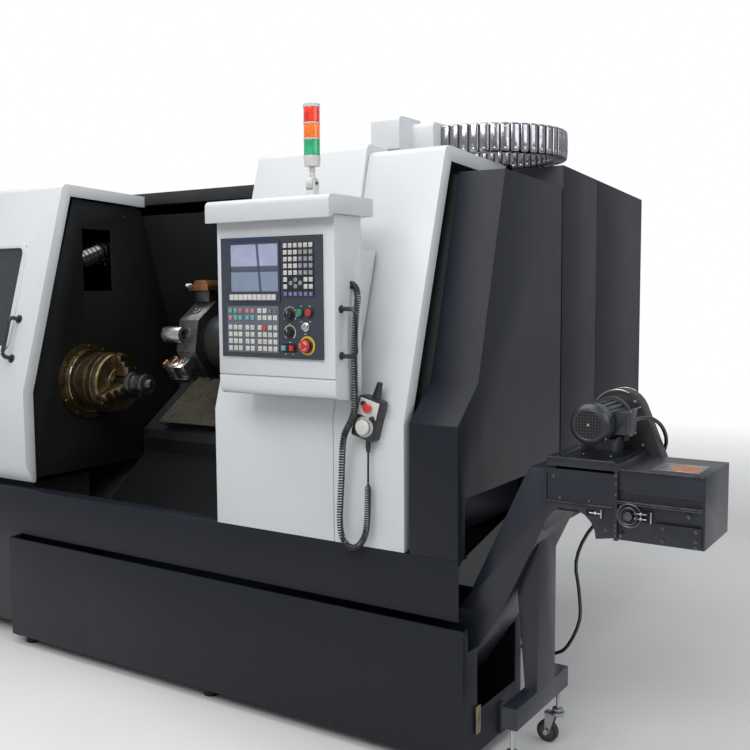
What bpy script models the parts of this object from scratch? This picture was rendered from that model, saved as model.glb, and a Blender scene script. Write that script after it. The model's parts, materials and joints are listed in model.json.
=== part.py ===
"""CNC turning lathe: slant bed, full enclosure with two sliding doors, and a chip conveyor.

Metres, +Z up, +X towards the conveyor, -Y towards the operator. The origin is the middle of the
machine's footprint on the floor. Run it with: blender --background --python part.py
"""
import math

import bmesh
import bpy
from mathutils import Matrix, Vector

# Whole machine
LENGTH = 3.94
DEPTH = 1.92
CLEAR = 0.0003
SHEET = 0.003
OVERRUN = 0.02

# Length chain, from the right end to the left
CONVEYOR_REACH = 0.71
SIDE_COVER_WIDTH = 0.17
SIDE_GAP = 0.021
OPERATOR_DOOR_WIDTH = 0.784
OPENING_WIDTH = 1.085
MAIN_DOOR_WIDTH = 1.15

# Hood profile, from the base's top edge up
BOX_PROUD = 0.194
BASE_TOP = 0.67
CREASE_RISE = 0.411
SLANT_RISE = 0.891
SLANT_SETBACK = 0.276
ROOF_REACH = 0.728
ROOF_FALL = 0.027
DOOR_DEPTH = 0.05
HOOD_RADIUS = 0.03

RIGHT_X = LENGTH / 2
LEFT_X = -LENGTH / 2
COVER_X = RIGHT_X - CONVEYOR_REACH
SIDE_COVER_X = COVER_X - SIDE_COVER_WIDTH
OPERATOR_X = SIDE_COVER_X - SIDE_GAP
OPENING_HIGH_X = OPERATOR_X - OPERATOR_DOOR_WIDTH
OPENING_LOW_X = OPENING_HIGH_X - OPENING_WIDTH
MAIN_DOOR_X = OPENING_LOW_X - MAIN_DOOR_WIDTH
FRONT_Y = -DEPTH / 2 + BOX_PROUD
REAR_Y = DEPTH / 2
CREASE_Z = BASE_TOP + CREASE_RISE
ROOF_FRONT = (FRONT_Y + SLANT_SETBACK, CREASE_Z + SLANT_RISE)
ROOF_BACK = (FRONT_Y + ROOF_REACH, ROOF_FRONT[1] - ROOF_FALL)

# Spindle axis and the slanted bed
SPINDLE_SETBACK = 0.376
SPINDLE_RISE = 0.43
BED_ANGLE = math.radians(35)
WAYS_DROP = 0.40
WAYS_START = 0.12
WAYS_LENGTH = 0.58
RAIL_HEIGHT = 0.0047
RAIL_WIDTH = 0.06
RAIL_INSET = 0.04
RAIL_END_GAP = 0.05
RAIL_LENGTH = 1.65
BED_LENGTH = 2.80
BED_END_GAP = 0.12
FOOT_HEIGHT = 0.06
FOOT_RADIUS = 0.05
FOOT_INSET = 0.05
BED_SKIN = 0.035
BED_BAYS = 3
BED_SETBACK = 0.406
BED_DEPTH = 0.86
BED_WALL_SETBACK = 0.298
BED_APRON_HEIGHT = 0.38
BED_WALL_HEIGHT = 0.141
BED_REAR_DROP = 0.074
BLOCK_LENGTH = 1.035
BLOCK_DEPTH = 0.3595
BLOCK_END_GAP = 0.04
BED_HOLE_RADIUS = 0.09
BED_HOLE_DEPTH = 0.06
SPINDLE_Y = FRONT_Y + SPINDLE_SETBACK
SPINDLE_Z = BASE_TOP + SPINDLE_RISE
BED_FRONT_Y = FRONT_Y + BED_SETBACK
BED_WALL_Y = BED_FRONT_Y + BED_WALL_SETBACK
BED_REAR_Y = BED_FRONT_Y + BED_DEPTH

# Base band and coolant tank
BAND_HEIGHT = 0.19
BAND_RETURN = 0.066
BAND_LIP = 0.046
TANK_LENGTH = 2.176
TANK_GAP = 0.008
TANK_PROUD = 0.02
TANK_DEPTH = 0.421
TANK_FOOT = 0.04
TANK_HEIGHT = 0.421
TANK_WALL = 0.004
TANK_FOOT_RADIUS = 0.03
TANK_FOOT_INSET = 0.06
NOTCH_HEIGHT = 0.282
NOTCH_WIDTH = 0.28
NOTCH_SETBACK = 0.096
SHOULDER_DROP = 0.074
SHOULDER_WIDTH = 0.063
GAUGE_WIDTH = 0.035
GAUGE_HEIGHT = 0.107
GAUGE_DEPTH = 0.008
GAUGE_REACH = 0.261
TANK_FRONT_Y = FRONT_Y - TANK_PROUD
TANK_TOP = TANK_FOOT + TANK_HEIGHT
NOTCH_FRONT_Y = TANK_FRONT_Y + NOTCH_SETBACK

# Chip chute
CHUTE_LENGTH = 1.84
CHUTE_OVERLAP = 0.01
CHUTE_FRONT_GAP = 0.031
CHUTE_LIP_DROP = 0.01
CHUTE_FOOT_SETBACK = 0.035
CHUTE_DEPTH = 0.205
CHUTE_BACK_GAP = 0.025
CHUTE_BACK_RISE = 0.28
CHUTE_LIP = 0.065
SLOT_LENGTH = 1.65
SLOT_WIDTH = 0.21
SLOT_SETBACK = 0.07
CHUTE_FRONT_Y = FRONT_Y + CHUTE_FRONT_GAP
CHUTE_LIP_Z = BASE_TOP - CHUTE_LIP_DROP
CHUTE_FOOT_Y = CHUTE_FRONT_Y + CHUTE_FOOT_SETBACK
CHUTE_FOOT_Z = CHUTE_LIP_Z - CHUTE_DEPTH
CHUTE_BACK_Y = BED_FRONT_Y - CHUTE_BACK_GAP
CHUTE_BACK_Z = CHUTE_FOOT_Z + CHUTE_BACK_RISE
CHUTE_TOP_Z = CHUTE_BACK_Z + CHUTE_LIP

# Fixed shells
GUARD_DEPTH = 0.064
LEFT_WALL_INSET = 0.0203
WALL_FOOT_RISE = 0.035
WALL_BED_GAP = 0.01
WINDOW_SETBACK = 0.366
WINDOW_WIDTH = 0.162
WINDOW_RISE = 0.83
WINDOW_HEIGHT = 0.275
RIGHT_GUARD_DEPTH = 0.09
RIGHT_GUARD_LENGTH = 0.53
RIGHT_WALL_INSET = 0.05
TOP_RAIL_DEPTH = 0.048
TOP_RAIL_HEIGHT = 0.055
TOP_RAIL_DROP = 0.045
RAIL_BRACKET_LENGTH = 0.03
BACK_WALL_SETBACK = 0.721
BACK_WALL_TOP_DROP = 0.122
BACK_WALL_SLOPE = 0.213
BACK_WALL_HEIGHT = 0.68
BACK_WALL_LENGTH = 1.815
BACK_WALL_FOLD = 0.04
PILLAR_WIDTH = 0.048
SIDE_FOOT_RISE = 0.185
SIDE_CREASE_RISE = 0.415
SIDE_BREAK_RISE = 0.12
SIDE_BREAK_SETBACK = 0.134
SIDE_ROOF_RISE = 0.679
SIDE_ROOF_SETBACK = 0.189
SIDE_ROOF_DEPTH = 0.473
SIDE_ROOF_FALL = 0.021
WINDOW_Y = FRONT_Y + WINDOW_SETBACK
WINDOW_Z = BASE_TOP + WINDOW_RISE
BACK_WALL_TOP = (FRONT_Y + BACK_WALL_SETBACK, ROOF_FRONT[1] - BACK_WALL_TOP_DROP)
BACK_WALL_FOOT = (BACK_WALL_TOP[0] + BACK_WALL_SLOPE, BACK_WALL_TOP[1] - BACK_WALL_HEIGHT)

# Rear covers and electrical cabinet
REAR_COVER_DROP = 0.022
REAR_COVER_FALL = 0.05
REAR_COVER_GAP = 0.017
REAR_COVER_HEIGHT = 1.33
CABINET_LENGTH = 0.81
CABINET_DROP = 0.029
CABINET_TOP_FALL = 0.06
WING_LENGTH = 0.24
WING_GAP = 0.03
WING_DEPTH = 0.347
CABINET_WALL = 0.003
SEAM_WIDTH = 0.004
SEAM_DEPTH = 0.0015
CABINET_DOOR_DEPTH = 0.012
CABINET_DOOR_MARGIN = 0.03
CABINET_FRAME = 0.05
CABINET_HINGE_RADIUS = 0.006
CABINET_HINGE_HEIGHT = 0.05
CABINET_HINGE_SHARES = (0.15, 0.85)
CABINET_LATCH_WIDTH = 0.03
CABINET_LATCH_HEIGHT = 0.12
CABINET_LATCH_PROUD = 0.006
LOUVRE_COUNT = 6
LOUVRE_LENGTH = 0.24
LOUVRE_WIDTH = 0.008
LOUVRE_PITCH = 0.024
LOUVRE_RISE = 0.10
TOP_RAIL_FRONT_Y = ROOF_BACK[0] + CLEAR
TOP_RAIL_BACK_Y = TOP_RAIL_FRONT_Y + TOP_RAIL_DEPTH
REAR_COVER_TOP = ROOF_FRONT[1] - REAR_COVER_DROP
REAR_COVER_BACK_Y = BED_REAR_Y + REAR_COVER_GAP
REAR_COVER_FOOT = REAR_COVER_TOP - REAR_COVER_HEIGHT
CABINET_TOP = ROOF_FRONT[1] - CABINET_DROP
WING_FRONT_Y = TOP_RAIL_BACK_Y + WING_GAP
CABINET_SEAM_Y = WING_FRONT_Y + WING_DEPTH
CABINET_X = COVER_X - CABINET_LENGTH
CABINET_BACK_Y = REAR_Y - CABINET_DOOR_DEPTH - CABINET_LATCH_PROUD - CLEAR
CABINET_HINGE_X = COVER_X - CABINET_DOOR_MARGIN + CABINET_HINGE_RADIUS + CLEAR
CABINET_HINGE_Y = CABINET_BACK_Y + CLEAR + CABINET_DOOR_DEPTH / 2
WING_X = COVER_X - WING_LENGTH

# Headstock, spindle and chuck; X places run from the headstock's front face
HEADSTOCK_INSET = 0.06
HEADSTOCK_LENGTH = 0.89
HEADSTOCK_RADIUS = 0.185
HEADSTOCK_FOOT_START = 0.02
HEADSTOCK_FOOT_LENGTH = 0.46
HEADSTOCK_FLANGE = 0.06
CHAMBER_RADIUS = 0.145
CHAMBER_END = 0.14
SPINDLE_RADIUS = 0.062
SPINDLE_BORE = 0.033
SPINDLE_TAIL = 0.05
NOSE_RADIUS = 0.10
NOSE_LENGTH = 0.115
RING_RADIUS = 0.168
RING_STEP_RADIUS = 0.142
RING_BORE_GAP = 0.004
RING_FLANGE = 0.055
RING_LENGTH = 0.075
RING_BOLTS = 12
RING_BOLT_RADIUS = 0.008
RING_BOLT_HEIGHT = 0.006
CHUCK_RADIUS = 0.13
CHUCK_LENGTH = 0.125
CHUCK_CHAMFER = 0.006
CHUCK_GROOVE_SHARE = 0.42
CHUCK_GROOVE = 0.007
JAW_COUNT = 3
JAW_SLOT_WIDTH = 0.036
JAW_SLOT_DEPTH = 0.024
JAW_FACE_GAP = 0.008
JAW_STEP_SHARES = ((0.92, 0.0), (0.86, 0.40), (0.62, 0.40), (0.62, 0.72), (0.40, 0.72), (0.40, 1.0))
JAW_HEIGHT = 0.075
ARBOR_RADIUS = 0.03
ARBOR_TAIL = 0.08
ARBOR_FLANGE_RADIUS = 0.05
ARBOR_LENGTH = 0.13
ARBOR_SHARES = ((1.0, 0.0), (1.0, 0.2), (0.72, 0.23), (0.72, 0.57), (0.88, 0.6), (0.88, 0.76),
                (0.44, 0.8), (0.44, 1.0))
HEADSTOCK_X = OPENING_LOW_X - HEADSTOCK_INSET
CHUCK_X = HEADSTOCK_X + CLEAR + NOSE_LENGTH + CLEAR
CHUCK_FACE_X = CHUCK_X + CHUCK_LENGTH
JAW_FACE_X = CHUCK_FACE_X + JAW_HEIGHT

# Saddle, cross slide and turret, in the slanted frame
SADDLE_LOW_X = -0.15
SADDLE_LENGTH = 0.34
SADDLE_MARGIN = 0.02
SADDLE_HEIGHT = 0.10
COVER_START = 0.117
COVER_WIDTH = 0.323
COVER_SHEET = 0.004
COVER_DROP = 0.342
COVER_STEP = 0.004
COVER_LAP = 0.01
COVER_LEFT_LENGTH = 0.53
COVER_RIGHT_LENGTH = 0.31
COVER_PANELS = 3
SLIDE_START = 0.16
SLIDE_LENGTH = 0.30
SLIDE_HEIGHT = 0.06
SLIDE_INSET = 0.02
HOUSING_START = 0.18
HOUSING_LENGTH = 0.27
HOUSING_TOP = 0.11
HOUSING_REACH = 0.30
HOUSING_CHAMFER = 0.03
NECK_RADIUS = 0.12
TURRET_ALONG = 0.31
TURRET_RADIUS = 0.165
TURRET_WIDTH = 0.12
TURRET_X = -0.36
TURRET_STATIONS = 8
TURRET_HUB_RADIUS = 0.06
TURRET_HUB_PROUD = 0.012
TURRET_CHAMFER = 0.012
PLUG_RADIUS = 0.024
PLUG_PROUD = 0.005
PLUG_HEX_RADIUS = 0.012
PLUG_HEX_PROUD = 0.011
TOOL_REACH = 0.07
TOOL_WIDTH = 0.09
TOOL_PROUD = 0.02
TOOL_LENGTH = 0.11
TOOL_SLOT = 0.024
TOOL_BOLT_RADIUS = 0.008
TOOL_BOLT_HEIGHT = 0.006
HOLDER_NECK = 0.035
HOLDER_WIDTH = 0.064
HOLDER_RADIUS = 0.035
HOLDER_BORE = 0.02
HOLDER_LENGTH = 0.10

# Main door, with its window and handle on the slanted part
MAIN_FOOT_RISE = 0.022
MAIN_FOOT_SETBACK = 0.049
MAIN_CHAMFER_RISE = 0.075
MAIN_SETBACK = 0.013
MAIN_ROOF_SETBACK = 0.02
MAIN_ROOF_DROP = 0.01
MAIN_BACK_DROP = 0.005
PANE_MARGIN = 0.17
PANE_END_GAP = 0.25
PANE_RISE = 0.19
PANE_HEIGHT = 0.44
PANE_RADIUS = 0.03
PANE_FRAME = 0.025
PANE_PROUD = 0.008
PANE_THICKNESS = 0.006
PANE_LAP = 0.012
HANDLE_INSET = 0.115
HANDLE_RISE = 0.14
HANDLE_LENGTH = 0.17
HANDLE_STANDOFF = 0.05
HANDLE_RADIUS = 0.009
HANDLE_BEND = 0.02
HANDLE_FOOT_RADIUS = 0.016
HANDLE_FOOT = 0.006

# Operator door and its box carrier
SPLIT_INSET = 0.269
SPLIT_TAPER = 0.032
SPLIT_GAP = 0.002
CARRIER_DEPTH = 0.08
CARRIER_PROUD = 0.007
CARRIER_RAISE = 0.028
CARRIER_FALL = 0.03

# Operator's box, hood and panel
HOOD_OVERHANG = 0.044
HOOD_SIDE = 0.012
HOOD_BACK = 0.055
HOOD_HEIGHT = 0.058
HOOD_ROUND = 0.02
HOOD_LIP = 0.012
HOOD_EAR = 0.03
HOOD_EAR_HEIGHT = 0.02
BOX_END_GAP = 0.151
BOX_WIDTH = 0.47
BOX_DEPTH = 0.144
BOX_TOP_RISE = 1.057
BOX_HEIGHT = 0.579
BOX_NOSE_RISE = 0.042
BOX_NOSE_SETBACK = 0.026
BOX_NOSE_TILT = 0.012
BOX_SEAM_RISE = 0.074
BOX_SEAM = 0.004
BOX_SEAM_DEPTH = 0.005
BOX_FRONT_WALL = 0.014
BRACKET_INSET = 0.05
BRACKET_RISE = 0.06
BRACKET_HEIGHT = 0.42
PANEL_LEFT = 0.022
PANEL_WIDTH = 0.407
PANEL_DROP = 0.060
PANEL_HEIGHT = 0.383
PANEL_THICKNESS = 0.008
BEZEL_SHARES = (0.085, 0.605, 0.465, 0.965)
BEZEL_PROUD = 0.004
SCREEN_SHARES = (0.107, 0.586, 0.55, 0.943)
SCREEN_THICKNESS = 0.002
MDI_SHARES = (0.632, 0.928, 0.505, 0.945)
MDI_COLUMN_SHARES = (0.09, 0.255, 0.42, 0.585, 0.75, 0.915)
MDI_ROW_SHARES = (0.055, 0.19, 0.32, 0.445, 0.57, 0.695, 0.82, 0.945)
MDI_KEY = 0.0135
MACHINE_SHARES = (0.063, 0.585, 0.04, 0.43)
MACHINE_COLUMN_SHARES = (0.065, 0.165, 0.26, 0.40, 0.50, 0.64, 0.74, 0.84, 0.94)
MACHINE_ROW_SHARES = (0.09, 0.24, 0.39, 0.54, 0.75, 0.90)
MACHINE_KEY = 0.0145
KEYPAD_THICKNESS = 0.002
KEY_PROUD = 0.0025
SOFT_KEY_SHARES = (0.10, 0.575, 0.48, 0.525)
SOFT_KEYS = 10
SOFT_KEY_SHARE = 0.8
ESTOP_SHARES = (0.856, 0.11)
START_SHARES = (0.645, 0.088)
HOLD_SHARES = (0.72, 0.088)
OVERRIDE_SHARES = (0.69, 0.215)
MODE_SHARES = (0.694, 0.36)
POWER_SHARES = ((0.798, 0.378), (0.883, 0.378))
KEYSWITCH_SHARES = (0.843, 0.263)
ESTOP_RADIUS = 0.020
ESTOP_HEIGHT = 0.024
ESTOP_COLLAR_RADIUS = 0.022
ESTOP_COLLAR = 0.003
BUTTON_SIZE = 0.018
BUTTON_HEIGHT = 0.009
BUTTON_RADIUS = 0.0115
BUTTON_TRAVEL = 0.004
STEM_RADIUS = 0.005
STEM_REACH = 0.004
KNOB_RADIUS = 0.0145
KNOB_HEIGHT = 0.016
KNOB_POINTER = 0.004
KNOB_POINTER_DEPTH = 0.002

# Box side handle, pendant and cord
SIDE_HANDLE_SETBACK = 0.032
SIDE_HANDLE_DROP = 0.432
SIDE_HANDLE_LENGTH = 0.145
SIDE_HANDLE_STANDOFF = 0.056
SIDE_HANDLE_RADIUS = 0.007
SOCKET_SETBACK = 0.094
SOCKET_DROP = 0.214
CORD_RADIUS = 0.0115
LEAD_RADIUS = 0.0035
PENDANT_WIDTH = 0.085
PENDANT_HEIGHT = 0.134
PENDANT_THICKNESS = 0.04
PENDANT_RADIUS = 0.008
PENDANT_INSET = 0.113
PENDANT_RISE = 0.425
PENDANT_TILT = math.radians(-15.5)
PENDANT_HOOK = 0.03
PENDANT_HOOK_RISE = 0.05
GLAND_RADIUS = 0.007
GLAND_LENGTH = 0.05
GLAND_SHIFT = 0.01
WHEEL_DROP = 0.028
WHEEL_RADIUS = 0.026
WHEEL_HEIGHT = 0.014
WHEEL_STEM_RADIUS = 0.006
WHEEL_STEM = 0.006
MUSHROOM_RISE = 0.036
MUSHROOM_RADIUS = 0.010
MUSHROOM_HEIGHT = 0.012
PENDANT_KNOB_RADIUS = 0.007
PENDANT_KNOB_SHARES = ((-0.25, 0.33), (0.27, 0.05))

# Signal tower on its fold-down hinge
TOWER_INSET = 0.098
TOWER_SETBACK = 0.07
TOWER_HINGE_RISE = 0.02
TOWER_KNUCKLE = 0.0195
TOWER_KNUCKLE_WIDTH = 0.024
TOWER_POLE_RADIUS = 0.008
TOWER_POLE = 0.05
TOWER_RADIUS = 0.026
TOWER_STACK = 0.19
TOWER_GROOVE = 0.0025
TOWER_STACK_SHARES = (0.17, 0.44, 0.69, 0.95)

# Cable duct and the ribbed hose that follows the door
DUCT_X_INSET = 0.374
DUCT_WIDTH = 0.119
DUCT_SETBACK = 0.396
DUCT_DEPTH = 0.15
DUCT_TOP_RISE = 0.136
DUCT_ROUND = 0.02
PORT_X_INSET = 0.319
PORT_WIDTH = 0.15
PORT_SETBACK = 0.486
PORT_DEPTH = 0.16
PORT_TOP_RISE = 0.118
HOSE_WIDTH = 0.05
HOSE_HEIGHT = 0.105
HOSE_ROUND = 0.018
HOSE_RISE = 0.058
HOSE_RADIUS = 0.27
HOSE_STRAIGHT = 0.045
HOSE_ANCHOR_X = 0.66
HOSE_PITCH = 0.034
HOSE_NECK_SHARE = 0.86
ANCHOR_LENGTH = 0.05
ANCHOR_WIDTH = 0.09

# Conveyor; reaches run from the side cover's outer face, levels from the floor
CONVEYOR_SETBACK = 0.116
CONVEYOR_WIDTH = 0.24
CASING_SHEET = 0.004
TROUGH_FOOT = 0.16
TROUGH_TOP = 0.30
TROUGH_GAP = 0.087
TROUGH_OPEN_REACH = -0.26
TROUGH_MARGIN = 0.02
TROUGH_FOOT_LENGTH = 0.05
TROUGH_FOOT_SHARES = (0.12, 0.88)
CASING_LOWER = ((-0.12, 0.16), (0.028, 0.385), (0.127, 0.557), (0.235, 0.785))
CASING_UPPER = ((-0.21, 0.30), (-0.011, 0.539), (0.171, 0.925), (0.192, 0.967))
ARC_CENTRE = (0.318, 0.775)
ARC_RADIUS = 0.082
HEAD_OVERHANG = 0.012
HEAD_COVER_REACH = 0.24
HEAD_COVER_LENGTH = 0.217
HEAD_RAIL_Z = 0.872
HEAD_COVER_TOP = 0.97
HEAD_FLANGE = 0.013
HEAD_FLANGE_LOW = 0.781
HEAD_FLANGE_TOP = 1.003
HEAD_BOX_LOW = 0.785
HEAD_BOX_TOP = 0.99
HEAD_SHEET = 0.003
RIDGE = 0.004
RIDGE_HEIGHT = 0.008
RIDGE_Z = 0.922
SHAFT_REACH = 0.506
SHAFT_Z = 0.862
SHAFT_RADIUS = 0.0125
SHAFT_PROUD = 0.028
BEARING_RADIUS = 0.026
BEARING_PROUD = 0.012
SPROCKET_RADIUS = 0.038
SPROCKET_WIDTH = 0.006
SPROCKET_SHARES = (0.2, 0.8)
MOTOR_REACH = 0.373
MOTOR_Z = 1.106
MOTOR_FRONT_GAP = 0.02
MOTOR_RADIUS = 0.057
MOTOR_FIN = 0.006
MOTOR_FINS = 20
MOTOR_LENGTH = 0.19
FAN_LENGTH = 0.055
FAN_RADIUS = 0.060
MOTOR_FLANGE_RADIUS = 0.065
MOTOR_FLANGE = 0.012
MOTOR_FOOT_WIDTH = 0.10
MOTOR_FOOT_LENGTH = 0.09
TERMINAL_WIDTH = 0.045
TERMINAL_HEIGHT = 0.065
TERMINAL_LENGTH = 0.085
TERMINAL_START = 0.07
TABLE_REACH = 0.27
TABLE_LENGTH = 0.185
TABLE_TOP = 1.0
GUARD_WIDTH = 0.055
GUARD_GAP = 0.012
GUARD_MOTOR_RADIUS = 0.08
GUARD_SHAFT_RADIUS = 0.05
MOTOR_SHAFT_RADIUS = 0.012
LEG_REACH = 0.14
LEG_WIDTH = 0.07
LEG_TAPER = 0.03
LEG_SETBACK = 0.03
LEG_DEPTH = 0.137
BEAM_WIDTH = 0.05
BEAM_HEIGHT = 0.067
BEAM_FOOT = 0.195
BEAM_OVERHANG = 0.1183
BEAM_LENGTH = 0.398
CASTER_INSET = 0.023
CASTER_TRAIL = 0.035
CASTER_RADIUS = 0.0365
CASTER_WIDTH = 0.022
CASTER_STEM_RADIUS = 0.006
CASTER_STEM_GRIP = 0.03
CASTER_CROWN = 0.098
CASTER_CROWN_HEIGHT = 0.012
CASTER_CROWN_RADIUS = 0.022
CASTER_CHEEK = 0.003
CASTER_CHEEK_WIDTH = 0.03
CASTER_AXLE_RADIUS = 0.004
CABLE_RADIUS = 0.006


def fresh_collection(name):
    """Return a new collection linked to the scene."""
    collection = bpy.data.collections.new(name)
    bpy.context.scene.collection.children.link(collection)
    return collection


for leftover in list(bpy.data.objects):
    bpy.data.objects.remove(leftover)
PARTS = fresh_collection("cnc_turning_lathe")
CUTTERS = fresh_collection("cutters")

# Finishes: colour, roughness and metallic
WHITE_PAINT = ((0.78, 0.77, 0.72), 0.35, 0.0)
DARK_PAINT = ((0.035, 0.037, 0.045), 0.42, 0.0)
BLACK_PAINT = ((0.02, 0.02, 0.022), 0.45, 0.0)
CAST_IRON = ((0.09, 0.10, 0.11), 0.60, 0.3)
STEEL = ((0.55, 0.56, 0.57), 0.32, 1.0)
DARK_STEEL = ((0.12, 0.12, 0.13), 0.38, 1.0)
OILY_STEEL = ((0.34, 0.25, 0.12), 0.38, 1.0)
BLACK_PLASTIC = ((0.02, 0.02, 0.02), 0.5, 0.0)
GREY_PLASTIC = ((0.30, 0.31, 0.32), 0.5, 0.0)
RED_PLASTIC = ((0.65, 0.03, 0.02), 0.35, 0.0)
GREEN_PLASTIC = ((0.03, 0.35, 0.12), 0.35, 0.0)
WHITE_PLASTIC = ((0.75, 0.75, 0.72), 0.4, 0.0)
GLASS = ((0.10, 0.12, 0.13), 0.08, 0.0)
MOTOR_PAINT = ((0.10, 0.11, 0.12), 0.45, 0.2)
CASTER_ZINC = ((0.35, 0.36, 0.38), 0.4, 1.0)

# Frames that carry a flat outline (a, b) and its thickness c into the machine
PROFILE = Matrix(((0, 0, 1, 0), (1, 0, 0, 0), (0, 1, 0, 0), (0, 0, 0, 1)))
FRONTAL = Matrix(((1, 0, 0, 0), (0, 0, 1, 0), (0, 1, 0, 0), (0, 0, 0, 1)))
PLAN = Matrix.Identity(4)
SLANT = Matrix((
    (0, 0, 1, 0),
    (math.cos(BED_ANGLE), -math.sin(BED_ANGLE), 0, SPINDLE_Y),
    (math.sin(BED_ANGLE), math.cos(BED_ANGLE), 0, SPINDLE_Z),
    (0, 0, 0, 1)))
SPINDLE = PROFILE.copy()
SPINDLE.translation = (0, SPINDLE_Y, SPINDLE_Z)


def shifted(frame, a=0, b=0, c=0):
    """Return the frame moved by (a, b, c) along its own axes."""
    return frame @ Matrix.Translation((a, b, c))


def turned_frame(frame, angle):
    """Return the frame turned about its own c axis."""
    return frame @ Matrix.Rotation(angle, 4, "Z")


def link_mesh(name, mesh, frame):
    """Place a mesh in the machine and link it as an object whose faces point out."""
    mesh.transform(frame)
    work = bmesh.new()
    work.from_mesh(mesh)
    bmesh.ops.remove_doubles(work, verts=work.verts, dist=CLEAR / 10)
    bmesh.ops.recalc_face_normals(work, faces=work.faces)
    work.to_mesh(mesh)
    work.free()
    made = bpy.data.objects.new(name, mesh)
    PARTS.objects.link(made)
    return made


def solid_from(source, name, frame):
    """Turn a curve or modified object into a plain mesh object and drop the source."""
    bpy.context.view_layer.update()
    evaluated = source.evaluated_get(bpy.context.evaluated_depsgraph_get())
    mesh = bpy.data.meshes.new_from_object(evaluated)
    matrix = source.matrix_world.copy()
    bpy.data.objects.remove(source)
    return link_mesh(name, mesh, frame @ matrix)


def prism(name, outline, low, high, frame=PROFILE):
    """Extrude a closed flat outline from low to high along the frame's c axis."""
    data = bpy.data.curves.new(name, "CURVE")
    data.dimensions = "2D"
    data.fill_mode = "BOTH"
    data.extrude = (high - low) / 2
    spline = data.splines.new("POLY")
    spline.points.add(len(outline) - 1)
    for point, (a, b) in zip(spline.points, outline):
        point.co = (a, b, 0, 1)
    spline.use_cyclic_u = True
    source = bpy.data.objects.new(name + "_outline", data)
    bpy.context.scene.collection.objects.link(source)
    return solid_from(source, name, shifted(frame, c=(high + low) / 2))


def box(name, low, high, frame=PLAN):
    """A rectangular block between two corners of the frame."""
    mesh = bpy.data.meshes.new(name)
    work = bmesh.new()
    bmesh.ops.create_cube(work, size=1)
    middle = (Vector(low) + Vector(high)) / 2
    size = Vector(high) - Vector(low)
    bmesh.ops.scale(work, verts=work.verts, vec=size)
    bmesh.ops.translate(work, verts=work.verts, vec=middle)
    work.to_mesh(mesh)
    work.free()
    return link_mesh(name, mesh, frame)


def cylinder(name, radius, low, high, frame=PLAN, sides=24, end_radius=None):
    """A cylinder or cone about the frame's c axis."""
    mesh = bpy.data.meshes.new(name)
    work = bmesh.new()
    bmesh.ops.create_cone(work, cap_ends=True, segments=sides, radius1=radius,
                          radius2=radius if end_radius is None else end_radius, depth=high - low)
    work.to_mesh(mesh)
    work.free()
    return link_mesh(name, mesh, shifted(frame, c=(low + high) / 2))


def turned(name, profile, frame=PLAN, sides=24):
    """Turn a profile of (radius, height) points about the frame's c axis."""
    mesh = bpy.data.meshes.new(name)
    edges = [(index, index + 1) for index in range(len(profile) - 1)]
    if profile[0][0] > 0:
        edges.append((len(profile) - 1, 0))
    mesh.from_pydata([(radius, 0, height) for radius, height in profile], edges, [])
    source = bpy.data.objects.new(name + "_profile", mesh)
    bpy.context.scene.collection.objects.link(source)
    screw = source.modifiers.new("Turn", "SCREW")
    screw.steps = sides
    screw.render_steps = sides
    screw.use_merge_vertices = True
    screw.merge_threshold = CLEAR / 10
    return solid_from(source, name, frame)


def tube(name, points, radius, resolution=2, shares=None, section=None):
    """A bar or hose along a list of points, with filled ends."""
    data = bpy.data.curves.new(name, "CURVE")
    data.dimensions = "3D"
    data.twist_mode = "Z_UP"
    data.use_fill_caps = True
    data.bevel_resolution = resolution
    if section is None:
        data.bevel_depth = radius
    else:
        data.bevel_mode = "OBJECT"
        data.bevel_object = section
    spline = data.splines.new("POLY")
    spline.points.add(len(points) - 1)
    for index, point in enumerate(points):
        spline.points[index].co = (*point, 1)
        if shares is not None:
            spline.points[index].radius = shares[index]
    source = bpy.data.objects.new(name + "_path", data)
    bpy.context.scene.collection.objects.link(source)
    return solid_from(source, name, PLAN)


def as_tool(tool):
    """Move an object from the parts to the hidden cutters."""
    PARTS.objects.unlink(tool)
    CUTTERS.objects.link(tool)
    tool.hide_render = True
    tool.display_type = "WIRE"


def combine(target, tools, operation):
    """Join tools to a target, or cut them from it, by exact Booleans."""
    for tool in tools:
        as_tool(tool)
        step = target.modifiers.new(tool.name, "BOOLEAN")
        step.operation = operation
        step.solver = "EXACT"
        step.object = tool
    return target


def cut(target, *tools):
    """Remove the tools' volumes from the target."""
    return combine(target, tools, "DIFFERENCE")


def fuse(target, *tools):
    """Join the tools to the target as one body."""
    return combine(target, tools, "UNION")


def finish(target, look):
    """Give an object its own Principled material."""
    colour, roughness, metallic = look
    material = bpy.data.materials.new(target.name + "_finish")
    material.use_nodes = True
    shader = material.node_tree.nodes["Principled BSDF"]
    shader.inputs["Base Color"].default_value = (*colour, 1)
    shader.inputs["Roughness"].default_value = roughness
    shader.inputs["Metallic"].default_value = metallic
    target.data.materials.clear()
    target.data.materials.append(material)
    return target


def pivot(name, place, parent=None):
    """An empty on a joint's axis, which carries the pieces of one moving body."""
    empty = bpy.data.objects.new(name, None)
    empty.empty_display_size = DOOR_DEPTH
    empty.location = place
    PARTS.objects.link(empty)
    bpy.context.view_layer.update()
    if parent is not None:
        carry(parent, empty)
    return empty


def carry(parent, *children):
    """Parent children to an empty without moving them."""
    bpy.context.view_layer.update()
    for child in children:
        child.parent = parent
        child.matrix_parent_inverse = parent.matrix_world.inverted()


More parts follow.
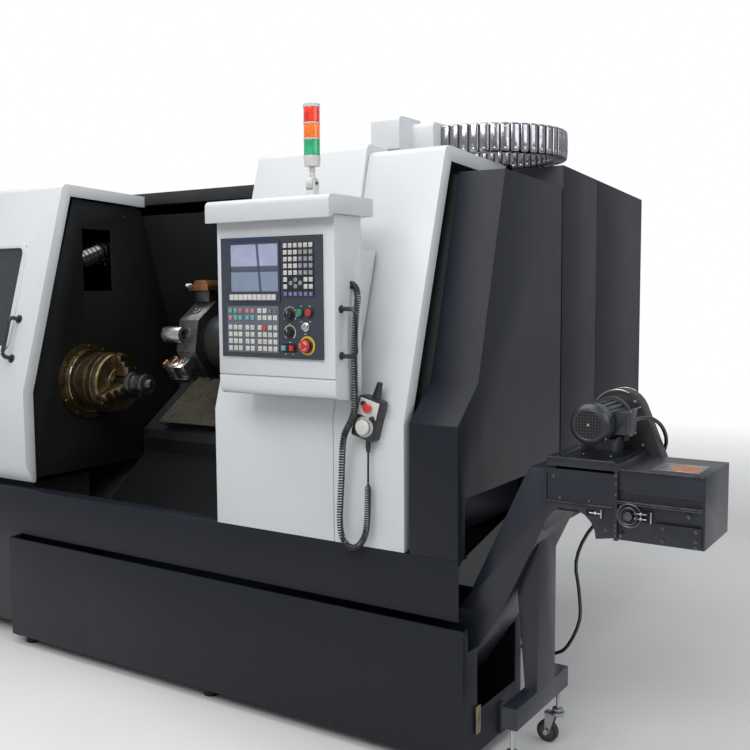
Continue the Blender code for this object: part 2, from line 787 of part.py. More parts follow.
def mitred(points, distance):
    """Offset an open line to its right-hand side, with mitred corners."""
    normals = []
    for (a0, b0), (a1, b1) in zip(points, points[1:]):
        length = math.hypot(a1 - a0, b1 - b0)
        normals.append(((b1 - b0) / length, (a0 - a1) / length))
    moved = []
    for index, (a, b) in enumerate(points):
        first = normals[max(index - 1, 0)]
        second = normals[min(index, len(normals) - 1)]
        share = distance / (1 + first[0] * second[0] + first[1] * second[1])
        moved.append((a + share * (first[0] + second[0]), b + share * (first[1] + second[1])))
    return moved


def sheet_outline(points, thickness):
    """Closed outline of a folded sheet whose outer face follows the points."""
    return list(points) + mitred(points, thickness)[::-1]


def arc(centre, radius, start, end, steps):
    """Points along an arc, angles in degrees."""
    angles = [math.radians(start + (end - start) * step / steps) for step in range(steps + 1)]
    return [(centre[0] + radius * math.cos(angle), centre[1] + radius * math.sin(angle))
            for angle in angles]


def fillet(before, corner, after, radius, steps=4):
    """Points of a round between two straight edges."""
    middle = Vector(corner)
    first = (Vector(before) - middle).normalized()
    second = (Vector(after) - middle).normalized()
    half = first.angle(second) / 2
    centre = middle + (first + second).normalized() * (radius / math.sin(half))
    start = middle + first * (radius / math.tan(half)) - centre
    end = middle + second * (radius / math.tan(half)) - centre
    begin = math.atan2(start.y, start.x)
    sweep = (math.atan2(end.y, end.x) - begin + math.pi) % math.tau - math.pi
    return arc(centre, start.length, math.degrees(begin), math.degrees(begin + sweep), steps)


def rounded(outline, radius, steps=3):
    """Round every corner of a closed outline."""
    points = []
    for index, corner in enumerate(outline):
        points += fillet(outline[index - 1], corner, outline[(index + 1) % len(outline)],
                         radius, steps)
    return points


def rectangle(a_low, a_high, b_low, b_high):
    """Corners of a rectangle."""
    return [(a_low, b_low), (a_high, b_low), (a_high, b_high), (a_low, b_high)]


def folded_shell(name, corners, lows, highs, depth, round_at):
    """A sheet tray: skin along the corners, with flanges turned in on all four sides.

    lows and highs give the skin's two side edges at each corner; the corner numbered round_at
    is rounded.
    """
    inner = mitred(corners, depth)
    inner[0] = (inner[1][0], corners[0][1])
    skin = []
    for index, corner in enumerate(corners):
        if index == round_at:
            arc_points = fillet(corners[index - 1], corner, corners[index + 1], HOOD_RADIUS)
            skin += [(point, index) for point in arc_points]
        else:
            skin.append((corner, index))
    work = bmesh.new()
    inner_low = [work.verts.new((lows[i], *point)) for i, point in enumerate(inner)]
    inner_high = [work.verts.new((highs[i], *point)) for i, point in enumerate(inner)]
    low = [work.verts.new((lows[i], *point)) for point, i in skin]
    high = [work.verts.new((highs[i], *point)) for point, i in skin]
    for step in range(len(skin) - 1):
        here, there = skin[step][1], skin[step + 1][1]
        work.faces.new((low[step], high[step], high[step + 1], low[step + 1]))
        low_flange = [low[step], low[step + 1], inner_low[there]]
        high_flange = [high[step + 1], high[step], inner_high[here]]
        if here != there:
            low_flange.append(inner_low[here])
            high_flange.append(inner_high[there])
        work.faces.new(low_flange)
        work.faces.new(high_flange)
    work.faces.new((high[0], low[0], inner_low[0], inner_high[0]))
    work.faces.new((low[-1], high[-1], inner_high[-1], inner_low[-1]))
    mesh = bpy.data.meshes.new(name)
    work.to_mesh(mesh)
    work.free()
    source = bpy.data.objects.new(name + "_skin", mesh)
    bpy.context.scene.collection.objects.link(source)
    solidify = source.modifiers.new("Sheet", "SOLIDIFY")
    solidify.thickness = SHEET
    solidify.offset = -1
    solidify.use_even_offset = True
    return solid_from(source, name, PLAN)


def bed_point(along, out):
    """Place in (Y, Z) of a point in the slanted frame."""
    place = SLANT @ Vector((along, out, 0))
    return place.y, place.z


def bed_x():
    """Low and high X of the bed casting."""
    low = LEFT_X + BED_END_GAP
    return low, low + BED_LENGTH


def bed_casting():
    """Slant bed, open below between its ribs, with guideways, front block and feet."""
    low, high = bed_x()
    ways_foot = bed_point(WAYS_START, -WAYS_DROP)
    ways_top = bed_point(WAYS_START + WAYS_LENGTH, -WAYS_DROP)
    outline = [(BED_FRONT_Y, FOOT_HEIGHT), (BED_FRONT_Y, FOOT_HEIGHT + BED_APRON_HEIGHT),
               (BED_WALL_Y, ways_foot[1] - BED_WALL_HEIGHT), (BED_WALL_Y, ways_foot[1]), ways_top,
               (BED_REAR_Y, ways_top[1] - BED_REAR_DROP), (BED_REAR_Y, FOOT_HEIGHT)]
    bed = prism("bed_casting", outline, low, high)
    block_low = LEFT_X + BLOCK_END_GAP
    block = box("front_block", (block_low, BED_FRONT_Y - BLOCK_DEPTH, FOOT_HEIGHT),
                (block_low + BLOCK_LENGTH, BED_FRONT_Y + OVERRUN,
                 BASE_TOP - SHEET - CLEAR))
    rails = []
    rail_high = high - RAIL_END_GAP
    for index, along in enumerate((WAYS_START + RAIL_INSET,
                                   WAYS_START + WAYS_LENGTH - RAIL_INSET - 2 * RAIL_WIDTH)):
        rails.append(box(f"guideway_{index}", (along, -WAYS_DROP - OVERRUN, rail_high - RAIL_LENGTH),
                         (along + RAIL_WIDTH, RAIL_HEIGHT - WAYS_DROP, rail_high), SLANT))
    feet = []
    middle = (low + high) / 2
    for x in (low + FOOT_INSET, middle, high - FOOT_INSET):
        for y in (BED_FRONT_Y + FOOT_INSET, BED_REAR_Y - FOOT_INSET):
            feet.append(cylinder("bed_foot", FOOT_RADIUS, 0, FOOT_HEIGHT + OVERRUN,
                                 Matrix.Translation((x, y, 0))))
    for x in (block_low + FOOT_INSET, block_low + BLOCK_LENGTH - FOOT_INSET):
        feet.append(cylinder("block_foot", FOOT_RADIUS, 0, FOOT_HEIGHT + OVERRUN,
                             Matrix.Translation((x, BED_FRONT_Y - BLOCK_DEPTH + FOOT_INSET, 0))))
    inside = mitred(outline, BED_SKIN)
    inside[0] = (inside[0][0], FOOT_HEIGHT - OVERRUN)
    inside[-1] = (inside[-1][0], FOOT_HEIGHT - OVERRUN)
    bay = (BED_LENGTH - BED_SKIN) / BED_BAYS
    bays = [prism("bed_bay", inside, low + BED_SKIN + bay * index, low + bay * (index + 1))
            for index in range(BED_BAYS)]
    bays.append(box("block_bay", (block_low + BED_SKIN, BED_FRONT_Y - BLOCK_DEPTH + BED_SKIN,
                                  FOOT_HEIGHT - OVERRUN),
                    (block_low + BLOCK_LENGTH - BED_SKIN, BED_FRONT_Y - CLEAR,
                     BASE_TOP - SHEET - BED_SKIN)))
    hole_y = (BED_WALL_Y + BED_REAR_Y) / 2
    recess = cylinder("end_hole", BED_HOLE_RADIUS, high - BED_HOLE_DEPTH, high + OVERRUN,
                      shifted(PROFILE, hole_y, ways_foot[1] - BED_WALL_HEIGHT))
    body = cut(fuse(bed, block, *rails), *bays, recess)
    return finish(fuse(body, *feet), CAST_IRON)


def base_fascia():
    """Folded front band, whose top ledge is the doors' sill."""
    foot = BASE_TOP - BAND_HEIGHT
    line = [(FRONT_Y + BAND_LIP, foot), (FRONT_Y, foot), (FRONT_Y, BASE_TOP),
            (FRONT_Y + BAND_RETURN, BASE_TOP)]
    return finish(prism("base_fascia", sheet_outline(line, SHEET), LEFT_X, COVER_X + SHEET),
                  DARK_PAINT)


def tank_x():
    """Low and high X of the coolant tank."""
    low = LEFT_X + BLOCK_END_GAP + BLOCK_LENGTH + TANK_GAP
    return low, low + TANK_LENGTH


def coolant_tank():
    """Open sheet tank with a notch for the conveyor, feet and an oil gauge."""
    low, high = tank_x()
    front = TANK_FRONT_Y
    back = front + TANK_DEPTH
    tank = box("coolant_tank", (low, front, TANK_FOOT), (high, back, TANK_TOP))
    space = box("coolant_space", (low + TANK_WALL, front + TANK_WALL, TANK_FOOT + TANK_WALL),
                (high - TANK_WALL, back - TANK_WALL, TANK_TOP + OVERRUN))
    notch = box("conveyor_notch", (high - OVERRUN, NOTCH_FRONT_Y, TANK_TOP - NOTCH_HEIGHT),
                (high + OVERRUN, NOTCH_FRONT_Y + NOTCH_WIDTH, TANK_TOP + OVERRUN))
    shoulder = box("shoulder_cut",
                   (high - OVERRUN, NOTCH_FRONT_Y - SHOULDER_WIDTH, TANK_TOP - SHOULDER_DROP),
                   (high + OVERRUN, NOTCH_FRONT_Y + OVERRUN, TANK_TOP + OVERRUN))
    gauge_y = front + GAUGE_REACH
    gauge = prism("oil_gauge", rounded(rectangle(gauge_y - GAUGE_WIDTH / 2,
                                                 gauge_y + GAUGE_WIDTH / 2, TANK_FOOT + TANK_WALL,
                                                 TANK_FOOT + TANK_WALL + GAUGE_HEIGHT),
                                       GAUGE_DEPTH, 2), high - TANK_WALL / 2, high + GAUGE_DEPTH)
    feet = []
    for x in (low + TANK_FOOT_INSET, (low + high) / 2, high - TANK_FOOT_INSET):
        for y in (front + TANK_FOOT_INSET, back - TANK_FOOT_INSET):
            feet.append(cylinder("tank_foot", TANK_FOOT_RADIUS, 0, TANK_FOOT + TANK_WALL / 2,
                                 Matrix.Translation((x, y, 0)), 16))
    return finish(cut(fuse(tank, gauge, *feet), space, notch, shoulder), DARK_PAINT)


def chip_chute():
    """Folded chute from the sill to the bed's wall, with a slot over the conveyor."""
    back = BED_WALL_Y - CLEAR
    line = [(CHUTE_FRONT_Y, CHUTE_LIP_Z), (CHUTE_FOOT_Y, CHUTE_FOOT_Z),
            (CHUTE_BACK_Y, CHUTE_FOOT_Z), (back, CHUTE_BACK_Z), (back, CHUTE_TOP_Z)]
    low = OPENING_LOW_X - CHUTE_OVERLAP
    chute = prism("chip_chute", sheet_outline(line[::-1], SHEET), low, low + CHUTE_LENGTH)
    slot_low = low + (CHUTE_LENGTH - SLOT_LENGTH) / 2
    slot_front = CHUTE_FOOT_Y + SLOT_SETBACK
    slot = box("chip_slot", (slot_low, slot_front, CHUTE_FOOT_Z - OVERRUN),
               (slot_low + SLOT_LENGTH, slot_front + SLOT_WIDTH, CHUTE_FOOT_Z + OVERRUN))
    return finish(cut(chute, slot), DARK_PAINT)


def hood_line(setback):
    """The hood's front and roof line, moved inwards by the setback."""
    line = [(FRONT_Y, BASE_TOP + CLEAR), (FRONT_Y, CREASE_Z), ROOF_FRONT, ROOF_BACK]
    return mitred(line, setback)


def hood_band(name, setback, low, high):
    """A fixed skin behind a door: the hood's line, set back, as folded sheet."""
    return prism(name, sheet_outline(hood_line(setback), SHEET), low, high)


def left_guard():
    """Fixed shell behind the main door, with the machine's left end plate."""
    guard = hood_band("left_guard", GUARD_DEPTH, LEFT_X + SHEET / 2,
                      OPENING_LOW_X - LEFT_WALL_INSET - CLEAR)
    plate = [*hood_line(0), (TOP_RAIL_BACK_Y, ROOF_BACK[1]), (TOP_RAIL_BACK_Y, BASE_TOP + CLEAR)]
    return finish(fuse(guard, prism("left_end", plate, LEFT_X, LEFT_X + SHEET)), DARK_PAINT)


def wall_outline(setback):
    """Outline of an inner wall: inside the hood, in front of the back wall, over the bed."""
    front, crease, roof_front, roof_back = hood_line(setback)
    over = RAIL_HEIGHT - WAYS_DROP + WALL_BED_GAP
    foot = bed_point(WAYS_START, over)
    back = bed_point(WAYS_START + WAYS_LENGTH / 2, over)
    return [(front[0], BASE_TOP + WALL_FOOT_RISE), crease, roof_front,
            (BACK_WALL_TOP[0], roof_back[1]), BACK_WALL_TOP, BACK_WALL_FOOT, back, foot,
            (foot[0], BASE_TOP + WALL_FOOT_RISE)]


def left_inner_wall():
    """Dark wall round the chuck, with the spindle hole and the window above it."""
    low = OPENING_LOW_X - LEFT_WALL_INSET
    wall = prism("left_inner_wall", wall_outline(GUARD_DEPTH), low, low + SHEET)
    hole = cylinder("spindle_hole", RING_RADIUS + CLEAR, low - OVERRUN, low + OVERRUN, SPINDLE, 48)
    window = box("wall_window", (low - OVERRUN, WINDOW_Y, WINDOW_Z),
                 (low + OVERRUN, WINDOW_Y + WINDOW_WIDTH, WINDOW_Z + WINDOW_HEIGHT))
    return finish(cut(wall, hole, window), DARK_PAINT)


def back_wall():
    """Slanted sheet behind the turret, folded forward at its foot and back at its top."""
    low = OPENING_LOW_X - LEFT_WALL_INSET + SHEET + CLEAR
    line = [(BACK_WALL_TOP[0] + BACK_WALL_FOLD, BACK_WALL_TOP[1]), BACK_WALL_TOP, BACK_WALL_FOOT,
            (BACK_WALL_FOOT[0] + BACK_WALL_FOLD, BACK_WALL_FOOT[1])]
    return finish(prism("back_wall", sheet_outline(line, -SHEET), low, low + BACK_WALL_LENGTH),
                  DARK_PAINT)


def top_rail():
    """Rear roof rail: a box beam with a bracket to the cabinet."""
    top = ROOF_BACK[1] + TOP_RAIL_HEIGHT - TOP_RAIL_DROP
    foot = ROOF_BACK[1] - TOP_RAIL_DROP
    rail = prism("top_rail", rectangle(TOP_RAIL_FRONT_Y, TOP_RAIL_BACK_Y, foot, top),
                 LEFT_X + SHEET + CLEAR, OPERATOR_X)
    hollow = prism("rail_hollow",
                   rectangle(TOP_RAIL_FRONT_Y + SHEET, TOP_RAIL_BACK_Y - SHEET,
                             foot + SHEET, top - SHEET), LEFT_X, OPERATOR_X + OVERRUN)
    bracket = box("rail_bracket",
                  (OPERATOR_X - RAIL_BRACKET_LENGTH, TOP_RAIL_BACK_Y - SHEET / 2, foot),
                  (OPERATOR_X, WING_FRONT_Y - CLEAR, foot + SHEET))
    return finish(fuse(cut(rail, hollow), bracket), BLACK_PAINT)


def right_inner_guard():
    """Dark shell behind the operator door, with the work space's right wall."""
    high = SIDE_COVER_X - CLEAR
    guard = hood_band("right_inner_guard", RIGHT_GUARD_DEPTH, high - RIGHT_GUARD_LENGTH, high)
    wall_x = high - RIGHT_WALL_INSET
    wall = prism("right_wall", wall_outline(RIGHT_GUARD_DEPTH + SHEET / 2), wall_x, wall_x + SHEET)
    wing_room = box("wing_room", (wall_x - OVERRUN, WING_FRONT_Y - CLEAR, BASE_TOP),
                    (COVER_X, REAR_COVER_BACK_Y, CABINET_TOP))
    return finish(fuse(guard, cut(wall, wing_room)), DARK_PAINT)


def side_line():
    """The right side cover's front and roof line."""
    crease = (FRONT_Y, BASE_TOP + SIDE_CREASE_RISE)
    shoulder = (FRONT_Y + SIDE_BREAK_SETBACK, crease[1] + SIDE_BREAK_RISE)
    roof_front = (shoulder[0] + SIDE_ROOF_SETBACK, shoulder[1] + SIDE_ROOF_RISE)
    roof_back = (roof_front[0] + SIDE_ROOF_DEPTH, roof_front[1] - SIDE_ROOF_FALL)
    return [(FRONT_Y, BASE_TOP + CLEAR), crease, shoulder, roof_front, roof_back]


def right_side_cover():
    """Dark corner column at the right end, open below and behind, with a front pillar."""
    line = side_line()
    back = line[-1][0]
    foot = BASE_TOP + CLEAR
    cover = prism("right_side_cover", line + [(back, foot)], SIDE_COVER_X, COVER_X)
    inside = mitred(line, SHEET)
    inside[0] = (inside[0][0], foot - OVERRUN)
    inside[-1] = (back + OVERRUN, inside[-1][1])
    hollow = prism("cover_hollow", inside + [(back + OVERRUN, foot - OVERRUN)],
                   SIDE_COVER_X + SHEET, COVER_X - SHEET)
    passage = box("side_passage", (COVER_X - OVERRUN, FRONT_Y + PILLAR_WIDTH, foot - OVERRUN),
                  (COVER_X + OVERRUN, back + OVERRUN, BASE_TOP + SIDE_FOOT_RISE))
    return finish(cut(cover, hollow, passage), DARK_PAINT)


def rear_cover():
    """Roof and back sheet over the bed, with its left end plate."""
    front = TOP_RAIL_BACK_Y + CLEAR
    line = [(front, REAR_COVER_TOP), (REAR_COVER_BACK_Y, REAR_COVER_TOP - REAR_COVER_FALL),
            (REAR_COVER_BACK_Y, REAR_COVER_FOOT)]
    cover = prism("rear_cover", sheet_outline(line, SHEET), LEFT_X + SHEET / 2, WING_X - CLEAR)
    end = prism("rear_left_end", line + [(front, REAR_COVER_FOOT)], LEFT_X, LEFT_X + SHEET)
    return finish(fuse(cover, end, hose_anchor()), DARK_PAINT)


def cabinet_top(y):
    """Height of the electrical cabinet's sloping top at a depth."""
    share = (y - WING_FRONT_Y) / (CABINET_BACK_Y - WING_FRONT_Y)
    return CABINET_TOP - CABINET_TOP_FALL * share


def cabinet_block(name, front, low, high, inset=0):
    """Cabinet's body from a front plane back, set in by a wall on every side."""
    y_low, y_high = front + inset, CABINET_BACK_Y - inset
    foot = REAR_COVER_FOOT + inset
    outline = [(y_low, foot), (y_low, cabinet_top(y_low) - inset),
               (y_high, cabinet_top(y_high) - inset), (y_high, foot)]
    return prism(name, outline, low + inset, high - inset)


def cabinet_notch(name, main_front, wall):
    """The room left of the wing and in front of the main part, for the bed and covers."""
    return box(name, (CABINET_X - OVERRUN, WING_FRONT_Y - OVERRUN, REAR_COVER_FOOT - OVERRUN),
               (WING_X + wall, main_front + wall, CABINET_TOP + OVERRUN))


def electrical_cabinet():
    """L-shaped sheet cabinet on the rear right, with its back opening and hinge halves."""
    main_front = REAR_COVER_BACK_Y + CLEAR
    cabinet = cut(cabinet_block("electrical_cabinet", WING_FRONT_Y, CABINET_X, COVER_X),
                  cabinet_notch("bed_notch", main_front, 0))
    hollow = cut(cabinet_block("cabinet_hollow", WING_FRONT_Y, CABINET_X, COVER_X, CABINET_WALL),
                 cabinet_notch("hollow_notch", main_front, CABINET_WALL))
    top = CABINET_TOP - CABINET_TOP_FALL
    opening = box("cabinet_opening",
                  (CABINET_X + CABINET_FRAME, CABINET_BACK_Y - OVERRUN,
                   REAR_COVER_FOOT + CABINET_FRAME),
                  (COVER_X - CABINET_FRAME, CABINET_BACK_Y + OVERRUN, top - CABINET_FRAME))
    seam = box("cabinet_seam", (COVER_X - SEAM_DEPTH, CABINET_SEAM_Y, REAR_COVER_FOOT - OVERRUN),
               (COVER_X + OVERRUN, CABINET_SEAM_Y + SEAM_WIDTH, CABINET_TOP + OVERRUN))
    knuckles = []
    for z in cabinet_hinge_heights():
        frame = Matrix.Translation((CABINET_HINGE_X, CABINET_HINGE_Y, z))
        knuckles.append(cylinder("cabinet_knuckle", CABINET_HINGE_RADIUS, 0,
                                 CABINET_HINGE_HEIGHT / 2, frame, 12))
        knuckles.append(box("cabinet_leaf",
                            (CABINET_HINGE_X, CABINET_BACK_Y - CABINET_WALL / 2,
                             z + CABINET_WALL),
                            (CABINET_HINGE_X + CABINET_WALL, CABINET_HINGE_Y,
                             z + CABINET_HINGE_HEIGHT / 2 - CABINET_WALL)))
    return finish(fuse(cut(cabinet, hollow, opening, seam), *knuckles), DARK_PAINT)


def cabinet_hinge_heights():
    """Heights of the cabinet door's two hinges."""
    height = CABINET_TOP - CABINET_TOP_FALL - REAR_COVER_FOOT
    return [REAR_COVER_FOOT + share * height for share in CABINET_HINGE_SHARES]


def cabinet_door(body):
    """Rear door of the cabinet with louvres, a latch and its hinge halves."""
    low = CABINET_X + CABINET_DOOR_MARGIN
    high = COVER_X - CABINET_DOOR_MARGIN
    front = CABINET_BACK_Y + CLEAR
    foot = REAR_COVER_FOOT + CABINET_DOOR_MARGIN
    top = CABINET_TOP - CABINET_TOP_FALL - CABINET_DOOR_MARGIN
    back = front + CABINET_DOOR_DEPTH
    door = box("cabinet_door", (low, front, foot), (high, back, top))
    latch_z = (foot + top) / 2
    latch = prism("cabinet_latch",
                  rounded(rectangle(low + CABINET_LATCH_WIDTH, low + 2 * CABINET_LATCH_WIDTH,
                                    latch_z, latch_z + CABINET_LATCH_HEIGHT),
                          CABINET_LATCH_WIDTH / 3), back - SHEET / 2,
                  back + CABINET_LATCH_PROUD, FRONTAL)
    louvres = []
    middle = (low + high) / 2
    for index in range(LOUVRE_COUNT):
        z = foot + LOUVRE_RISE + index * LOUVRE_PITCH
        louvres.append(box("louvre", (middle - LOUVRE_LENGTH / 2, front - OVERRUN, z),
                           (middle + LOUVRE_LENGTH / 2, back + OVERRUN, z + LOUVRE_WIDTH)))
    knuckles = []
    for z in cabinet_hinge_heights():
        foot_z = z + CABINET_HINGE_HEIGHT / 2 + CLEAR
        frame = Matrix.Translation((CABINET_HINGE_X, CABINET_HINGE_Y, foot_z))
        knuckles.append(cylinder("door_knuckle", CABINET_HINGE_RADIUS, 0,
                                 CABINET_HINGE_HEIGHT / 2, frame, 12))
        knuckles.append(box("door_leaf", (high - CABINET_HINGE_RADIUS,
                                          CABINET_HINGE_Y - CABINET_HINGE_RADIUS / 2, foot_z),
                            (CABINET_HINGE_X, CABINET_HINGE_Y + CABINET_HINGE_RADIUS / 2,
                             foot_z + CABINET_HINGE_HEIGHT / 2)))
    tray = box("door_tray", (low + SHEET, front - OVERRUN, foot + SHEET),
               (high - SHEET, back - SHEET, top - SHEET))
    carry(body, finish(cut(fuse(cut(door, tray), latch, *knuckles), *louvres), DARK_PAINT))


def headstock():
    """Spindle housing: a barrel on a wide foot that stands on the slanted ways."""
    low = HEADSTOCK_X - HEADSTOCK_LENGTH
    foot = -WAYS_DROP + CLEAR
    start = WAYS_START + HEADSTOCK_FOOT_START
    end = start + HEADSTOCK_FOOT_LENGTH
    waist = HEADSTOCK_RADIUS / 2
    outline = [(start, foot), (end, foot), (end, foot + HEADSTOCK_FLANGE),
               (end - HEADSTOCK_RADIUS, foot + 2 * HEADSTOCK_FLANGE),
               (HEADSTOCK_RADIUS, waist), (0, waist), (-waist, 0), (0, -waist),
               (start, foot + HEADSTOCK_FLANGE)]
    barrel = cylinder("headstock_barrel", HEADSTOCK_RADIUS, low + HEADSTOCK_FLANGE, HEADSTOCK_X,
                      SPINDLE, 32)
    bore = cylinder("headstock_bore", SPINDLE_RADIUS + CLEAR, low - OVERRUN,
                    HEADSTOCK_X + OVERRUN, SPINDLE)
    chamber = cylinder("bearing_chamber", CHAMBER_RADIUS, low + CHAMBER_END,
                       HEADSTOCK_X - CHAMBER_END, SPINDLE, 32)
    body = prism("headstock", outline, low, HEADSTOCK_X, SLANT)
    return finish(cut(fuse(body, barrel), bore, chamber), CAST_IRON)


def bolt_circle(name, count, circle, radius, low, high, frame):
    """Hexagonal bolt heads on a circle about the frame's c axis."""
    heads = []
    for index in range(count):
        spoke = turned_frame(frame, math.tau * index / count)
        heads.append(cylinder(name, radius, low, high, shifted(spoke, circle), 6))
    return heads


def nose_ring():
    """Bolted ring on the headstock's front, which fills the hole in the left wall."""
    low = HEADSTOCK_X + CLEAR
    bore = NOSE_RADIUS + RING_BORE_GAP
    profile = [(bore, low + RING_LENGTH), (RING_STEP_RADIUS, low + RING_LENGTH),
               (RING_STEP_RADIUS, low + RING_FLANGE), (RING_RADIUS, low + RING_FLANGE),
               (RING_RADIUS, low), (bore, low)]
    ring = turned("nose_ring", profile, SPINDLE, 48)
    heads = bolt_circle("ring_bolt", RING_BOLTS, (RING_RADIUS + RING_STEP_RADIUS) / 2,
                        RING_BOLT_RADIUS, low + RING_FLANGE - RING_BOLT_HEIGHT,
                        low + RING_FLANGE + RING_BOLT_HEIGHT, SPINDLE)
    return finish(fuse(ring, *heads), OILY_STEEL)


def spindle_shaft():
    """Hollow spindle with its nose flange."""
    tail = HEADSTOCK_X - HEADSTOCK_LENGTH - SPINDLE_TAIL
    nose = HEADSTOCK_X + CLEAR
    profile = [(SPINDLE_BORE, tail), (SPINDLE_RADIUS, tail), (SPINDLE_RADIUS, nose),
               (NOSE_RADIUS, nose), (NOSE_RADIUS, nose + NOSE_LENGTH),
               (SPINDLE_BORE, nose + NOSE_LENGTH)]
    return finish(turned("spindle_shaft", profile, SPINDLE), STEEL)


def jaw_frame(index):
    """Frame of one jaw: a radial, b along the spindle, c across the jaw."""
    angle = math.radians(90) + math.tau * index / JAW_COUNT
    return turned_frame(SPINDLE, angle) @ FRONTAL


def chuck_body():
    """Chuck with a bore, a groove round its rim and three jaw slots."""
    groove = CHUCK_X + CHUCK_LENGTH * CHUCK_GROOVE_SHARE
    rim = CHUCK_RADIUS - CHUCK_CHAMFER
    profile = [(SPINDLE_BORE, CHUCK_X), (CHUCK_RADIUS, CHUCK_X), (CHUCK_RADIUS, groove),
               (rim, groove), (rim, groove + CHUCK_GROOVE), (CHUCK_RADIUS, groove + CHUCK_GROOVE),
               (CHUCK_RADIUS, CHUCK_FACE_X - CHUCK_CHAMFER), (rim, CHUCK_FACE_X),
               (SPINDLE_BORE, CHUCK_FACE_X)]
    body = turned("chuck_body", profile, SPINDLE, 48)
    slots = [box("jaw_slot", (0, CHUCK_FACE_X - JAW_SLOT_DEPTH, -JAW_SLOT_WIDTH / 2),
                 (CHUCK_RADIUS + OVERRUN, CHUCK_FACE_X + OVERRUN, JAW_SLOT_WIDTH / 2),
                 jaw_frame(index)) for index in range(JAW_COUNT)]
    return finish(cut(body, *slots), OILY_STEEL)


def jaw(index):
    """Stepped jaw whose base runs in the chuck's slot and whose face grips the arbor."""
    grip = ARBOR_RADIUS + CLEAR
    reach = CHUCK_RADIUS - grip
    base = CHUCK_FACE_X - JAW_SLOT_DEPTH + CLEAR
    outline = [(grip, base), (grip + reach * JAW_STEP_SHARES[0][0], base)]
    outline += [(grip + reach * radial, CHUCK_FACE_X + JAW_HEIGHT * axial)
                for radial, axial in JAW_STEP_SHARES]
    outline.append((grip, JAW_FACE_X))
    half = JAW_SLOT_WIDTH / 2 - CLEAR
    return finish(prism(f"jaw_{index + 1}", outline, -half, half, jaw_frame(index)), STEEL)


def arbor():
    """Black stepped arbor gripped by the jaws."""
    shoulder = JAW_FACE_X + CLEAR
    tail = CHUCK_FACE_X - ARBOR_TAIL
    profile = [(0, tail), (ARBOR_RADIUS, tail), (ARBOR_RADIUS, shoulder)]
    profile += [(ARBOR_FLANGE_RADIUS * radial, shoulder + ARBOR_LENGTH * axial)
                for radial, axial in ARBOR_SHARES]
    profile.append((0, shoulder + ARBOR_LENGTH))
    return finish(turned("arbor", profile, SPINDLE), DARK_STEEL)


def z_saddle():
    """Saddle slab on the guideways with its stepped way covers on both sides."""
    low, high = SADDLE_LOW_X, SADDLE_LOW_X + SADDLE_LENGTH
    foot = RAIL_HEIGHT - WAYS_DROP + CLEAR
    start = WAYS_START + SADDLE_MARGIN
    end = WAYS_START + WAYS_LENGTH - 2 * SADDLE_MARGIN - RAIL_INSET
    saddle = box("z_saddle", (start, foot, low), (end, foot + SADDLE_HEIGHT, high), SLANT)
    panels = []
    for side, length in ((-1, COVER_LEFT_LENGTH), (1, COVER_RIGHT_LENGTH)):
        edge = low if side < 0 else high
        for step in range(COVER_PANELS):
            near = edge + side * (length * step / COVER_PANELS - COVER_LAP)
            far = edge + side * length * (step + 1) / COVER_PANELS
            base = -COVER_DROP + COVER_STEP * (COVER_PANELS - 1 - step) / 2
            panels.append(box("way_cover", (COVER_START, base, min(near, far)),
                              (COVER_START + COVER_WIDTH, base + COVER_SHEET, max(near, far)),
                              SLANT))
    return finish(fuse(saddle, *panels), DARK_STEEL)


def slide_foot():
    """Height of the cross slide's underside in the slanted frame."""
    return RAIL_HEIGHT - WAYS_DROP + SADDLE_HEIGHT + 2 * CLEAR


def cross_slide():
    """Cross slide with the turret's housing and its round neck behind the disc."""
    foot = slide_foot()
    top = foot + SLIDE_HEIGHT
    slide = box("cross_slide", (SLIDE_START, foot, SADDLE_LOW_X + SLIDE_INSET),
                (SLIDE_START + SLIDE_LENGTH, top, SADDLE_LOW_X + SADDLE_LENGTH - SLIDE_INSET),
                SLANT)
    end = HOUSING_START + HOUSING_LENGTH
    outline = [(HOUSING_START, top - SLIDE_HEIGHT / 2), (end, top - SLIDE_HEIGHT / 2),
               (end, HOUSING_TOP - HOUSING_CHAMFER), (end - HOUSING_CHAMFER, HOUSING_TOP),
               (HOUSING_START + HOUSING_CHAMFER, HOUSING_TOP),
               (HOUSING_START, HOUSING_TOP - HOUSING_CHAMFER)]
    housing = prism("turret_housing", outline, SADDLE_LOW_X + SLIDE_INSET / 2, HOUSING_REACH,
                    SLANT)
    neck = cylinder("turret_neck", NECK_RADIUS, TURRET_X + TURRET_WIDTH + CLEAR,
                    SADDLE_LOW_X + SLIDE_INSET, shifted(SLANT, TURRET_ALONG), 32)
    return finish(fuse(slide, housing, neck), CAST_IRON)


def station_frame(station):
    """Frame at the turret's axis: a out to a station, b across it, c along the spindle."""
    return turned_frame(shifted(SLANT, TURRET_ALONG), math.tau * station / TURRET_STATIONS)


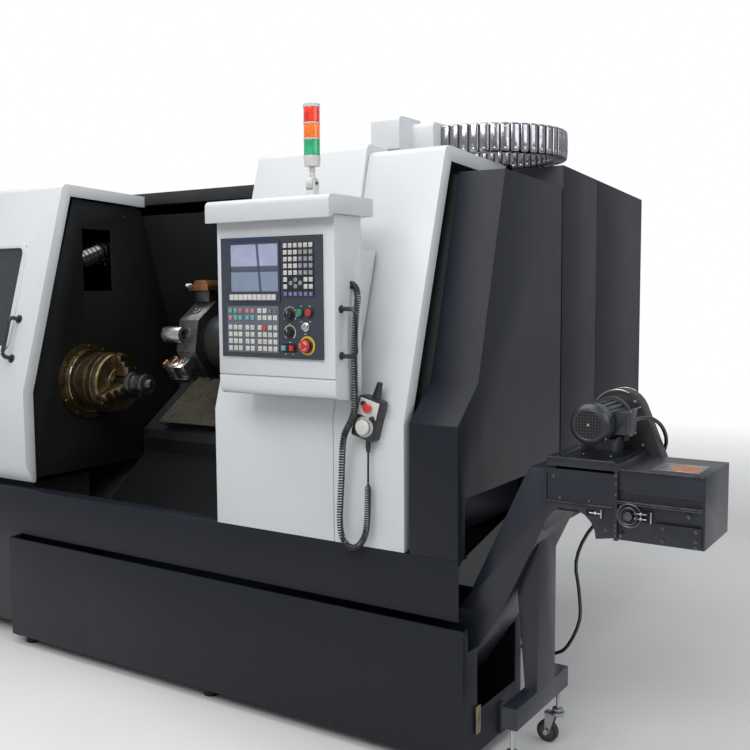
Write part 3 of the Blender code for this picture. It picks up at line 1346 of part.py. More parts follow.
def turret_disc():
    """Eight-sided turret with a hub and a plug in each station that holds no tool."""
    corner = TURRET_RADIUS / math.cos(math.pi / TURRET_STATIONS)
    frame = turned_frame(shifted(SLANT, TURRET_ALONG), math.pi / TURRET_STATIONS)
    rim = corner - TURRET_CHAMFER
    profile = [(0, TURRET_X), (rim, TURRET_X), (corner, TURRET_X + TURRET_CHAMFER),
               (corner, TURRET_X + TURRET_WIDTH), (0, TURRET_X + TURRET_WIDTH)]
    disc = turned("turret_disc", profile, frame, TURRET_STATIONS)
    hub = cylinder("turret_hub", TURRET_HUB_RADIUS, TURRET_X - TURRET_HUB_PROUD,
                   TURRET_X + TURRET_CHAMFER, shifted(SLANT, TURRET_ALONG))
    plugs = []
    for station in range(TURRET_STATIONS):
        if station in (TURRET_STATIONS // 2 - 1, TURRET_STATIONS // 2):
            continue
        middle = TURRET_X + TURRET_WIDTH / 2
        across = station_frame(station) @ Matrix.Translation((0, 0, middle))
        across = across @ Matrix.Rotation(math.radians(90), 4, "Y")
        for radius, proud, sides in ((PLUG_RADIUS, PLUG_PROUD, 20),
                                     (PLUG_HEX_RADIUS, PLUG_HEX_PROUD, 6)):
            plugs.append(cylinder("station_plug", radius, TURRET_RADIUS - TURRET_CHAMFER,
                                  TURRET_RADIUS + proud, across, sides))
    return finish(fuse(disc, hub, *plugs), DARK_STEEL)


def tool_block():
    """Turning tool block on the working station: a slot for the shank and four bolts."""
    frame = station_frame(TURRET_STATIONS // 2)
    low = TURRET_X - TOOL_PROUD
    seat = TURRET_RADIUS + CLEAR
    top = seat + TOOL_REACH
    block = box("tool_block", (seat, -TOOL_WIDTH / 2, low), (top, TOOL_WIDTH / 2,
                                                            low + TOOL_LENGTH), frame)
    middle = low + TOOL_LENGTH / 2
    slot = box("shank_slot", (top - TOOL_SLOT, -TOOL_WIDTH / 2 - OVERRUN, middle - TOOL_SLOT / 2),
               (top + OVERRUN, TOOL_WIDTH / 2 + OVERRUN, middle + TOOL_SLOT / 2), frame)
    bolts = []
    across = frame @ Matrix.Rotation(math.radians(90), 4, "X")
    for a in (seat + TOOL_REACH / 4, seat + TOOL_REACH / 2):
        for c in (low + TOOL_SLOT, low + TOOL_LENGTH - TOOL_SLOT):
            bolts.append(cylinder("block_bolt", TOOL_BOLT_RADIUS,
                                  TOOL_WIDTH / 2 - TOOL_BOLT_HEIGHT,
                                  TOOL_WIDTH / 2 + TOOL_BOLT_HEIGHT,
                                  across @ Matrix.Translation((a, c, 0)), 6))
    return finish(fuse(cut(block, slot), *bolts), STEEL)


def boring_holder():
    """Boring bar holder on the next station: a ring on a neck."""
    frame = station_frame(TURRET_STATIONS // 2 - 1)
    low = TURRET_X - TOOL_PROUD
    seat = TURRET_RADIUS + CLEAR
    neck = box("boring_holder", (seat, -HOLDER_WIDTH / 2, low),
               (seat + HOLDER_NECK, HOLDER_WIDTH / 2, low + HOLDER_LENGTH), frame)
    ring = cylinder("holder_ring", HOLDER_RADIUS, low, low + HOLDER_LENGTH,
                    shifted(frame, seat + HOLDER_NECK))
    bore = cylinder("holder_bore", HOLDER_BORE, low - OVERRUN, low + HOLDER_LENGTH + OVERRUN,
                    shifted(frame, seat + HOLDER_NECK))
    return finish(cut(fuse(neck, ring), bore), STEEL)


def door_frame(line):
    """Frame on a hood line's slanted face: a along X, b up the slant, c out of it."""
    (y0, z0), (y1, z1) = line
    length = math.hypot(y1 - y0, z1 - z0)
    up_y, up_z = (y1 - y0) / length, (z1 - z0) / length
    return Matrix(((1, 0, 0, 0), (0, up_y, -up_z, y0), (0, up_z, up_y, z0), (0, 0, 0, 1)))


def main_line():
    """The main door's front and roof line, with its chamfered foot."""
    front = FRONT_Y + MAIN_SETBACK
    foot = BASE_TOP + MAIN_FOOT_RISE
    return [(FRONT_Y + MAIN_FOOT_SETBACK, foot), (front, foot + MAIN_CHAMFER_RISE),
            (front, CREASE_Z), (ROOF_FRONT[0] - MAIN_ROOF_SETBACK, ROOF_FRONT[1] - MAIN_ROOF_DROP),
            (ROOF_BACK[0], ROOF_BACK[1] - MAIN_BACK_DROP)]


def pane_edges():
    """Rectangle of the main door's window: X, then along the slant."""
    return (MAIN_DOOR_X + PANE_END_GAP, OPENING_LOW_X - PANE_MARGIN,
            PANE_RISE, PANE_RISE + PANE_HEIGHT)


def main_door(body):
    """Sliding main door: a folded sheet shell with a raised window frame and its pane."""
    line = main_line()
    frame = door_frame(line[2:4])
    count = len(line)
    door = folded_shell("main_door", line, [MAIN_DOOR_X] * count, [OPENING_LOW_X] * count,
                        DOOR_DEPTH, 3)
    low, high, foot, top = pane_edges()
    border = prism("pane_border", rounded(rectangle(low - PANE_FRAME, high + PANE_FRAME,
                                                    foot - PANE_FRAME, top + PANE_FRAME),
                                          PANE_RADIUS + PANE_FRAME), -SHEET / 2, PANE_PROUD, frame)
    opening = prism("pane_opening", rounded(rectangle(low, high, foot, top), PANE_RADIUS),
                    -OVERRUN, OVERRUN, frame)
    finish(cut(fuse(door, border), opening), WHITE_PAINT)
    back = -SHEET - CLEAR
    glass = prism("door_glass", rounded(rectangle(low - PANE_LAP, high + PANE_LAP,
                                                  foot - PANE_LAP, top + PANE_LAP),
                                        PANE_RADIUS), back - PANE_THICKNESS, back, frame)
    carry(body, door, finish(glass, GLASS), door_handle(frame))


def handle_bar(name, frame, x, foot, length, standoff, radius):
    """C-shaped bar: two posts that leave the surface and a grip between them."""
    corner = fillet((foot, 0), (foot, standoff), (foot + length, standoff), HANDLE_BEND)
    rise = [(foot, CLEAR)] + corner
    points = rise + [(2 * foot + length - b, c) for b, c in rise[::-1]]
    return tube(name, [frame @ Vector((x, b, c)) for b, c in points], radius)


def door_handle(frame):
    """Black C handle of the main door with its two feet."""
    x = OPENING_LOW_X - HANDLE_INSET
    bar = handle_bar("door_handle", frame, x, HANDLE_RISE, HANDLE_LENGTH, HANDLE_STANDOFF,
                     HANDLE_RADIUS)
    feet = [cylinder("handle_foot", HANDLE_FOOT_RADIUS, CLEAR, HANDLE_FOOT,
                     shifted(frame, x, along), 16)
            for along in (HANDLE_RISE, HANDLE_RISE + HANDLE_LENGTH)]
    return finish(fuse(bar, *feet), BLACK_PLASTIC)


def carrier_line():
    """The box carrier's front and roof line, a little proud of the operator door's."""
    roof_z = ROOF_FRONT[1] + CARRIER_RAISE
    return [(FRONT_Y, BASE_TOP + CLEAR), (FRONT_Y, CREASE_Z),
            (ROOF_FRONT[0] - CARRIER_PROUD, roof_z), (ROOF_BACK[0], roof_z - CARRIER_FALL)]


def operator_shells(body):
    """The operator door and the carrier beside it, split along a seam that tapers upwards."""
    split = OPERATOR_X - SPLIT_INSET
    taper = SPLIT_TAPER * SLANT_RISE / (SLANT_RISE + CARRIER_RAISE)
    door_lows = [split, split, split - taper, split - taper]
    door = folded_shell("operator_door", hood_line(0), door_lows, [OPERATOR_X] * 4,
                        DOOR_DEPTH, 2)
    edge = split - SPLIT_GAP
    carrier_highs = [edge, edge, edge - SPLIT_TAPER, edge - SPLIT_TAPER]
    carrier = folded_shell("panel_carrier", carrier_line(), [OPENING_HIGH_X] * 4, carrier_highs,
                           CARRIER_DEPTH, 2)
    carry(body, finish(door, WHITE_PAINT), finish(carrier, WHITE_PAINT))


BOX_FRONT_Y = -DEPTH / 2 + HOOD_OVERHANG
BOX_BACK_Y = BOX_FRONT_Y + BOX_DEPTH
BOX_HIGH_X = OPERATOR_X - BOX_END_GAP
BOX_LOW_X = BOX_HIGH_X - BOX_WIDTH
BOX_TOP_Z = BASE_TOP + BOX_TOP_RISE
BOX_FOOT_Z = BOX_TOP_Z - BOX_HEIGHT
PANEL_X = BOX_LOW_X + PANEL_LEFT
PANEL_TOP_Z = BOX_TOP_Z - PANEL_DROP
PANEL_Z = PANEL_TOP_Z - PANEL_HEIGHT
PANEL_BACK_Y = BOX_FRONT_Y - CLEAR
PANEL_Y = PANEL_BACK_Y - PANEL_THICKNESS


def carrier_y(z):
    """Depth of the carrier's slanted face at a height."""
    (y0, z0), (y1, z1) = carrier_line()[1:3]
    return y0 + (y1 - y0) * (z - z0) / (z1 - z0)


def control_box():
    """Operator's box with a rounded nose, a seam and the wedge that joins it to the carrier."""
    front, back, foot = BOX_FRONT_Y, BOX_BACK_Y, BOX_FOOT_Z
    nose = fillet((front, BOX_TOP_Z), (front, foot + BOX_NOSE_TILT),
                  (front + BOX_NOSE_SETBACK, foot + BOX_NOSE_TILT), BOX_NOSE_SETBACK, 5)
    seam = foot + BOX_SEAM_RISE
    inner = front + BOX_SEAM_DEPTH
    outline = [(front, BOX_TOP_Z), (back, BOX_TOP_Z), (back, foot)] + nose[::-1]
    outline += [(front, seam), (inner, seam), (inner, seam + BOX_SEAM), (front, seam + BOX_SEAM)]
    case = prism("control_box", outline, BOX_LOW_X, BOX_HIGH_X)
    low_z = foot + BRACKET_RISE
    high_z = low_z + BRACKET_HEIGHT
    gap = 2 * CLEAR
    wedge = prism("box_bracket", [(back - OVERRUN, low_z), (back - OVERRUN, high_z),
                                  (carrier_y(high_z) - gap, high_z),
                                  (carrier_y(low_z) - gap, low_z)],
                  BOX_LOW_X + BRACKET_INSET, BOX_HIGH_X - BRACKET_INSET)
    socket = box("cord_socket", (BOX_HIGH_X - OVERRUN, SOCKET_Y - CORD_RADIUS - CLEAR,
                                 SOCKET_Z - CORD_RADIUS - CLEAR),
                 (BOX_HIGH_X + OVERRUN, SOCKET_Y + CORD_RADIUS + CLEAR,
                  SOCKET_Z + CORD_RADIUS + CLEAR))
    space = box("box_space", (BOX_LOW_X + SHEET, front + BOX_FRONT_WALL, foot + BOX_FRONT_WALL),
                (BOX_HIGH_X - SHEET, back - SHEET, BOX_TOP_Z - SHEET))
    duct = prism("bracket_space", [(back - OVERRUN / 2, low_z + SHEET),
                                   (back - OVERRUN / 2, high_z - SHEET),
                                   (carrier_y(high_z) + OVERRUN, high_z - SHEET),
                                   (carrier_y(low_z) + OVERRUN, low_z + SHEET)],
                 BOX_LOW_X + BRACKET_INSET + SHEET, BOX_HIGH_X - BRACKET_INSET - SHEET)
    return finish(cut(fuse(case, wedge), space, duct, socket, *panel_holes("box_hole")),
                  WHITE_PAINT)


def control_hood():
    """Hood on the box with a rounded brow and the ear of the signal tower's hinge."""
    front = -DEPTH / 2
    back = BOX_BACK_Y + HOOD_BACK
    foot = BOX_TOP_Z + CLEAR
    top = foot + HOOD_HEIGHT
    brow = fillet((front, foot), (front, top), (back, top), HOOD_ROUND, 5)
    lip = BOX_FRONT_Y - HOOD_LIP
    outline = [(back, foot), (back, top)] + brow[::-1] + [
        (front, foot - HOOD_LIP), (front + HOOD_LIP, foot - HOOD_LIP), (lip, foot)]
    hood = prism("control_hood", outline, BOX_LOW_X - HOOD_SIDE, BOX_HIGH_X + HOOD_SIDE)
    ear = box("tower_ear", (TOWER_X - HOOD_EAR / 2, TOWER_Y - HOOD_EAR / 2, top - OVERRUN),
              (TOWER_X + HOOD_EAR / 2, TOWER_Y + HOOD_EAR / 2, top + HOOD_EAR_HEIGHT))
    fork = box("tower_fork", (TOWER_X - HOOD_EAR / 2, TOWER_Y - HOOD_EAR / 2, TOWER_EAR_Z - SHEET),
               (TOWER_X + HOOD_EAR / 2, TOWER_Y + HOOD_EAR / 2, TOWER_HINGE_Z + TOWER_KNUCKLE / 2))
    slot = box("fork_slot", (TOWER_X - TOWER_KNUCKLE_WIDTH / 2 - CLEAR, TOWER_Y - HOOD_EAR,
                             TOWER_EAR_Z),
               (TOWER_X + TOWER_KNUCKLE_WIDTH / 2 + CLEAR, TOWER_Y + HOOD_EAR,
                TOWER_HINGE_Z + TOWER_KNUCKLE))
    return finish(cut(fuse(hood, ear, fork), slot), WHITE_PAINT)


def panel_place(shares):
    """X and Z of a place given in shares of the operator panel."""
    return PANEL_X + PANEL_WIDTH * shares[0], PANEL_Z + PANEL_HEIGHT * shares[1]


def panel_area(shares):
    """Low and high X, low and high Z of an area in shares of the operator panel."""
    low_x, low_z = panel_place((shares[0], shares[2]))
    high_x, high_z = panel_place((shares[1], shares[3]))
    return low_x, high_x, low_z, high_z


def block_field(name, blocks):
    """One mesh of many separate boxes, used as a single Boolean tool."""
    work = bmesh.new()
    for low, high in blocks:
        size = Vector(high) - Vector(low)
        middle = (Vector(high) + Vector(low)) / 2
        cube = bmesh.ops.create_cube(work, size=1)
        bmesh.ops.scale(work, verts=cube["verts"], vec=size)
        bmesh.ops.translate(work, verts=cube["verts"], vec=middle)
    mesh = bpy.data.meshes.new(name)
    work.to_mesh(mesh)
    work.free()
    return link_mesh(name, mesh, PLAN)


def panel_holes(name):
    """Round holes behind the pushed and turned controls, through the panel into the box."""
    holes = []
    for shares in (ESTOP_SHARES, START_SHARES, HOLD_SHARES, OVERRIDE_SHARES):
        x, z = panel_place(shares)
        holes.append(cylinder(name, STEM_RADIUS + CLEAR, PANEL_Y - OVERRUN,
                              PANEL_BACK_Y + STEM_REACH + BUTTON_TRAVEL + CLEAR,
                              shifted(FRONTAL, x, z), 16))
    return holes


def operator_panel():
    """Control panel with a screen bezel, soft keys, fixed switches and stem holes."""
    panel = box("operator_panel", (PANEL_X, PANEL_Y, PANEL_Z),
                (PANEL_X + PANEL_WIDTH, PANEL_BACK_Y, PANEL_TOP_Z))
    low_x, high_x, low_z, high_z = panel_area(BEZEL_SHARES)
    bezel = prism("screen_bezel", rounded(rectangle(low_x, high_x, low_z, high_z), BEZEL_PROUD, 2),
                  PANEL_Y - BEZEL_PROUD, PANEL_Y + BEZEL_PROUD, FRONTAL)
    low_x, high_x, low_z, high_z = panel_area(SCREEN_SHARES)
    recess = box("screen_recess", (low_x - CLEAR, PANEL_Y - OVERRUN, low_z - CLEAR),
                 (high_x + CLEAR, PANEL_Y + CLEAR, high_z + CLEAR))
    low_x, high_x, low_z, high_z = panel_area(SOFT_KEY_SHARES)
    pitch = (high_x - low_x) / SOFT_KEYS
    keys = block_field("soft_keys", [
        ((low_x + pitch * index, PANEL_Y - BEZEL_PROUD - KEY_PROUD, low_z),
         (low_x + pitch * (index + SOFT_KEY_SHARE), PANEL_Y, high_z))
        for index in range(SOFT_KEYS)])
    fixed = []
    for shares, radius, height in ((MODE_SHARES, KNOB_RADIUS, KNOB_HEIGHT),
                                   (POWER_SHARES[0], BUTTON_RADIUS, BUTTON_HEIGHT),
                                   (POWER_SHARES[1], BUTTON_RADIUS, BUTTON_HEIGHT),
                                   (KEYSWITCH_SHARES, BUTTON_RADIUS, BUTTON_HEIGHT * 2 / 3)):
        x, z = panel_place(shares)
        fixed.append(cylinder("fixed_switch", radius, PANEL_Y - height,
                              PANEL_Y + PANEL_THICKNESS / 2, shifted(FRONTAL, x, z), 22))
    x, z = panel_place(ESTOP_SHARES)
    fixed.append(cylinder("estop_collar", ESTOP_COLLAR_RADIUS, PANEL_Y - ESTOP_COLLAR,
                          PANEL_Y + PANEL_THICKNESS / 2, shifted(FRONTAL, x, z)))
    plate = cut(fuse(panel, bezel, keys, *fixed), recess, *panel_holes("panel_hole"))
    return finish(plate, GREY_PLASTIC)


def keypad(name, area_shares, column_shares, row_shares, key, look):
    """Key plate on the panel with a field of square keys."""
    low_x, high_x, low_z, high_z = panel_area(area_shares)
    back = PANEL_Y - CLEAR
    front = back - KEYPAD_THICKNESS
    plate = box(name, (low_x, front, low_z), (high_x, back, high_z))
    keys = []
    for column in column_shares:
        for row in row_shares:
            x = low_x + (high_x - low_x) * column
            z = low_z + (high_z - low_z) * row
            keys.append(((x - key / 2, front - KEY_PROUD, z - key / 2),
                         (x + key / 2, front + KEYPAD_THICKNESS / 2, z + key / 2)))
    return finish(fuse(plate, block_field(name + "_keys", keys)), look)


OUTWARD = Matrix(((1, 0, 0, 0), (0, 0, -1, 0), (0, 1, 0, 0), (0, 0, 0, 1)))
SOCKET_Y = BOX_FRONT_Y + SOCKET_SETBACK
SOCKET_Z = BOX_TOP_Z - SOCKET_DROP
TOWER_X = BOX_HIGH_X - TOWER_INSET
TOWER_Y = -DEPTH / 2 + TOWER_SETBACK
TOWER_EAR_Z = BOX_TOP_Z + CLEAR + HOOD_HEIGHT + HOOD_EAR_HEIGHT
TOWER_HINGE_Z = TOWER_EAR_Z + TOWER_HINGE_RISE


def smooth(route, steps=3):
    """Points of a smooth curve through a route's places, straight in its first and last run."""
    places = [Vector(point) for point in route]
    points = places[:1]
    for before, first, second, after in zip(places, places[1:], places[2:], places[3:]):
        for step in range(steps):
            t = step / steps
            points.append((first * 2 + (second - before) * t
                           + (before * 2 - first * 5 + second * 4 - after) * t ** 2
                           + (first * 3 - before - second * 3 + after) * t ** 3) / 2)
    return points + places[-2:]


def control_frame(shares):
    """Frame on the panel's face at a control: c points at the operator."""
    x, z = panel_place(shares)
    return Matrix.Translation((x, PANEL_Y, z)) @ OUTWARD


def screen():
    """The screen's glass in its bezel."""
    low_x, high_x, low_z, high_z = panel_area(SCREEN_SHARES)
    return finish(box("screen", (low_x, PANEL_Y - SCREEN_THICKNESS, low_z),
                      (high_x, PANEL_Y, high_z)), GLASS)


def stem_profile(top):
    """Lower part of a control's profile: a stem in the panel's hole up to a height."""
    tail = -PANEL_THICKNESS - STEM_REACH
    return [(0, tail), (STEM_RADIUS, tail), (STEM_RADIUS, top)]


def estop_button():
    """Red mushroom on its stem."""
    foot = ESTOP_COLLAR + BUTTON_TRAVEL + CLEAR
    radius, height = ESTOP_RADIUS, ESTOP_HEIGHT - foot
    profile = stem_profile(foot) + [(radius / 2, foot), (radius, foot + height / 3),
                                    (radius, foot + height * 2 / 3),
                                    (radius * 3 / 4, foot + height), (0, foot + height)]
    return finish(turned("estop_button", profile, control_frame(ESTOP_SHARES)), RED_PLASTIC)


def square_button(name, shares, look):
    """Square push button with a round stem."""
    foot = BUTTON_TRAVEL + CLEAR
    half = BUTTON_SIZE / 2
    frame = control_frame(shares)
    cap = prism(name, rounded(rectangle(-half, half, -half, half), half / 4, 2), foot,
                foot + BUTTON_HEIGHT, frame)
    stem = cylinder("button_stem", STEM_RADIUS, -PANEL_THICKNESS - STEM_REACH,
                    foot + BUTTON_HEIGHT / 2, frame, 16)
    return finish(fuse(cap, stem), look)


def override_knob():
    """Rotary override knob with a pointer groove."""
    profile = stem_profile(CLEAR) + [(KNOB_RADIUS, CLEAR), (KNOB_RADIUS, KNOB_HEIGHT / 3),
                                     (KNOB_RADIUS * 4 / 5, KNOB_HEIGHT), (0, KNOB_HEIGHT)]
    frame = control_frame(OVERRIDE_SHARES)
    knob = turned("override_knob", profile, frame)
    groove = box("pointer_groove", (-KNOB_POINTER / 2, 0, KNOB_HEIGHT - KNOB_POINTER_DEPTH),
                 (KNOB_POINTER / 2, KNOB_RADIUS + OVERRUN, KNOB_HEIGHT + OVERRUN), frame)
    return finish(cut(knob, groove), BLACK_PLASTIC)


def side_handle():
    """Grip on the box's right side."""
    frame = shifted(PROFILE, c=BOX_HIGH_X)
    foot = BOX_TOP_Z - SIDE_HANDLE_DROP
    bar = handle_bar("side_handle", frame, BOX_FRONT_Y + SIDE_HANDLE_SETBACK, foot,
                     SIDE_HANDLE_LENGTH, SIDE_HANDLE_STANDOFF, SIDE_HANDLE_RADIUS)
    return finish(bar, BLACK_PLASTIC)


def pendant_frame():
    """Frame of the tilted pendant: its back on the door, c towards the operator."""
    place = Matrix.Translation((OPERATOR_X - PENDANT_INSET, FRONT_Y - CLEAR,
                                BASE_TOP + PENDANT_RISE - CLEAR))
    return turned_frame(place @ OUTWARD, PENDANT_TILT)


def pendant_body():
    """Hand pendant: rounded case, hook, cable gland, mushroom and two small knobs."""
    frame = pendant_frame()
    half_width, half_height = PENDANT_WIDTH / 2, PENDANT_HEIGHT / 2
    case = prism("pendant_body", rounded(rectangle(-half_width, half_width, -half_height,
                                                   half_height), PENDANT_RADIUS),
                 0, PENDANT_THICKNESS, frame)
    hook = prism("pendant_hook", [(-PENDANT_HOOK / 2, half_height - PENDANT_RADIUS),
                                  (PENDANT_HOOK / 2, half_height - PENDANT_RADIUS),
                                  (PENDANT_HOOK / 4, half_height + PENDANT_HOOK_RISE),
                                  (-PENDANT_HOOK / 4, half_height + PENDANT_HOOK_RISE)],
                 0, PENDANT_THICKNESS / 4, frame)
    extras = [cylinder("pendant_mushroom", MUSHROOM_RADIUS, PENDANT_THICKNESS / 2,
                       PENDANT_THICKNESS + MUSHROOM_HEIGHT, shifted(frame, b=MUSHROOM_RISE), 16)]
    for across, along in PENDANT_KNOB_SHARES:
        extras.append(cylinder("pendant_knob", PENDANT_KNOB_RADIUS, PENDANT_THICKNESS / 2,
                               PENDANT_THICKNESS + WHEEL_STEM,
                               shifted(frame, PENDANT_WIDTH * across, PENDANT_HEIGHT * along), 12))
    x, y, top = gland_top()
    gland = cylinder("pendant_gland", GLAND_RADIUS, top - GLAND_LENGTH, top,
                     Matrix.Translation((x, y, 0)), 12)
    return finish(fuse(case, hook, gland, *extras), BLACK_PLASTIC)


def gland_top():
    """Where the pendant's gland enters its case."""
    half = PENDANT_HEIGHT / 2 - PENDANT_RADIUS
    return tuple(pendant_frame() @ Vector((GLAND_SHIFT, -half, PENDANT_THICKNESS / 2)))


def pendant_wheel():
    """Hand wheel of the pendant, dished, on its stem."""
    base = PENDANT_THICKNESS + CLEAR
    rim = base + WHEEL_STEM
    profile = [(0, base), (WHEEL_STEM_RADIUS, base), (WHEEL_STEM_RADIUS, rim),
               (WHEEL_RADIUS, rim), (WHEEL_RADIUS, rim + WHEEL_HEIGHT * 3 / 4),
               (WHEEL_RADIUS * 4 / 5, rim + WHEEL_HEIGHT), (WHEEL_RADIUS / 2, rim + WHEEL_HEIGHT / 2),
               (0, rim + WHEEL_HEIGHT / 2)]
    return finish(turned("pendant_wheel", profile, shifted(pendant_frame(), b=-WHEEL_DROP)),
                  WHITE_PLASTIC)


# Route of the curly cord, from its socket to its lowest bend and up to the pendant's lead
CURLY_ROUTE = (
    (0.8983, -0.822, 1.513), (0.925, -0.822, 1.513), (0.943, -0.828, 1.48), (0.941, -0.836, 1.42),
    (0.936, -0.838, 1.33), (0.934, -0.836, 1.24), (0.932, -0.833, 1.16), (0.920, -0.828, 1.10),
    (0.882, -0.820, 1.04), (0.866, -0.810, 0.98), (0.857, -0.802, 0.90), (0.850, -0.800, 0.82),
    (0.847, -0.800, 0.76), (0.851, -0.800, 0.715), (0.866, -0.800, 0.684), (0.888, -0.800, 0.671),
    (0.911, -0.799, 0.675), (0.932, -0.798, 0.696), (0.946, -0.797, 0.730), (0.951, -0.795, 0.78),
    (0.951, -0.792, 0.83), (0.950, -0.788, 0.885))

# Route of the conveyor motor's cable, from its terminal box to the bed's end
CABLE_ROUTE = (
    (1.7165, -0.5147, 1.106), (1.7165, -0.495, 1.106), (1.726, -0.455, 1.108),
    (1.742, -0.41, 1.10), (1.757, -0.365, 1.07), (1.760, -0.332, 1.02), (1.735, -0.318, 0.96),
    (1.690, -0.308, 0.90), (1.590, -0.300, 0.80), (1.497, -0.300, 0.69),
    (1.458, -0.300, 0.587), (1.469, -0.300, 0.493), (1.473, -0.300, 0.391), (1.433, -0.298, 0.296),
    (1.386, -0.290, 0.255), (1.300, -0.270, 0.236), (1.180, -0.235, 0.245), (1.060, -0.200, 0.270),
    (0.970, -0.182, 0.288), (0.9503, -0.182, 0.288))


def cord(name, points, radius, look):
    """A plain cord: a bevelled curve along its points, kept as a curve."""
    data = bpy.data.curves.new(name, "CURVE")
    data.dimensions = "3D"
    data.bevel_depth = radius
    data.bevel_resolution = 2
    data.render_resolution_u = 0
    data.use_fill_caps = True
    spline = data.splines.new("POLY")
    spline.points.add(len(points) - 1)
    for spline_point, point in zip(spline.points, points):
        spline_point.co = (*point, 1)
    made = bpy.data.objects.new(name, data)
    PARTS.objects.link(made)
    return finish(made, look)


def pendant_lead():
    """Straight lead between the curly cord's end and the pendant's gland."""
    x, y, top = gland_top()
    start = Vector(CURLY_ROUTE[-1]) + Vector((0, 0, CLEAR))
    return cord("pendant_lead", [start, (x, y, top - GLAND_LENGTH - CLEAR)], LEAD_RADIUS,
                BLACK_PLASTIC)


def signal_tower():
    """Signal tower: hinge knuckle, pole, base, three lenses and a cap."""
    knuckle_frame = Matrix.Translation((TOWER_X, TOWER_Y, TOWER_HINGE_Z)) @ FRONTAL
    across = Matrix.Translation((TOWER_X, TOWER_Y, TOWER_HINGE_Z)) @ PROFILE
    knuckle = cylinder("tower_knuckle", TOWER_KNUCKLE, -TOWER_KNUCKLE_WIDTH / 2,
                       TOWER_KNUCKLE_WIDTH / 2, across)
    neck = TOWER_RADIUS - TOWER_GROOVE
    base = TOWER_POLE
    profile = [(0, 0), (TOWER_POLE_RADIUS, 0), (TOWER_POLE_RADIUS, base), (neck, base)]
    level = base
    for share in TOWER_STACK_SHARES:
        edge = base + TOWER_STACK * share
        profile += [(TOWER_RADIUS, level + TOWER_GROOVE), (TOWER_RADIUS, edge - TOWER_GROOVE),
                    (neck, edge)]
        level = edge
    profile += [(neck, base + TOWER_STACK), (0, base + TOWER_STACK)]
    upright = Matrix.Translation(knuckle_frame.translation)
    return finish(fuse(turned("signal_tower", profile, upright), knuckle), WHITE_PLASTIC)


def cable_duct():
    """Two joined boxes on the carrier's roof, which the hose runs into."""
    line = carrier_line()[2:4]
    roof = [(y, z + 2 * CLEAR) for y, z in line]
    slope = (roof[1][1] - roof[0][1]) / (roof[1][0] - roof[0][0])
    boxes = []
    for name, x_inset, width, setback, depth, rise in (
            ("cable_duct", DUCT_X_INSET, DUCT_WIDTH, DUCT_SETBACK, DUCT_DEPTH, DUCT_TOP_RISE),
            ("duct_port", PORT_X_INSET, PORT_WIDTH, PORT_SETBACK, PORT_DEPTH, PORT_TOP_RISE)):
        low_y = FRONT_Y + setback
        high_y = low_y + depth
        top = ROOF_FRONT[1] + rise
        low_z, high_z = (roof[0][1] + slope * (y - roof[0][0]) for y in (low_y, high_y))
        crown = fillet((low_y, low_z), (low_y, top), (high_y, top), DUCT_ROUND)
        outline = [(low_y, low_z)] + crown + [(high_y, top), (high_y, high_z)]
        low_x = OPERATOR_X - x_inset
        boxes.append(prism(name, outline, low_x, low_x + width))
    return finish(fuse(*boxes), WHITE_PAINT)


def cable_hose():
    """Ribbed steel hose: a flat U loop from the duct to its anchor on the rear cover."""
    start_x = OPERATOR_X - PORT_X_INSET + PORT_WIDTH + CLEAR
    near_y = FRONT_Y + PORT_SETBACK + PORT_DEPTH / 2
    middle = Vector((start_x + HOSE_STRAIGHT, near_y + HOSE_RADIUS))
    height = ROOF_FRONT[1] + HOSE_RISE
    end_x = HOSE_ANCHOR_X + ANCHOR_LENGTH + CLEAR
    length = HOSE_STRAIGHT + math.pi * HOSE_RADIUS + middle.x - end_x
    ribs = round(length / HOSE_PITCH)
    points, shares = [], []
    for index in range(4 * ribs + 1):
        along = length * index / (4 * ribs)
        swing = (along - HOSE_STRAIGHT) / HOSE_RADIUS
        if swing < 0:
            place = (start_x + along, near_y)
        elif swing < math.pi:
            place = (middle.x + HOSE_RADIUS * math.sin(swing),
                     middle.y - HOSE_RADIUS * math.cos(swing))
        else:
            place = (middle.x - (swing - math.pi) * HOSE_RADIUS, middle.y + HOSE_RADIUS)
        points.append((*place, height))
        shares.append(1 if index % 4 in (1, 2) else HOSE_NECK_SHARE)
    half_width, half_height = HOSE_WIDTH / 2, HOSE_HEIGHT / 2
    data = bpy.data.curves.new("hose_section", "CURVE")
    spline = data.splines.new("POLY")
    section = rounded(rectangle(-half_width, half_width, -half_height, half_height),
                      HOSE_ROUND, 1)
    spline.points.add(len(section) - 1)
    for point, (a, b) in zip(spline.points, section):
        point.co = (a, b, 0, 1)
    spline.use_cyclic_u = True
    guide = bpy.data.objects.new("hose_section", data)
    CUTTERS.objects.link(guide)
    guide.hide_render = True
    return finish(tube("cable_hose", points, 0, shares=shares, section=guide), STEEL)


def hose_anchor():
    """Block on the rear cover's roof that holds the hose's fixed end."""
    near_y = FRONT_Y + PORT_SETBACK + PORT_DEPTH / 2 + 2 * HOSE_RADIUS
    height = ROOF_FRONT[1] + HOSE_RISE
    return box("hose_anchor", (HOSE_ANCHOR_X, near_y - ANCHOR_WIDTH / 2,
                               REAR_COVER_TOP - REAR_COVER_FALL),
               (HOSE_ANCHOR_X + ANCHOR_LENGTH, near_y + ANCHOR_WIDTH / 2, height + HOSE_HEIGHT / 2))


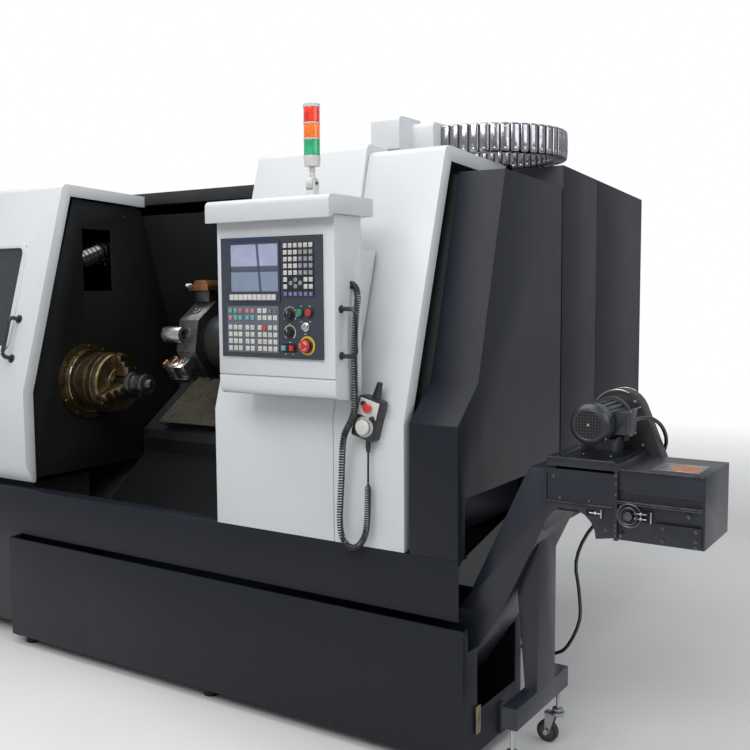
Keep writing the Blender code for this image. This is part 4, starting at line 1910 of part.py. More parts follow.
CONVEYOR_Y = TANK_FRONT_Y + CONVEYOR_SETBACK
CONVEYOR_BACK_Y = CONVEYOR_Y + CONVEYOR_WIDTH
HEAD_X = COVER_X + HEAD_COVER_REACH
FLANGE_X = HEAD_X + HEAD_COVER_LENGTH
SHAFT_X = COVER_X + SHAFT_REACH
MOTOR_X = COVER_X + MOTOR_REACH
LEG_X = COVER_X + LEG_REACH
BEAM_FRONT_Y = CONVEYOR_Y - BEAM_OVERHANG
GUARD_FRONT_Y = CONVEYOR_BACK_Y + HEAD_OVERHANG + GUARD_GAP


def reached(points):
    """Points of a conveyor outline moved to the side cover's face."""
    return [(COVER_X + reach, z) for reach, z in points]


def conveyor_casing():
    """Trough in the tank and inclined box with its side plates, hollow for the belt."""
    start = tank_x()[0] + TROUGH_GAP
    wall = CASING_SHEET
    centre = reached([ARC_CENTRE])[0]
    lower = [(start, TROUGH_FOOT)] + reached(CASING_LOWER)
    upper = [(start, TROUGH_TOP)] + reached(CASING_UPPER)
    end = FLANGE_X - CLEAR
    rail = HEAD_RAIL_Z - CLEAR
    stop = HEAD_X - CLEAR
    outline = lower + arc(centre, ARC_RADIUS, 180, 0, 10)
    outline += [(end, HEAD_BOX_LOW), (end, rail), (stop, rail), (stop, upper[-1][1])]
    casing = prism("conveyor_casing", outline + upper[::-1], CONVEYOR_Y, CONVEYOR_BACK_Y, FRONTAL)
    low_line = mitred([(start + wall, TROUGH_FOOT)] + lower[1:], -wall)
    high_line = mitred([(start + wall, TROUGH_TOP)] + upper[1:], wall)
    space = low_line + arc(centre, ARC_RADIUS + wall, 180, 0, 10)
    space += [(end + OVERRUN, HEAD_BOX_LOW + wall), (end + OVERRUN, rail + OVERRUN),
              (stop - wall, rail + OVERRUN), (stop - wall, upper[-1][1] - wall)]
    hollow = prism("casing_space", space + high_line[:-1][::-1], CONVEYOR_Y + wall,
                   CONVEYOR_BACK_Y - wall, FRONTAL)
    mouth = box("trough_mouth", (start + TROUGH_MARGIN, CONVEYOR_Y + wall, TROUGH_TOP - OVERRUN),
                (COVER_X + TROUGH_OPEN_REACH, CONVEYOR_BACK_Y - wall, TROUGH_TOP + OVERRUN))
    feet = []
    for share in TROUGH_FOOT_SHARES:
        x = start + (lower[1][0] - start) * share
        feet.append(box("trough_foot", (x, CONVEYOR_Y, TANK_FOOT + TANK_WALL + CLEAR),
                        (x + TROUGH_FOOT_LENGTH, CONVEYOR_BACK_Y, TROUGH_FOOT + wall / 2)))
    return finish(cut(fuse(casing, *feet), hollow, mouth), DARK_PAINT)


def conveyor_head():
    """Discharge head: left cover, flange, open-bottomed right box and the motor's table."""
    front, back = CONVEYOR_Y - HEAD_OVERHANG, CONVEYOR_BACK_Y + HEAD_OVERHANG
    sheet = HEAD_SHEET
    head = box("conveyor_head", (HEAD_X, CONVEYOR_Y, HEAD_RAIL_Z),
               (FLANGE_X + HEAD_FLANGE, CONVEYOR_BACK_Y, HEAD_COVER_TOP))
    flange = box("head_flange", (FLANGE_X, front, HEAD_FLANGE_LOW),
                 (FLANGE_X + HEAD_FLANGE, back, HEAD_FLANGE_TOP))
    right = box("head_box", (FLANGE_X + HEAD_FLANGE / 2, front + sheet, HEAD_BOX_LOW),
                (RIGHT_X, back - sheet, HEAD_BOX_TOP))
    ridges = [box("head_ridge", (FLANGE_X + HEAD_FLANGE / 2, front + sheet - RIDGE, RIDGE_Z),
                  (RIGHT_X, front + OVERRUN, RIDGE_Z + RIDGE_HEIGHT)),
              box("cover_ridge", (HEAD_X, CONVEYOR_Y - RIDGE, HEAD_RAIL_Z),
                  (FLANGE_X + sheet, CONVEYOR_Y + sheet, HEAD_RAIL_Z + RIDGE_HEIGHT))]
    shaft = shifted(FRONTAL, SHAFT_X, SHAFT_Z)
    bosses = [cylinder("shaft_boss", BEARING_RADIUS, front - BEARING_PROUD, front + 2 * sheet,
                       shaft),
              cylinder("rear_boss", BEARING_RADIUS, back - 2 * sheet, back, shaft)]
    table_x = COVER_X + TABLE_REACH
    table = box("motor_table", (table_x, CONVEYOR_Y, TABLE_TOP - sheet),
                (table_x + TABLE_LENGTH, CONVEYOR_BACK_Y, TABLE_TOP))
    webs = [box("table_web", (x, CONVEYOR_Y, HEAD_COVER_TOP - sheet / 2),
                (x + sheet, CONVEYOR_BACK_Y, TABLE_TOP - sheet / 2))
            for x in (table_x, table_x + TABLE_LENGTH - sheet)]
    left_space = box("cover_space", (HEAD_X + sheet, CONVEYOR_Y + sheet, HEAD_RAIL_Z - OVERRUN),
                     (FLANGE_X + HEAD_FLANGE + sheet, CONVEYOR_BACK_Y - sheet,
                      HEAD_COVER_TOP - sheet))
    right_space = box("box_space", (FLANGE_X + sheet, front + 2 * sheet, HEAD_FLANGE_LOW - OVERRUN),
                      (RIGHT_X - sheet, back - 2 * sheet, HEAD_BOX_TOP - sheet))
    passage = box("belt_passage", (FLANGE_X - OVERRUN, CONVEYOR_Y + sheet,
                                   HEAD_BOX_LOW + CASING_SHEET),
                  (FLANGE_X + HEAD_FLANGE + OVERRUN, CONVEYOR_BACK_Y - sheet, HEAD_RAIL_Z))
    bore = cylinder("shaft_bore", SHAFT_RADIUS + CLEAR, front - OVERRUN, back + OVERRUN, shaft)
    body = cut(fuse(head, flange, right, table, *ridges, *webs), left_space, right_space, passage)
    return finish(cut(fuse(body, *bosses), bore), DARK_PAINT)


def conveyor_shaft():
    """Head shaft with two sprockets, carried in the head's bearings."""
    front, back = CONVEYOR_Y - HEAD_OVERHANG, CONVEYOR_BACK_Y + HEAD_OVERHANG
    profile = [(0, front - SHAFT_PROUD), (SHAFT_RADIUS, front - SHAFT_PROUD)]
    for share in SPROCKET_SHARES:
        y = CONVEYOR_Y + CONVEYOR_WIDTH * share
        profile += [(SHAFT_RADIUS, y), (SPROCKET_RADIUS, y), (SPROCKET_RADIUS, y + SPROCKET_WIDTH),
                    (SHAFT_RADIUS, y + SPROCKET_WIDTH)]
    end = back + GUARD_GAP + GUARD_WIDTH / 2
    profile += [(SHAFT_RADIUS, end), (0, end)]
    return finish(turned("conveyor_shaft", profile, shifted(FRONTAL, SHAFT_X, SHAFT_Z), 16), STEEL)


def gear_motor():
    """Finned motor with its fan cover, flange, foot, terminal box and output shaft."""
    frame = shifted(FRONTAL, MOTOR_X, MOTOR_Z)
    front = CONVEYOR_Y
    start, end = front + FAN_LENGTH, front + MOTOR_LENGTH
    fins = []
    for index in range(MOTOR_FINS):
        for share, radius in ((0, MOTOR_RADIUS - MOTOR_FIN), (0.5, MOTOR_RADIUS - MOTOR_FIN),
                              (0.5, MOTOR_RADIUS), (1, MOTOR_RADIUS)):
            angle = math.tau * (index + share) / MOTOR_FINS
            fins.append((radius * math.cos(angle), radius * math.sin(angle)))
    motor = prism("gear_motor", fins, start - MOTOR_FLANGE, end, frame)
    round_edge = FAN_RADIUS / 5
    cover = turned("fan_cover", [(0, front), (FAN_RADIUS - round_edge, front),
                                 (FAN_RADIUS, front + round_edge), (FAN_RADIUS, start), (0, start)],
                   frame)
    flange = cylinder("motor_flange", MOTOR_FLANGE_RADIUS, end - MOTOR_FLANGE / 2,
                      end + MOTOR_FLANGE, frame)
    shaft = cylinder("motor_shaft", MOTOR_SHAFT_RADIUS, end, GUARD_FRONT_Y + GUARD_WIDTH / 2, frame, 16)
    foot = box("motor_foot", (MOTOR_X - MOTOR_FOOT_WIDTH / 2, start + OVERRUN, TABLE_TOP + CLEAR),
               (MOTOR_X + MOTOR_FOOT_WIDTH / 2, start + OVERRUN + MOTOR_FOOT_LENGTH,
                MOTOR_Z - MOTOR_RADIUS + MOTOR_FIN + HEAD_SHEET))
    side = MOTOR_X + MOTOR_RADIUS - MOTOR_FIN - CASING_SHEET
    terminal = box("terminal_box", (side, front + TERMINAL_START, MOTOR_Z - TERMINAL_HEIGHT / 2),
                   (side + TERMINAL_WIDTH, front + TERMINAL_START + TERMINAL_LENGTH,
                    MOTOR_Z + TERMINAL_HEIGHT / 2))
    return finish(fuse(motor, cover, flange, shaft, foot, terminal), MOTOR_PAINT)


def guard_outline(inset):
    """Outline round the motor's and the head shaft's sprockets."""
    big, small = GUARD_MOTOR_RADIUS - inset, GUARD_SHAFT_RADIUS - inset
    run = Vector((SHAFT_X - MOTOR_X, SHAFT_Z - MOTOR_Z))
    lean = math.degrees(math.atan2(run.y, run.x))
    half = math.degrees(math.acos((big - small) / run.length))
    return (arc((MOTOR_X, MOTOR_Z), big, lean + half, lean + 360 - half, 14)
            + arc((SHAFT_X, SHAFT_Z), small, lean - half, lean + half, 8))


def chain_guard():
    """Cover round the drive chain, with holes for the two shafts and its spacers."""
    front = GUARD_FRONT_Y
    back = front + GUARD_WIDTH
    guard = prism("chain_guard", guard_outline(0), front, back, FRONTAL)
    space = prism("guard_space", guard_outline(HEAD_SHEET), front + HEAD_SHEET,
                  back - HEAD_SHEET, FRONTAL)
    motor = shifted(FRONTAL, MOTOR_X, MOTOR_Z)
    shaft = shifted(FRONTAL, SHAFT_X, SHAFT_Z)
    holes = [cylinder("motor_hole", MOTOR_SHAFT_RADIUS + CASING_SHEET, front - OVERRUN,
                      front + OVERRUN, motor, 16),
             cylinder("shaft_hole", SHAFT_RADIUS + CASING_SHEET, front - OVERRUN,
                      front + OVERRUN, shaft, 16)]
    spacer = box("guard_spacer", (SHAFT_X - BEARING_RADIUS, CONVEYOR_BACK_Y + HEAD_OVERHANG
                                  - HEAD_SHEET + CLEAR, SHAFT_Z + BEARING_RADIUS + RIDGE),
                 (SHAFT_X + BEARING_RADIUS / 2, front + HEAD_SHEET / 2,
                  SHAFT_Z + BEARING_RADIUS + RIDGE + RIDGE_HEIGHT))
    return finish(cut(fuse(cut(guard, space), spacer), *holes), BLACK_PAINT)


def conveyor_leg():
    """Slanted-top post on a cross beam, with sockets for the casters' stems."""
    (x0, z0), (x1, z1) = reached(CASING_LOWER[2:4])
    slope = (z1 - z0) / (x1 - x0)
    drop = CLEAR * math.hypot(1, slope)
    high_x = LEG_X + LEG_WIDTH
    top = BEAM_FOOT + BEAM_HEIGHT
    front = CONVEYOR_Y + LEG_SETBACK
    outline = [(LEG_X + LEG_TAPER, top - OVERRUN), (high_x, top - OVERRUN),
               (high_x, z0 + slope * (high_x - x0) - drop), (LEG_X, z0 + slope * (LEG_X - x0) - drop)]
    post = prism("conveyor_leg", outline, front, front + LEG_DEPTH, FRONTAL)
    beam = box("leg_beam", (high_x - BEAM_WIDTH, BEAM_FRONT_Y, BEAM_FOOT),
               (high_x, BEAM_FRONT_Y + BEAM_LENGTH, top))
    sockets = [cylinder("stem_socket", CASTER_STEM_RADIUS + CLEAR, BEAM_FOOT - OVERRUN,
                        BEAM_FOOT + CASTER_STEM_GRIP + CLEAR, Matrix.Translation((x, y, 0)), 12)
               for x, y in caster_places()]
    return finish(cut(fuse(post, beam), *sockets), DARK_PAINT)


def caster_places():
    """X and Y of the two casters' swivel axes."""
    x = LEG_X + LEG_WIDTH - BEAM_WIDTH / 2
    return ((x, BEAM_FRONT_Y + CASTER_INSET), (x, BEAM_FRONT_Y + BEAM_LENGTH - CASTER_INSET))


def caster(label, place, swivel, roller):
    """Caster fork with its threaded stem, and its wheel."""
    x, y = place
    upright = Matrix.Translation((x, y, 0))
    top = CASTER_CROWN + CASTER_CROWN_HEIGHT
    fork = cylinder(f"caster_fork_{label}", CASTER_CROWN_RADIUS, CASTER_CROWN, top, upright)
    stem = cylinder("caster_stem", CASTER_STEM_RADIUS, top - CASTER_CROWN_HEIGHT / 2,
                    BEAM_FOOT + CASTER_STEM_GRIP, upright, 12)
    half = CASTER_WIDTH / 2 + 2 * CLEAR
    width = CASTER_CHEEK_WIDTH / 2
    wheel_x = x - CASTER_TRAIL
    bridge = box("fork_bridge", (wheel_x - width / 2, y - half - CASTER_CHEEK, CASTER_CROWN),
                 (x, y + half + CASTER_CHEEK, CASTER_CROWN + CASTER_CROWN_HEIGHT / 2))
    cheek = [(x - CASTER_CHEEK, CASTER_CROWN + CASTER_CHEEK),
             (wheel_x - width / 3, CASTER_CROWN + CASTER_CHEEK),
             (wheel_x - width / 2, CASTER_RADIUS - width / 2),
             (wheel_x + width / 2, CASTER_RADIUS - width / 2)]
    cheeks = [prism("fork_cheek", cheek, side, side + CASTER_CHEEK, FRONTAL)
              for side in (y - half - CASTER_CHEEK, y + half)]
    axle = cylinder("fork_axle", CASTER_AXLE_RADIUS, -half - CASTER_CHEEK / 2,
                    half + CASTER_CHEEK / 2,
                    shifted(FRONTAL, wheel_x, CASTER_RADIUS) @ Matrix.Translation((0, 0, y)), 12)
    finish(fuse(fork, stem, bridge, *cheeks, axle), CASTER_ZINC)
    edge = CASTER_WIDTH / 6
    bore = CASTER_AXLE_RADIUS + CLEAR
    profile = [(bore, -CASTER_WIDTH / 2), (CASTER_RADIUS - edge, -CASTER_WIDTH / 2),
               (CASTER_RADIUS, edge - CASTER_WIDTH / 2), (CASTER_RADIUS, CASTER_WIDTH / 2 - edge),
               (CASTER_RADIUS - edge, CASTER_WIDTH / 2), (bore, CASTER_WIDTH / 2)]
    wheel = turned(f"caster_wheel_{label}", profile,
                   shifted(FRONTAL, wheel_x, CASTER_RADIUS) @ Matrix.Translation((0, 0, y)))
    carry(swivel, fork)
    carry(roller, finish(wheel, BLACK_PLASTIC))


def build():
    """Make every piece and hang the moving ones on their joints' axes."""
    for make in (bed_casting, base_fascia, coolant_tank, chip_chute, left_guard, left_inner_wall,
                 back_wall, top_rail, right_inner_guard, right_side_cover, rear_cover,
                 electrical_cabinet, headstock, nose_ring, conveyor_casing, conveyor_head,
                 gear_motor, chain_guard, conveyor_leg, cable_hose):
        make()
    cord("conveyor_cable", smooth(CABLE_ROUTE), CABLE_RADIUS, BLACK_PLASTIC)
    cabinet_door(pivot("cabinet_hinge", (CABINET_HINGE_X, CABINET_HINGE_Y, REAR_COVER_FOOT)))
    spindle = pivot("spindle_axis", (CHUCK_FACE_X, SPINDLE_Y, SPINDLE_Z))
    carry(spindle, spindle_shaft(), chuck_body(), arbor())
    for index in range(JAW_COUNT):
        carry(pivot(f"jaw_{index + 1}_slide", spindle.location, spindle), jaw(index))
    saddle = pivot("z_slide", (SADDLE_LOW_X, *bed_point(WAYS_START, -WAYS_DROP)))
    carry(saddle, z_saddle())
    slide = pivot("x_slide", (SADDLE_LOW_X, *bed_point(SLIDE_START, slide_foot())), saddle)
    carry(slide, cross_slide())
    turret = pivot("turret_axis", (TURRET_X, *bed_point(TURRET_ALONG, 0)), slide)
    carry(turret, turret_disc(), tool_block(), boring_holder())
    main_door(pivot("main_door_slide", (OPENING_LOW_X, FRONT_Y, BASE_TOP)))
    operator = pivot("operator_door_slide", (OPENING_HIGH_X, FRONT_Y, BASE_TOP))
    operator_shells(operator)
    carry(operator, control_box(), control_hood(), operator_panel(), side_handle(), cable_duct(),
          pendant_body(), pendant_lead(),
          cord("curly_cord", smooth(CURLY_ROUTE), CORD_RADIUS, BLACK_PLASTIC),
          keypad("mdi_keypad", MDI_SHARES, MDI_COLUMN_SHARES, MDI_ROW_SHARES, MDI_KEY,
                 GREY_PLASTIC),
          keypad("machine_keypad", MACHINE_SHARES, MACHINE_COLUMN_SHARES, MACHINE_ROW_SHARES,
                 MACHINE_KEY, GREY_PLASTIC), screen())
    for control, shares in ((estop_button(), ESTOP_SHARES),
                            (square_button("start_button", START_SHARES, GREEN_PLASTIC),
                             START_SHARES),
                            (square_button("hold_button", HOLD_SHARES, RED_PLASTIC), HOLD_SHARES),
                            (override_knob(), OVERRIDE_SHARES)):
        axis = pivot(control.name + "_axis", control_frame(shares).translation, operator)
        carry(axis, control)
    wheel_place = (pendant_frame() @ Matrix.Translation((0, -WHEEL_DROP, 0))).translation
    carry(pivot("pendant_wheel_axis", wheel_place, operator), pendant_wheel())
    carry(pivot("tower_hinge", (TOWER_X, TOWER_Y, TOWER_HINGE_Z), operator), signal_tower())
    carry(pivot("head_shaft_axis", (SHAFT_X, CONVEYOR_Y, SHAFT_Z)), conveyor_shaft())
    for label, place in zip(("front", "rear"), caster_places()):
        swivel = pivot(f"caster_swivel_{label}", (*place, CASTER_CROWN))
        roller = pivot(f"caster_axle_{label}", (place[0] - CASTER_TRAIL, place[1], CASTER_RADIUS),
                       swivel)
        caster(label, place, swivel, roller)


build()
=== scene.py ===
"""Looks of the CNC turning lathe: finishes, fittings, cords and a plain studio round its solids."""
from __future__ import annotations

import json
import logging
import math
from dataclasses import dataclass, field
from enum import Enum
from typing import Iterable, Sequence

import bmesh
import bpy
from mathutils import Matrix, Vector

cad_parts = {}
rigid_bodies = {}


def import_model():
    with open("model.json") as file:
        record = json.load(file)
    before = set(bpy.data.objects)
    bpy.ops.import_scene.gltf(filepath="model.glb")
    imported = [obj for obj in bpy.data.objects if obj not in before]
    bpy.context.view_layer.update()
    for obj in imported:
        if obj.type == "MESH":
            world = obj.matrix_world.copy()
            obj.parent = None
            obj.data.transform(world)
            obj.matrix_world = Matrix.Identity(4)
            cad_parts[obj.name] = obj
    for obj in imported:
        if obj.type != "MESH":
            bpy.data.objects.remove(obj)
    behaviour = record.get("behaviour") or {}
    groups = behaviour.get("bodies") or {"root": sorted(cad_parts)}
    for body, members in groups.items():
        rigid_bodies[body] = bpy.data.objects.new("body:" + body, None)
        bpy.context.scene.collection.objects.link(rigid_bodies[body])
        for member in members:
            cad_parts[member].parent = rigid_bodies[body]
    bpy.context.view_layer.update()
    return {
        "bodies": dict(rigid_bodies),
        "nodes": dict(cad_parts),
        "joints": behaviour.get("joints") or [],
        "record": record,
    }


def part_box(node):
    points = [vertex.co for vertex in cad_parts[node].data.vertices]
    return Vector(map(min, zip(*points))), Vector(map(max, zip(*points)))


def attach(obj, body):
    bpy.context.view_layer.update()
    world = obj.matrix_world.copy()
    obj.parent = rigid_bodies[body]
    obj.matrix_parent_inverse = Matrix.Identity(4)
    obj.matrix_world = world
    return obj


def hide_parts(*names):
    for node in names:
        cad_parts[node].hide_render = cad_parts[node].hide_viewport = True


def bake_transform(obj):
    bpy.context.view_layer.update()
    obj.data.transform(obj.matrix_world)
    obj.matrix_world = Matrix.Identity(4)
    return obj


LOG = logging.getLogger("lathe_looks")
Point = Sequence[float]
Colour = tuple[float, float, float]
WHITE: Colour = (1.0, 1.0, 1.0)
RIGHT: Point = (1.0, 0.0, 0.0)
LEFT: Point = (-1.0, 0.0, 0.0)
BACK: Point = (0.0, 1.0, 0.0)
FRONT: Point = (0.0, -1.0, 0.0)
UP: Point = (0.0, 0.0, 1.0)
DOWN: Point = (0.0, 0.0, -1.0)
SHARP_EDGE: float = math.radians(33.0)


# ---------------------------------------------------------------- shaders
class Wire:
    """A shader socket that adds Math nodes when it is used in an expression."""

    def __init__(self, graph: "Graph", socket: bpy.types.NodeSocket) -> None:
        """Keep the graph and the socket."""
        self.graph = graph
        self.socket = socket

    def _math(self, operation: str, first: object, second: object) -> "Wire":
        """Add one Math node and return its result."""
        return self.graph.node("ShaderNodeMath", {"operation": operation}, {0: first, 1: second})

    def __add__(self, other: object) -> "Wire":
        """Sum."""
        return self._math("ADD", self, other)

    def __mul__(self, other: object) -> "Wire":
        """Product."""
        return self._math("MULTIPLY", self, other)

    def __sub__(self, other: object) -> "Wire":
        """Difference."""
        return self._math("SUBTRACT", self, other)

    def __rsub__(self, other: object) -> "Wire":
        """Reflected difference."""
        return self._math("SUBTRACT", other, self)


class Graph:
    """The node tree of one material with its Principled shader."""

    def __init__(self, name: str) -> None:
        """Start a material.

        Args:
            name: the material's name.
        """
        self.material = bpy.data.materials.new(name)
        self.material.use_nodes = True
        self.tree = self.material.node_tree
        self.shader = self.tree.nodes["Principled BSDF"]

    def node(self, kind: str, settings: dict[str, object] | None = None,
             inputs: dict[object, object] | None = None, output: object = 0) -> Wire:
        """Add any node.

        Args:
            kind: the node's type.
            settings: its properties.
            inputs: values or wires by socket name or number.
            output: name or number of the socket that is returned.

        Returns:
            The chosen output as a wire.
        """
        made = self.tree.nodes.new(kind)
        for key, value in (settings or {}).items():
            setattr(made, key, value)
        for key, value in (inputs or {}).items():
            self.put(made.inputs[key], value)
        return Wire(self, made.outputs[output])

    def put(self, socket: bpy.types.NodeSocket, value: object) -> None:
        """Link a wire to a socket, or set its value."""
        if isinstance(value, Wire):
            self.tree.links.new(value.socket, socket)
        elif isinstance(value, (tuple, list)) and socket.type == "RGBA":
            socket.default_value = (*value[:3], 1.0)
        else:
            socket.default_value = value

    def set(self, **values: object) -> None:
        """Set sockets of the Principled shader; an underscore stands for a space."""
        for key, value in values.items():
            self.put(self.shader.inputs[key.replace("_", " ")], value)

    def places(self) -> Wire:
        """The surface's places in the object's own metres."""
        return self.node("ShaderNodeTexCoord", output="Object")

    def noise(self, scale: float, detail: float = 3.0, rough: float = 0.55,
              stretch: Point | None = None) -> Wire:
        """Noise in metres.

        Args:
            scale: waves per metre.
            detail: octaves.
            rough: roughness of the octaves.
            stretch: scale along each axis.

        Returns:
            The noise, about 0.5.
        """
        where = self.places()
        if stretch is not None:
            where = self.node("ShaderNodeMapping", None, {"Vector": where, "Scale": tuple(stretch)})
        return self.node("ShaderNodeTexNoise", None,
                         {"Vector": where, "Scale": scale, "Detail": detail, "Roughness": rough})

    def bands(self, value: Wire, low: float, high: float) -> Wire:
        """Map a value's range to 0 to 1, clamped."""
        return self.node("ShaderNodeMapRange", {"clamp": True},
                         {"Value": value, "From Min": low, "From Max": high})

    def mix(self, share: object, first: object, second: object) -> Wire:
        """Mix two colours by a share."""
        made = self.tree.nodes.new("ShaderNodeMix")
        made.data_type = "RGBA"
        for index, value in ((0, share), (6, first), (7, second)):
            self.put(made.inputs[index], value)
        return Wire(self, made.outputs[2])

    def bump(self, height: Wire, depth: float) -> None:
        """Raise the surface by a height, in metres at 1."""
        normal = self.node("ShaderNodeBump", None,
                           {"Strength": 1.0, "Distance": depth, "Height": height})
        self.set(Normal=normal)

    def height_share(self, low: float, high: float) -> Wire:
        """Share of the way up between two heights."""
        axes = self.node("ShaderNodeSeparateXYZ", None, {0: self.places()}, "Z")
        return self.bands(axes, low, high)


@dataclass(frozen=True)
class Paint:
    """Sprayed machine enamel, smooth or with a fine structure."""

    colour: Colour
    shade: Colour
    roughness: float = 0.35
    grain: float = 900.0
    grain_depth: float = 0.00006
    smudge: float = 0.10
    dust: float = 0.0
    coat: float = 0.15
    shine: float = 0.5

    def material(self, name: str) -> bpy.types.Material:
        """Make the enamel's material."""
        graph = Graph(name)
        cloud = graph.bands(graph.noise(2.3, 5.0, 0.6), 0.35, 0.70)
        streak = graph.bands(graph.noise(7.0, 4.0, 0.6, (1.0, 1.0, 0.16)), 0.52, 0.78)
        tint = graph.mix(cloud * 0.6 + streak * 0.25, self.colour, self.shade)
        if self.dust > 0.0:
            low = 1.0 - graph.height_share(0.0, 0.9)
            grime = low * graph.bands(graph.noise(11.0, 6.0, 0.7), 0.40, 0.72) * self.dust
            tint = graph.mix(grime, tint, (0.20, 0.19, 0.175))
        graph.set(Base_Color=tint,
                  Roughness=streak * self.smudge + cloud * self.smudge + self.roughness,
                  Coat_Weight=self.coat, Coat_Roughness=0.22, Specular_IOR_Level=self.shine)
        peel = graph.noise(self.grain, 2.0) + graph.noise(self.grain * 0.22, 1.0) * 1.5
        graph.bump(peel, self.grain_depth)
        return graph.material


@dataclass(frozen=True)
class Metal:
    """Machined or drawn metal with brush marks, stains and oil."""

    colour: Colour
    stain: Colour
    roughness: float = 0.28
    brush: tuple[float, float, float] = (1.0, 1.0, 14.0)
    brush_scale: float = 60.0
    stain_low: float = 0.48
    mark_depth: float = 0.00005
    metallic: float = 1.0

    def material(self, name: str) -> bpy.types.Material:
        """Make the metal's material."""
        graph = Graph(name)
        blotch = graph.bands(graph.noise(19.0, 6.0, 0.65), self.stain_low, self.stain_low + 0.22)
        lines = graph.noise(self.brush_scale, 5.0, 0.7, self.brush)
        graph.set(Base_Color=graph.mix(blotch, self.colour, self.stain), Metallic=self.metallic,
                  Roughness=lines * 0.18 + blotch * 0.16 + (self.roughness - 0.09))
        graph.bump(lines + graph.noise(340.0, 2.0) * 0.4, self.mark_depth)
        return graph.material


@dataclass(frozen=True)
class Casting:
    """Painted cast iron with the sand's texture."""

    colour: Colour
    worn: Colour
    roughness: float = 0.55
    depth: float = 0.0005

    def material(self, name: str) -> bpy.types.Material:
        """Make the casting's material."""
        graph = Graph(name)
        sand = graph.noise(160.0, 4.0, 0.65)
        patch = graph.bands(graph.noise(6.0, 5.0, 0.6), 0.45, 0.72)
        graph.set(Base_Color=graph.mix(patch, self.colour, self.worn),
                  Roughness=sand * 0.2 + self.roughness - 0.1, Coat_Weight=0.1)
        graph.bump(sand + graph.noise(28.0, 3.0) * 0.8, self.depth)
        return graph.material


@dataclass(frozen=True)
class Plastic:
    """Moulded plastic or rubber with a fine grain."""

    colour: Colour
    roughness: float = 0.42
    grain: float = 1400.0
    depth: float = 0.00004
    shade: float = 0.82
    coat: float = 0.0

    def material(self, name: str) -> bpy.types.Material:
        """Make the plastic's material."""
        graph = Graph(name)
        cloud = graph.bands(graph.noise(24.0, 4.0), 0.35, 0.70)
        darker = tuple(value * self.shade for value in self.colour)
        graph.set(Base_Color=graph.mix(cloud, self.colour, darker),
                  Roughness=cloud * 0.12 + (self.roughness - 0.04), Coat_Weight=self.coat)
        graph.bump(graph.noise(self.grain, 2.0), self.depth)
        return graph.material


@dataclass(frozen=True)
class Lens:
    """Coloured signal lens with a painted glow that stands in for light passing through it."""

    colour: Colour
    painted_glow: float = 0.35

    def material(self, name: str) -> bpy.types.Material:
        """Make the lens's material."""
        graph = Graph(name)
        cloud = graph.bands(graph.noise(40.0, 3.0), 0.35, 0.70)
        deep = tuple(value * 0.55 for value in self.colour)
        tint = graph.mix(cloud, self.colour, deep)
        # The emission is a painted glow for light through the lens, not a lit lamp.
        graph.set(Base_Color=tint, Roughness=0.12, Coat_Weight=0.6, Emission_Color=tint,
                  Emission_Strength=self.painted_glow)
        return graph.material


@dataclass(frozen=True)
class Pane:
    """Clear or smoked glass."""

    colour: Colour
    alpha: float = 0.45
    roughness: float = 0.06

    def material(self, name: str) -> bpy.types.Material:
        """Make the pane's material."""
        graph = Graph(name)
        film = graph.bands(graph.noise(9.0, 5.0, 0.6), 0.45, 0.75)
        graph.set(Base_Color=self.colour, Alpha=film * 0.12 + self.alpha,
                  Roughness=film * 0.10 + self.roughness, Coat_Weight=0.8)
        return graph.material


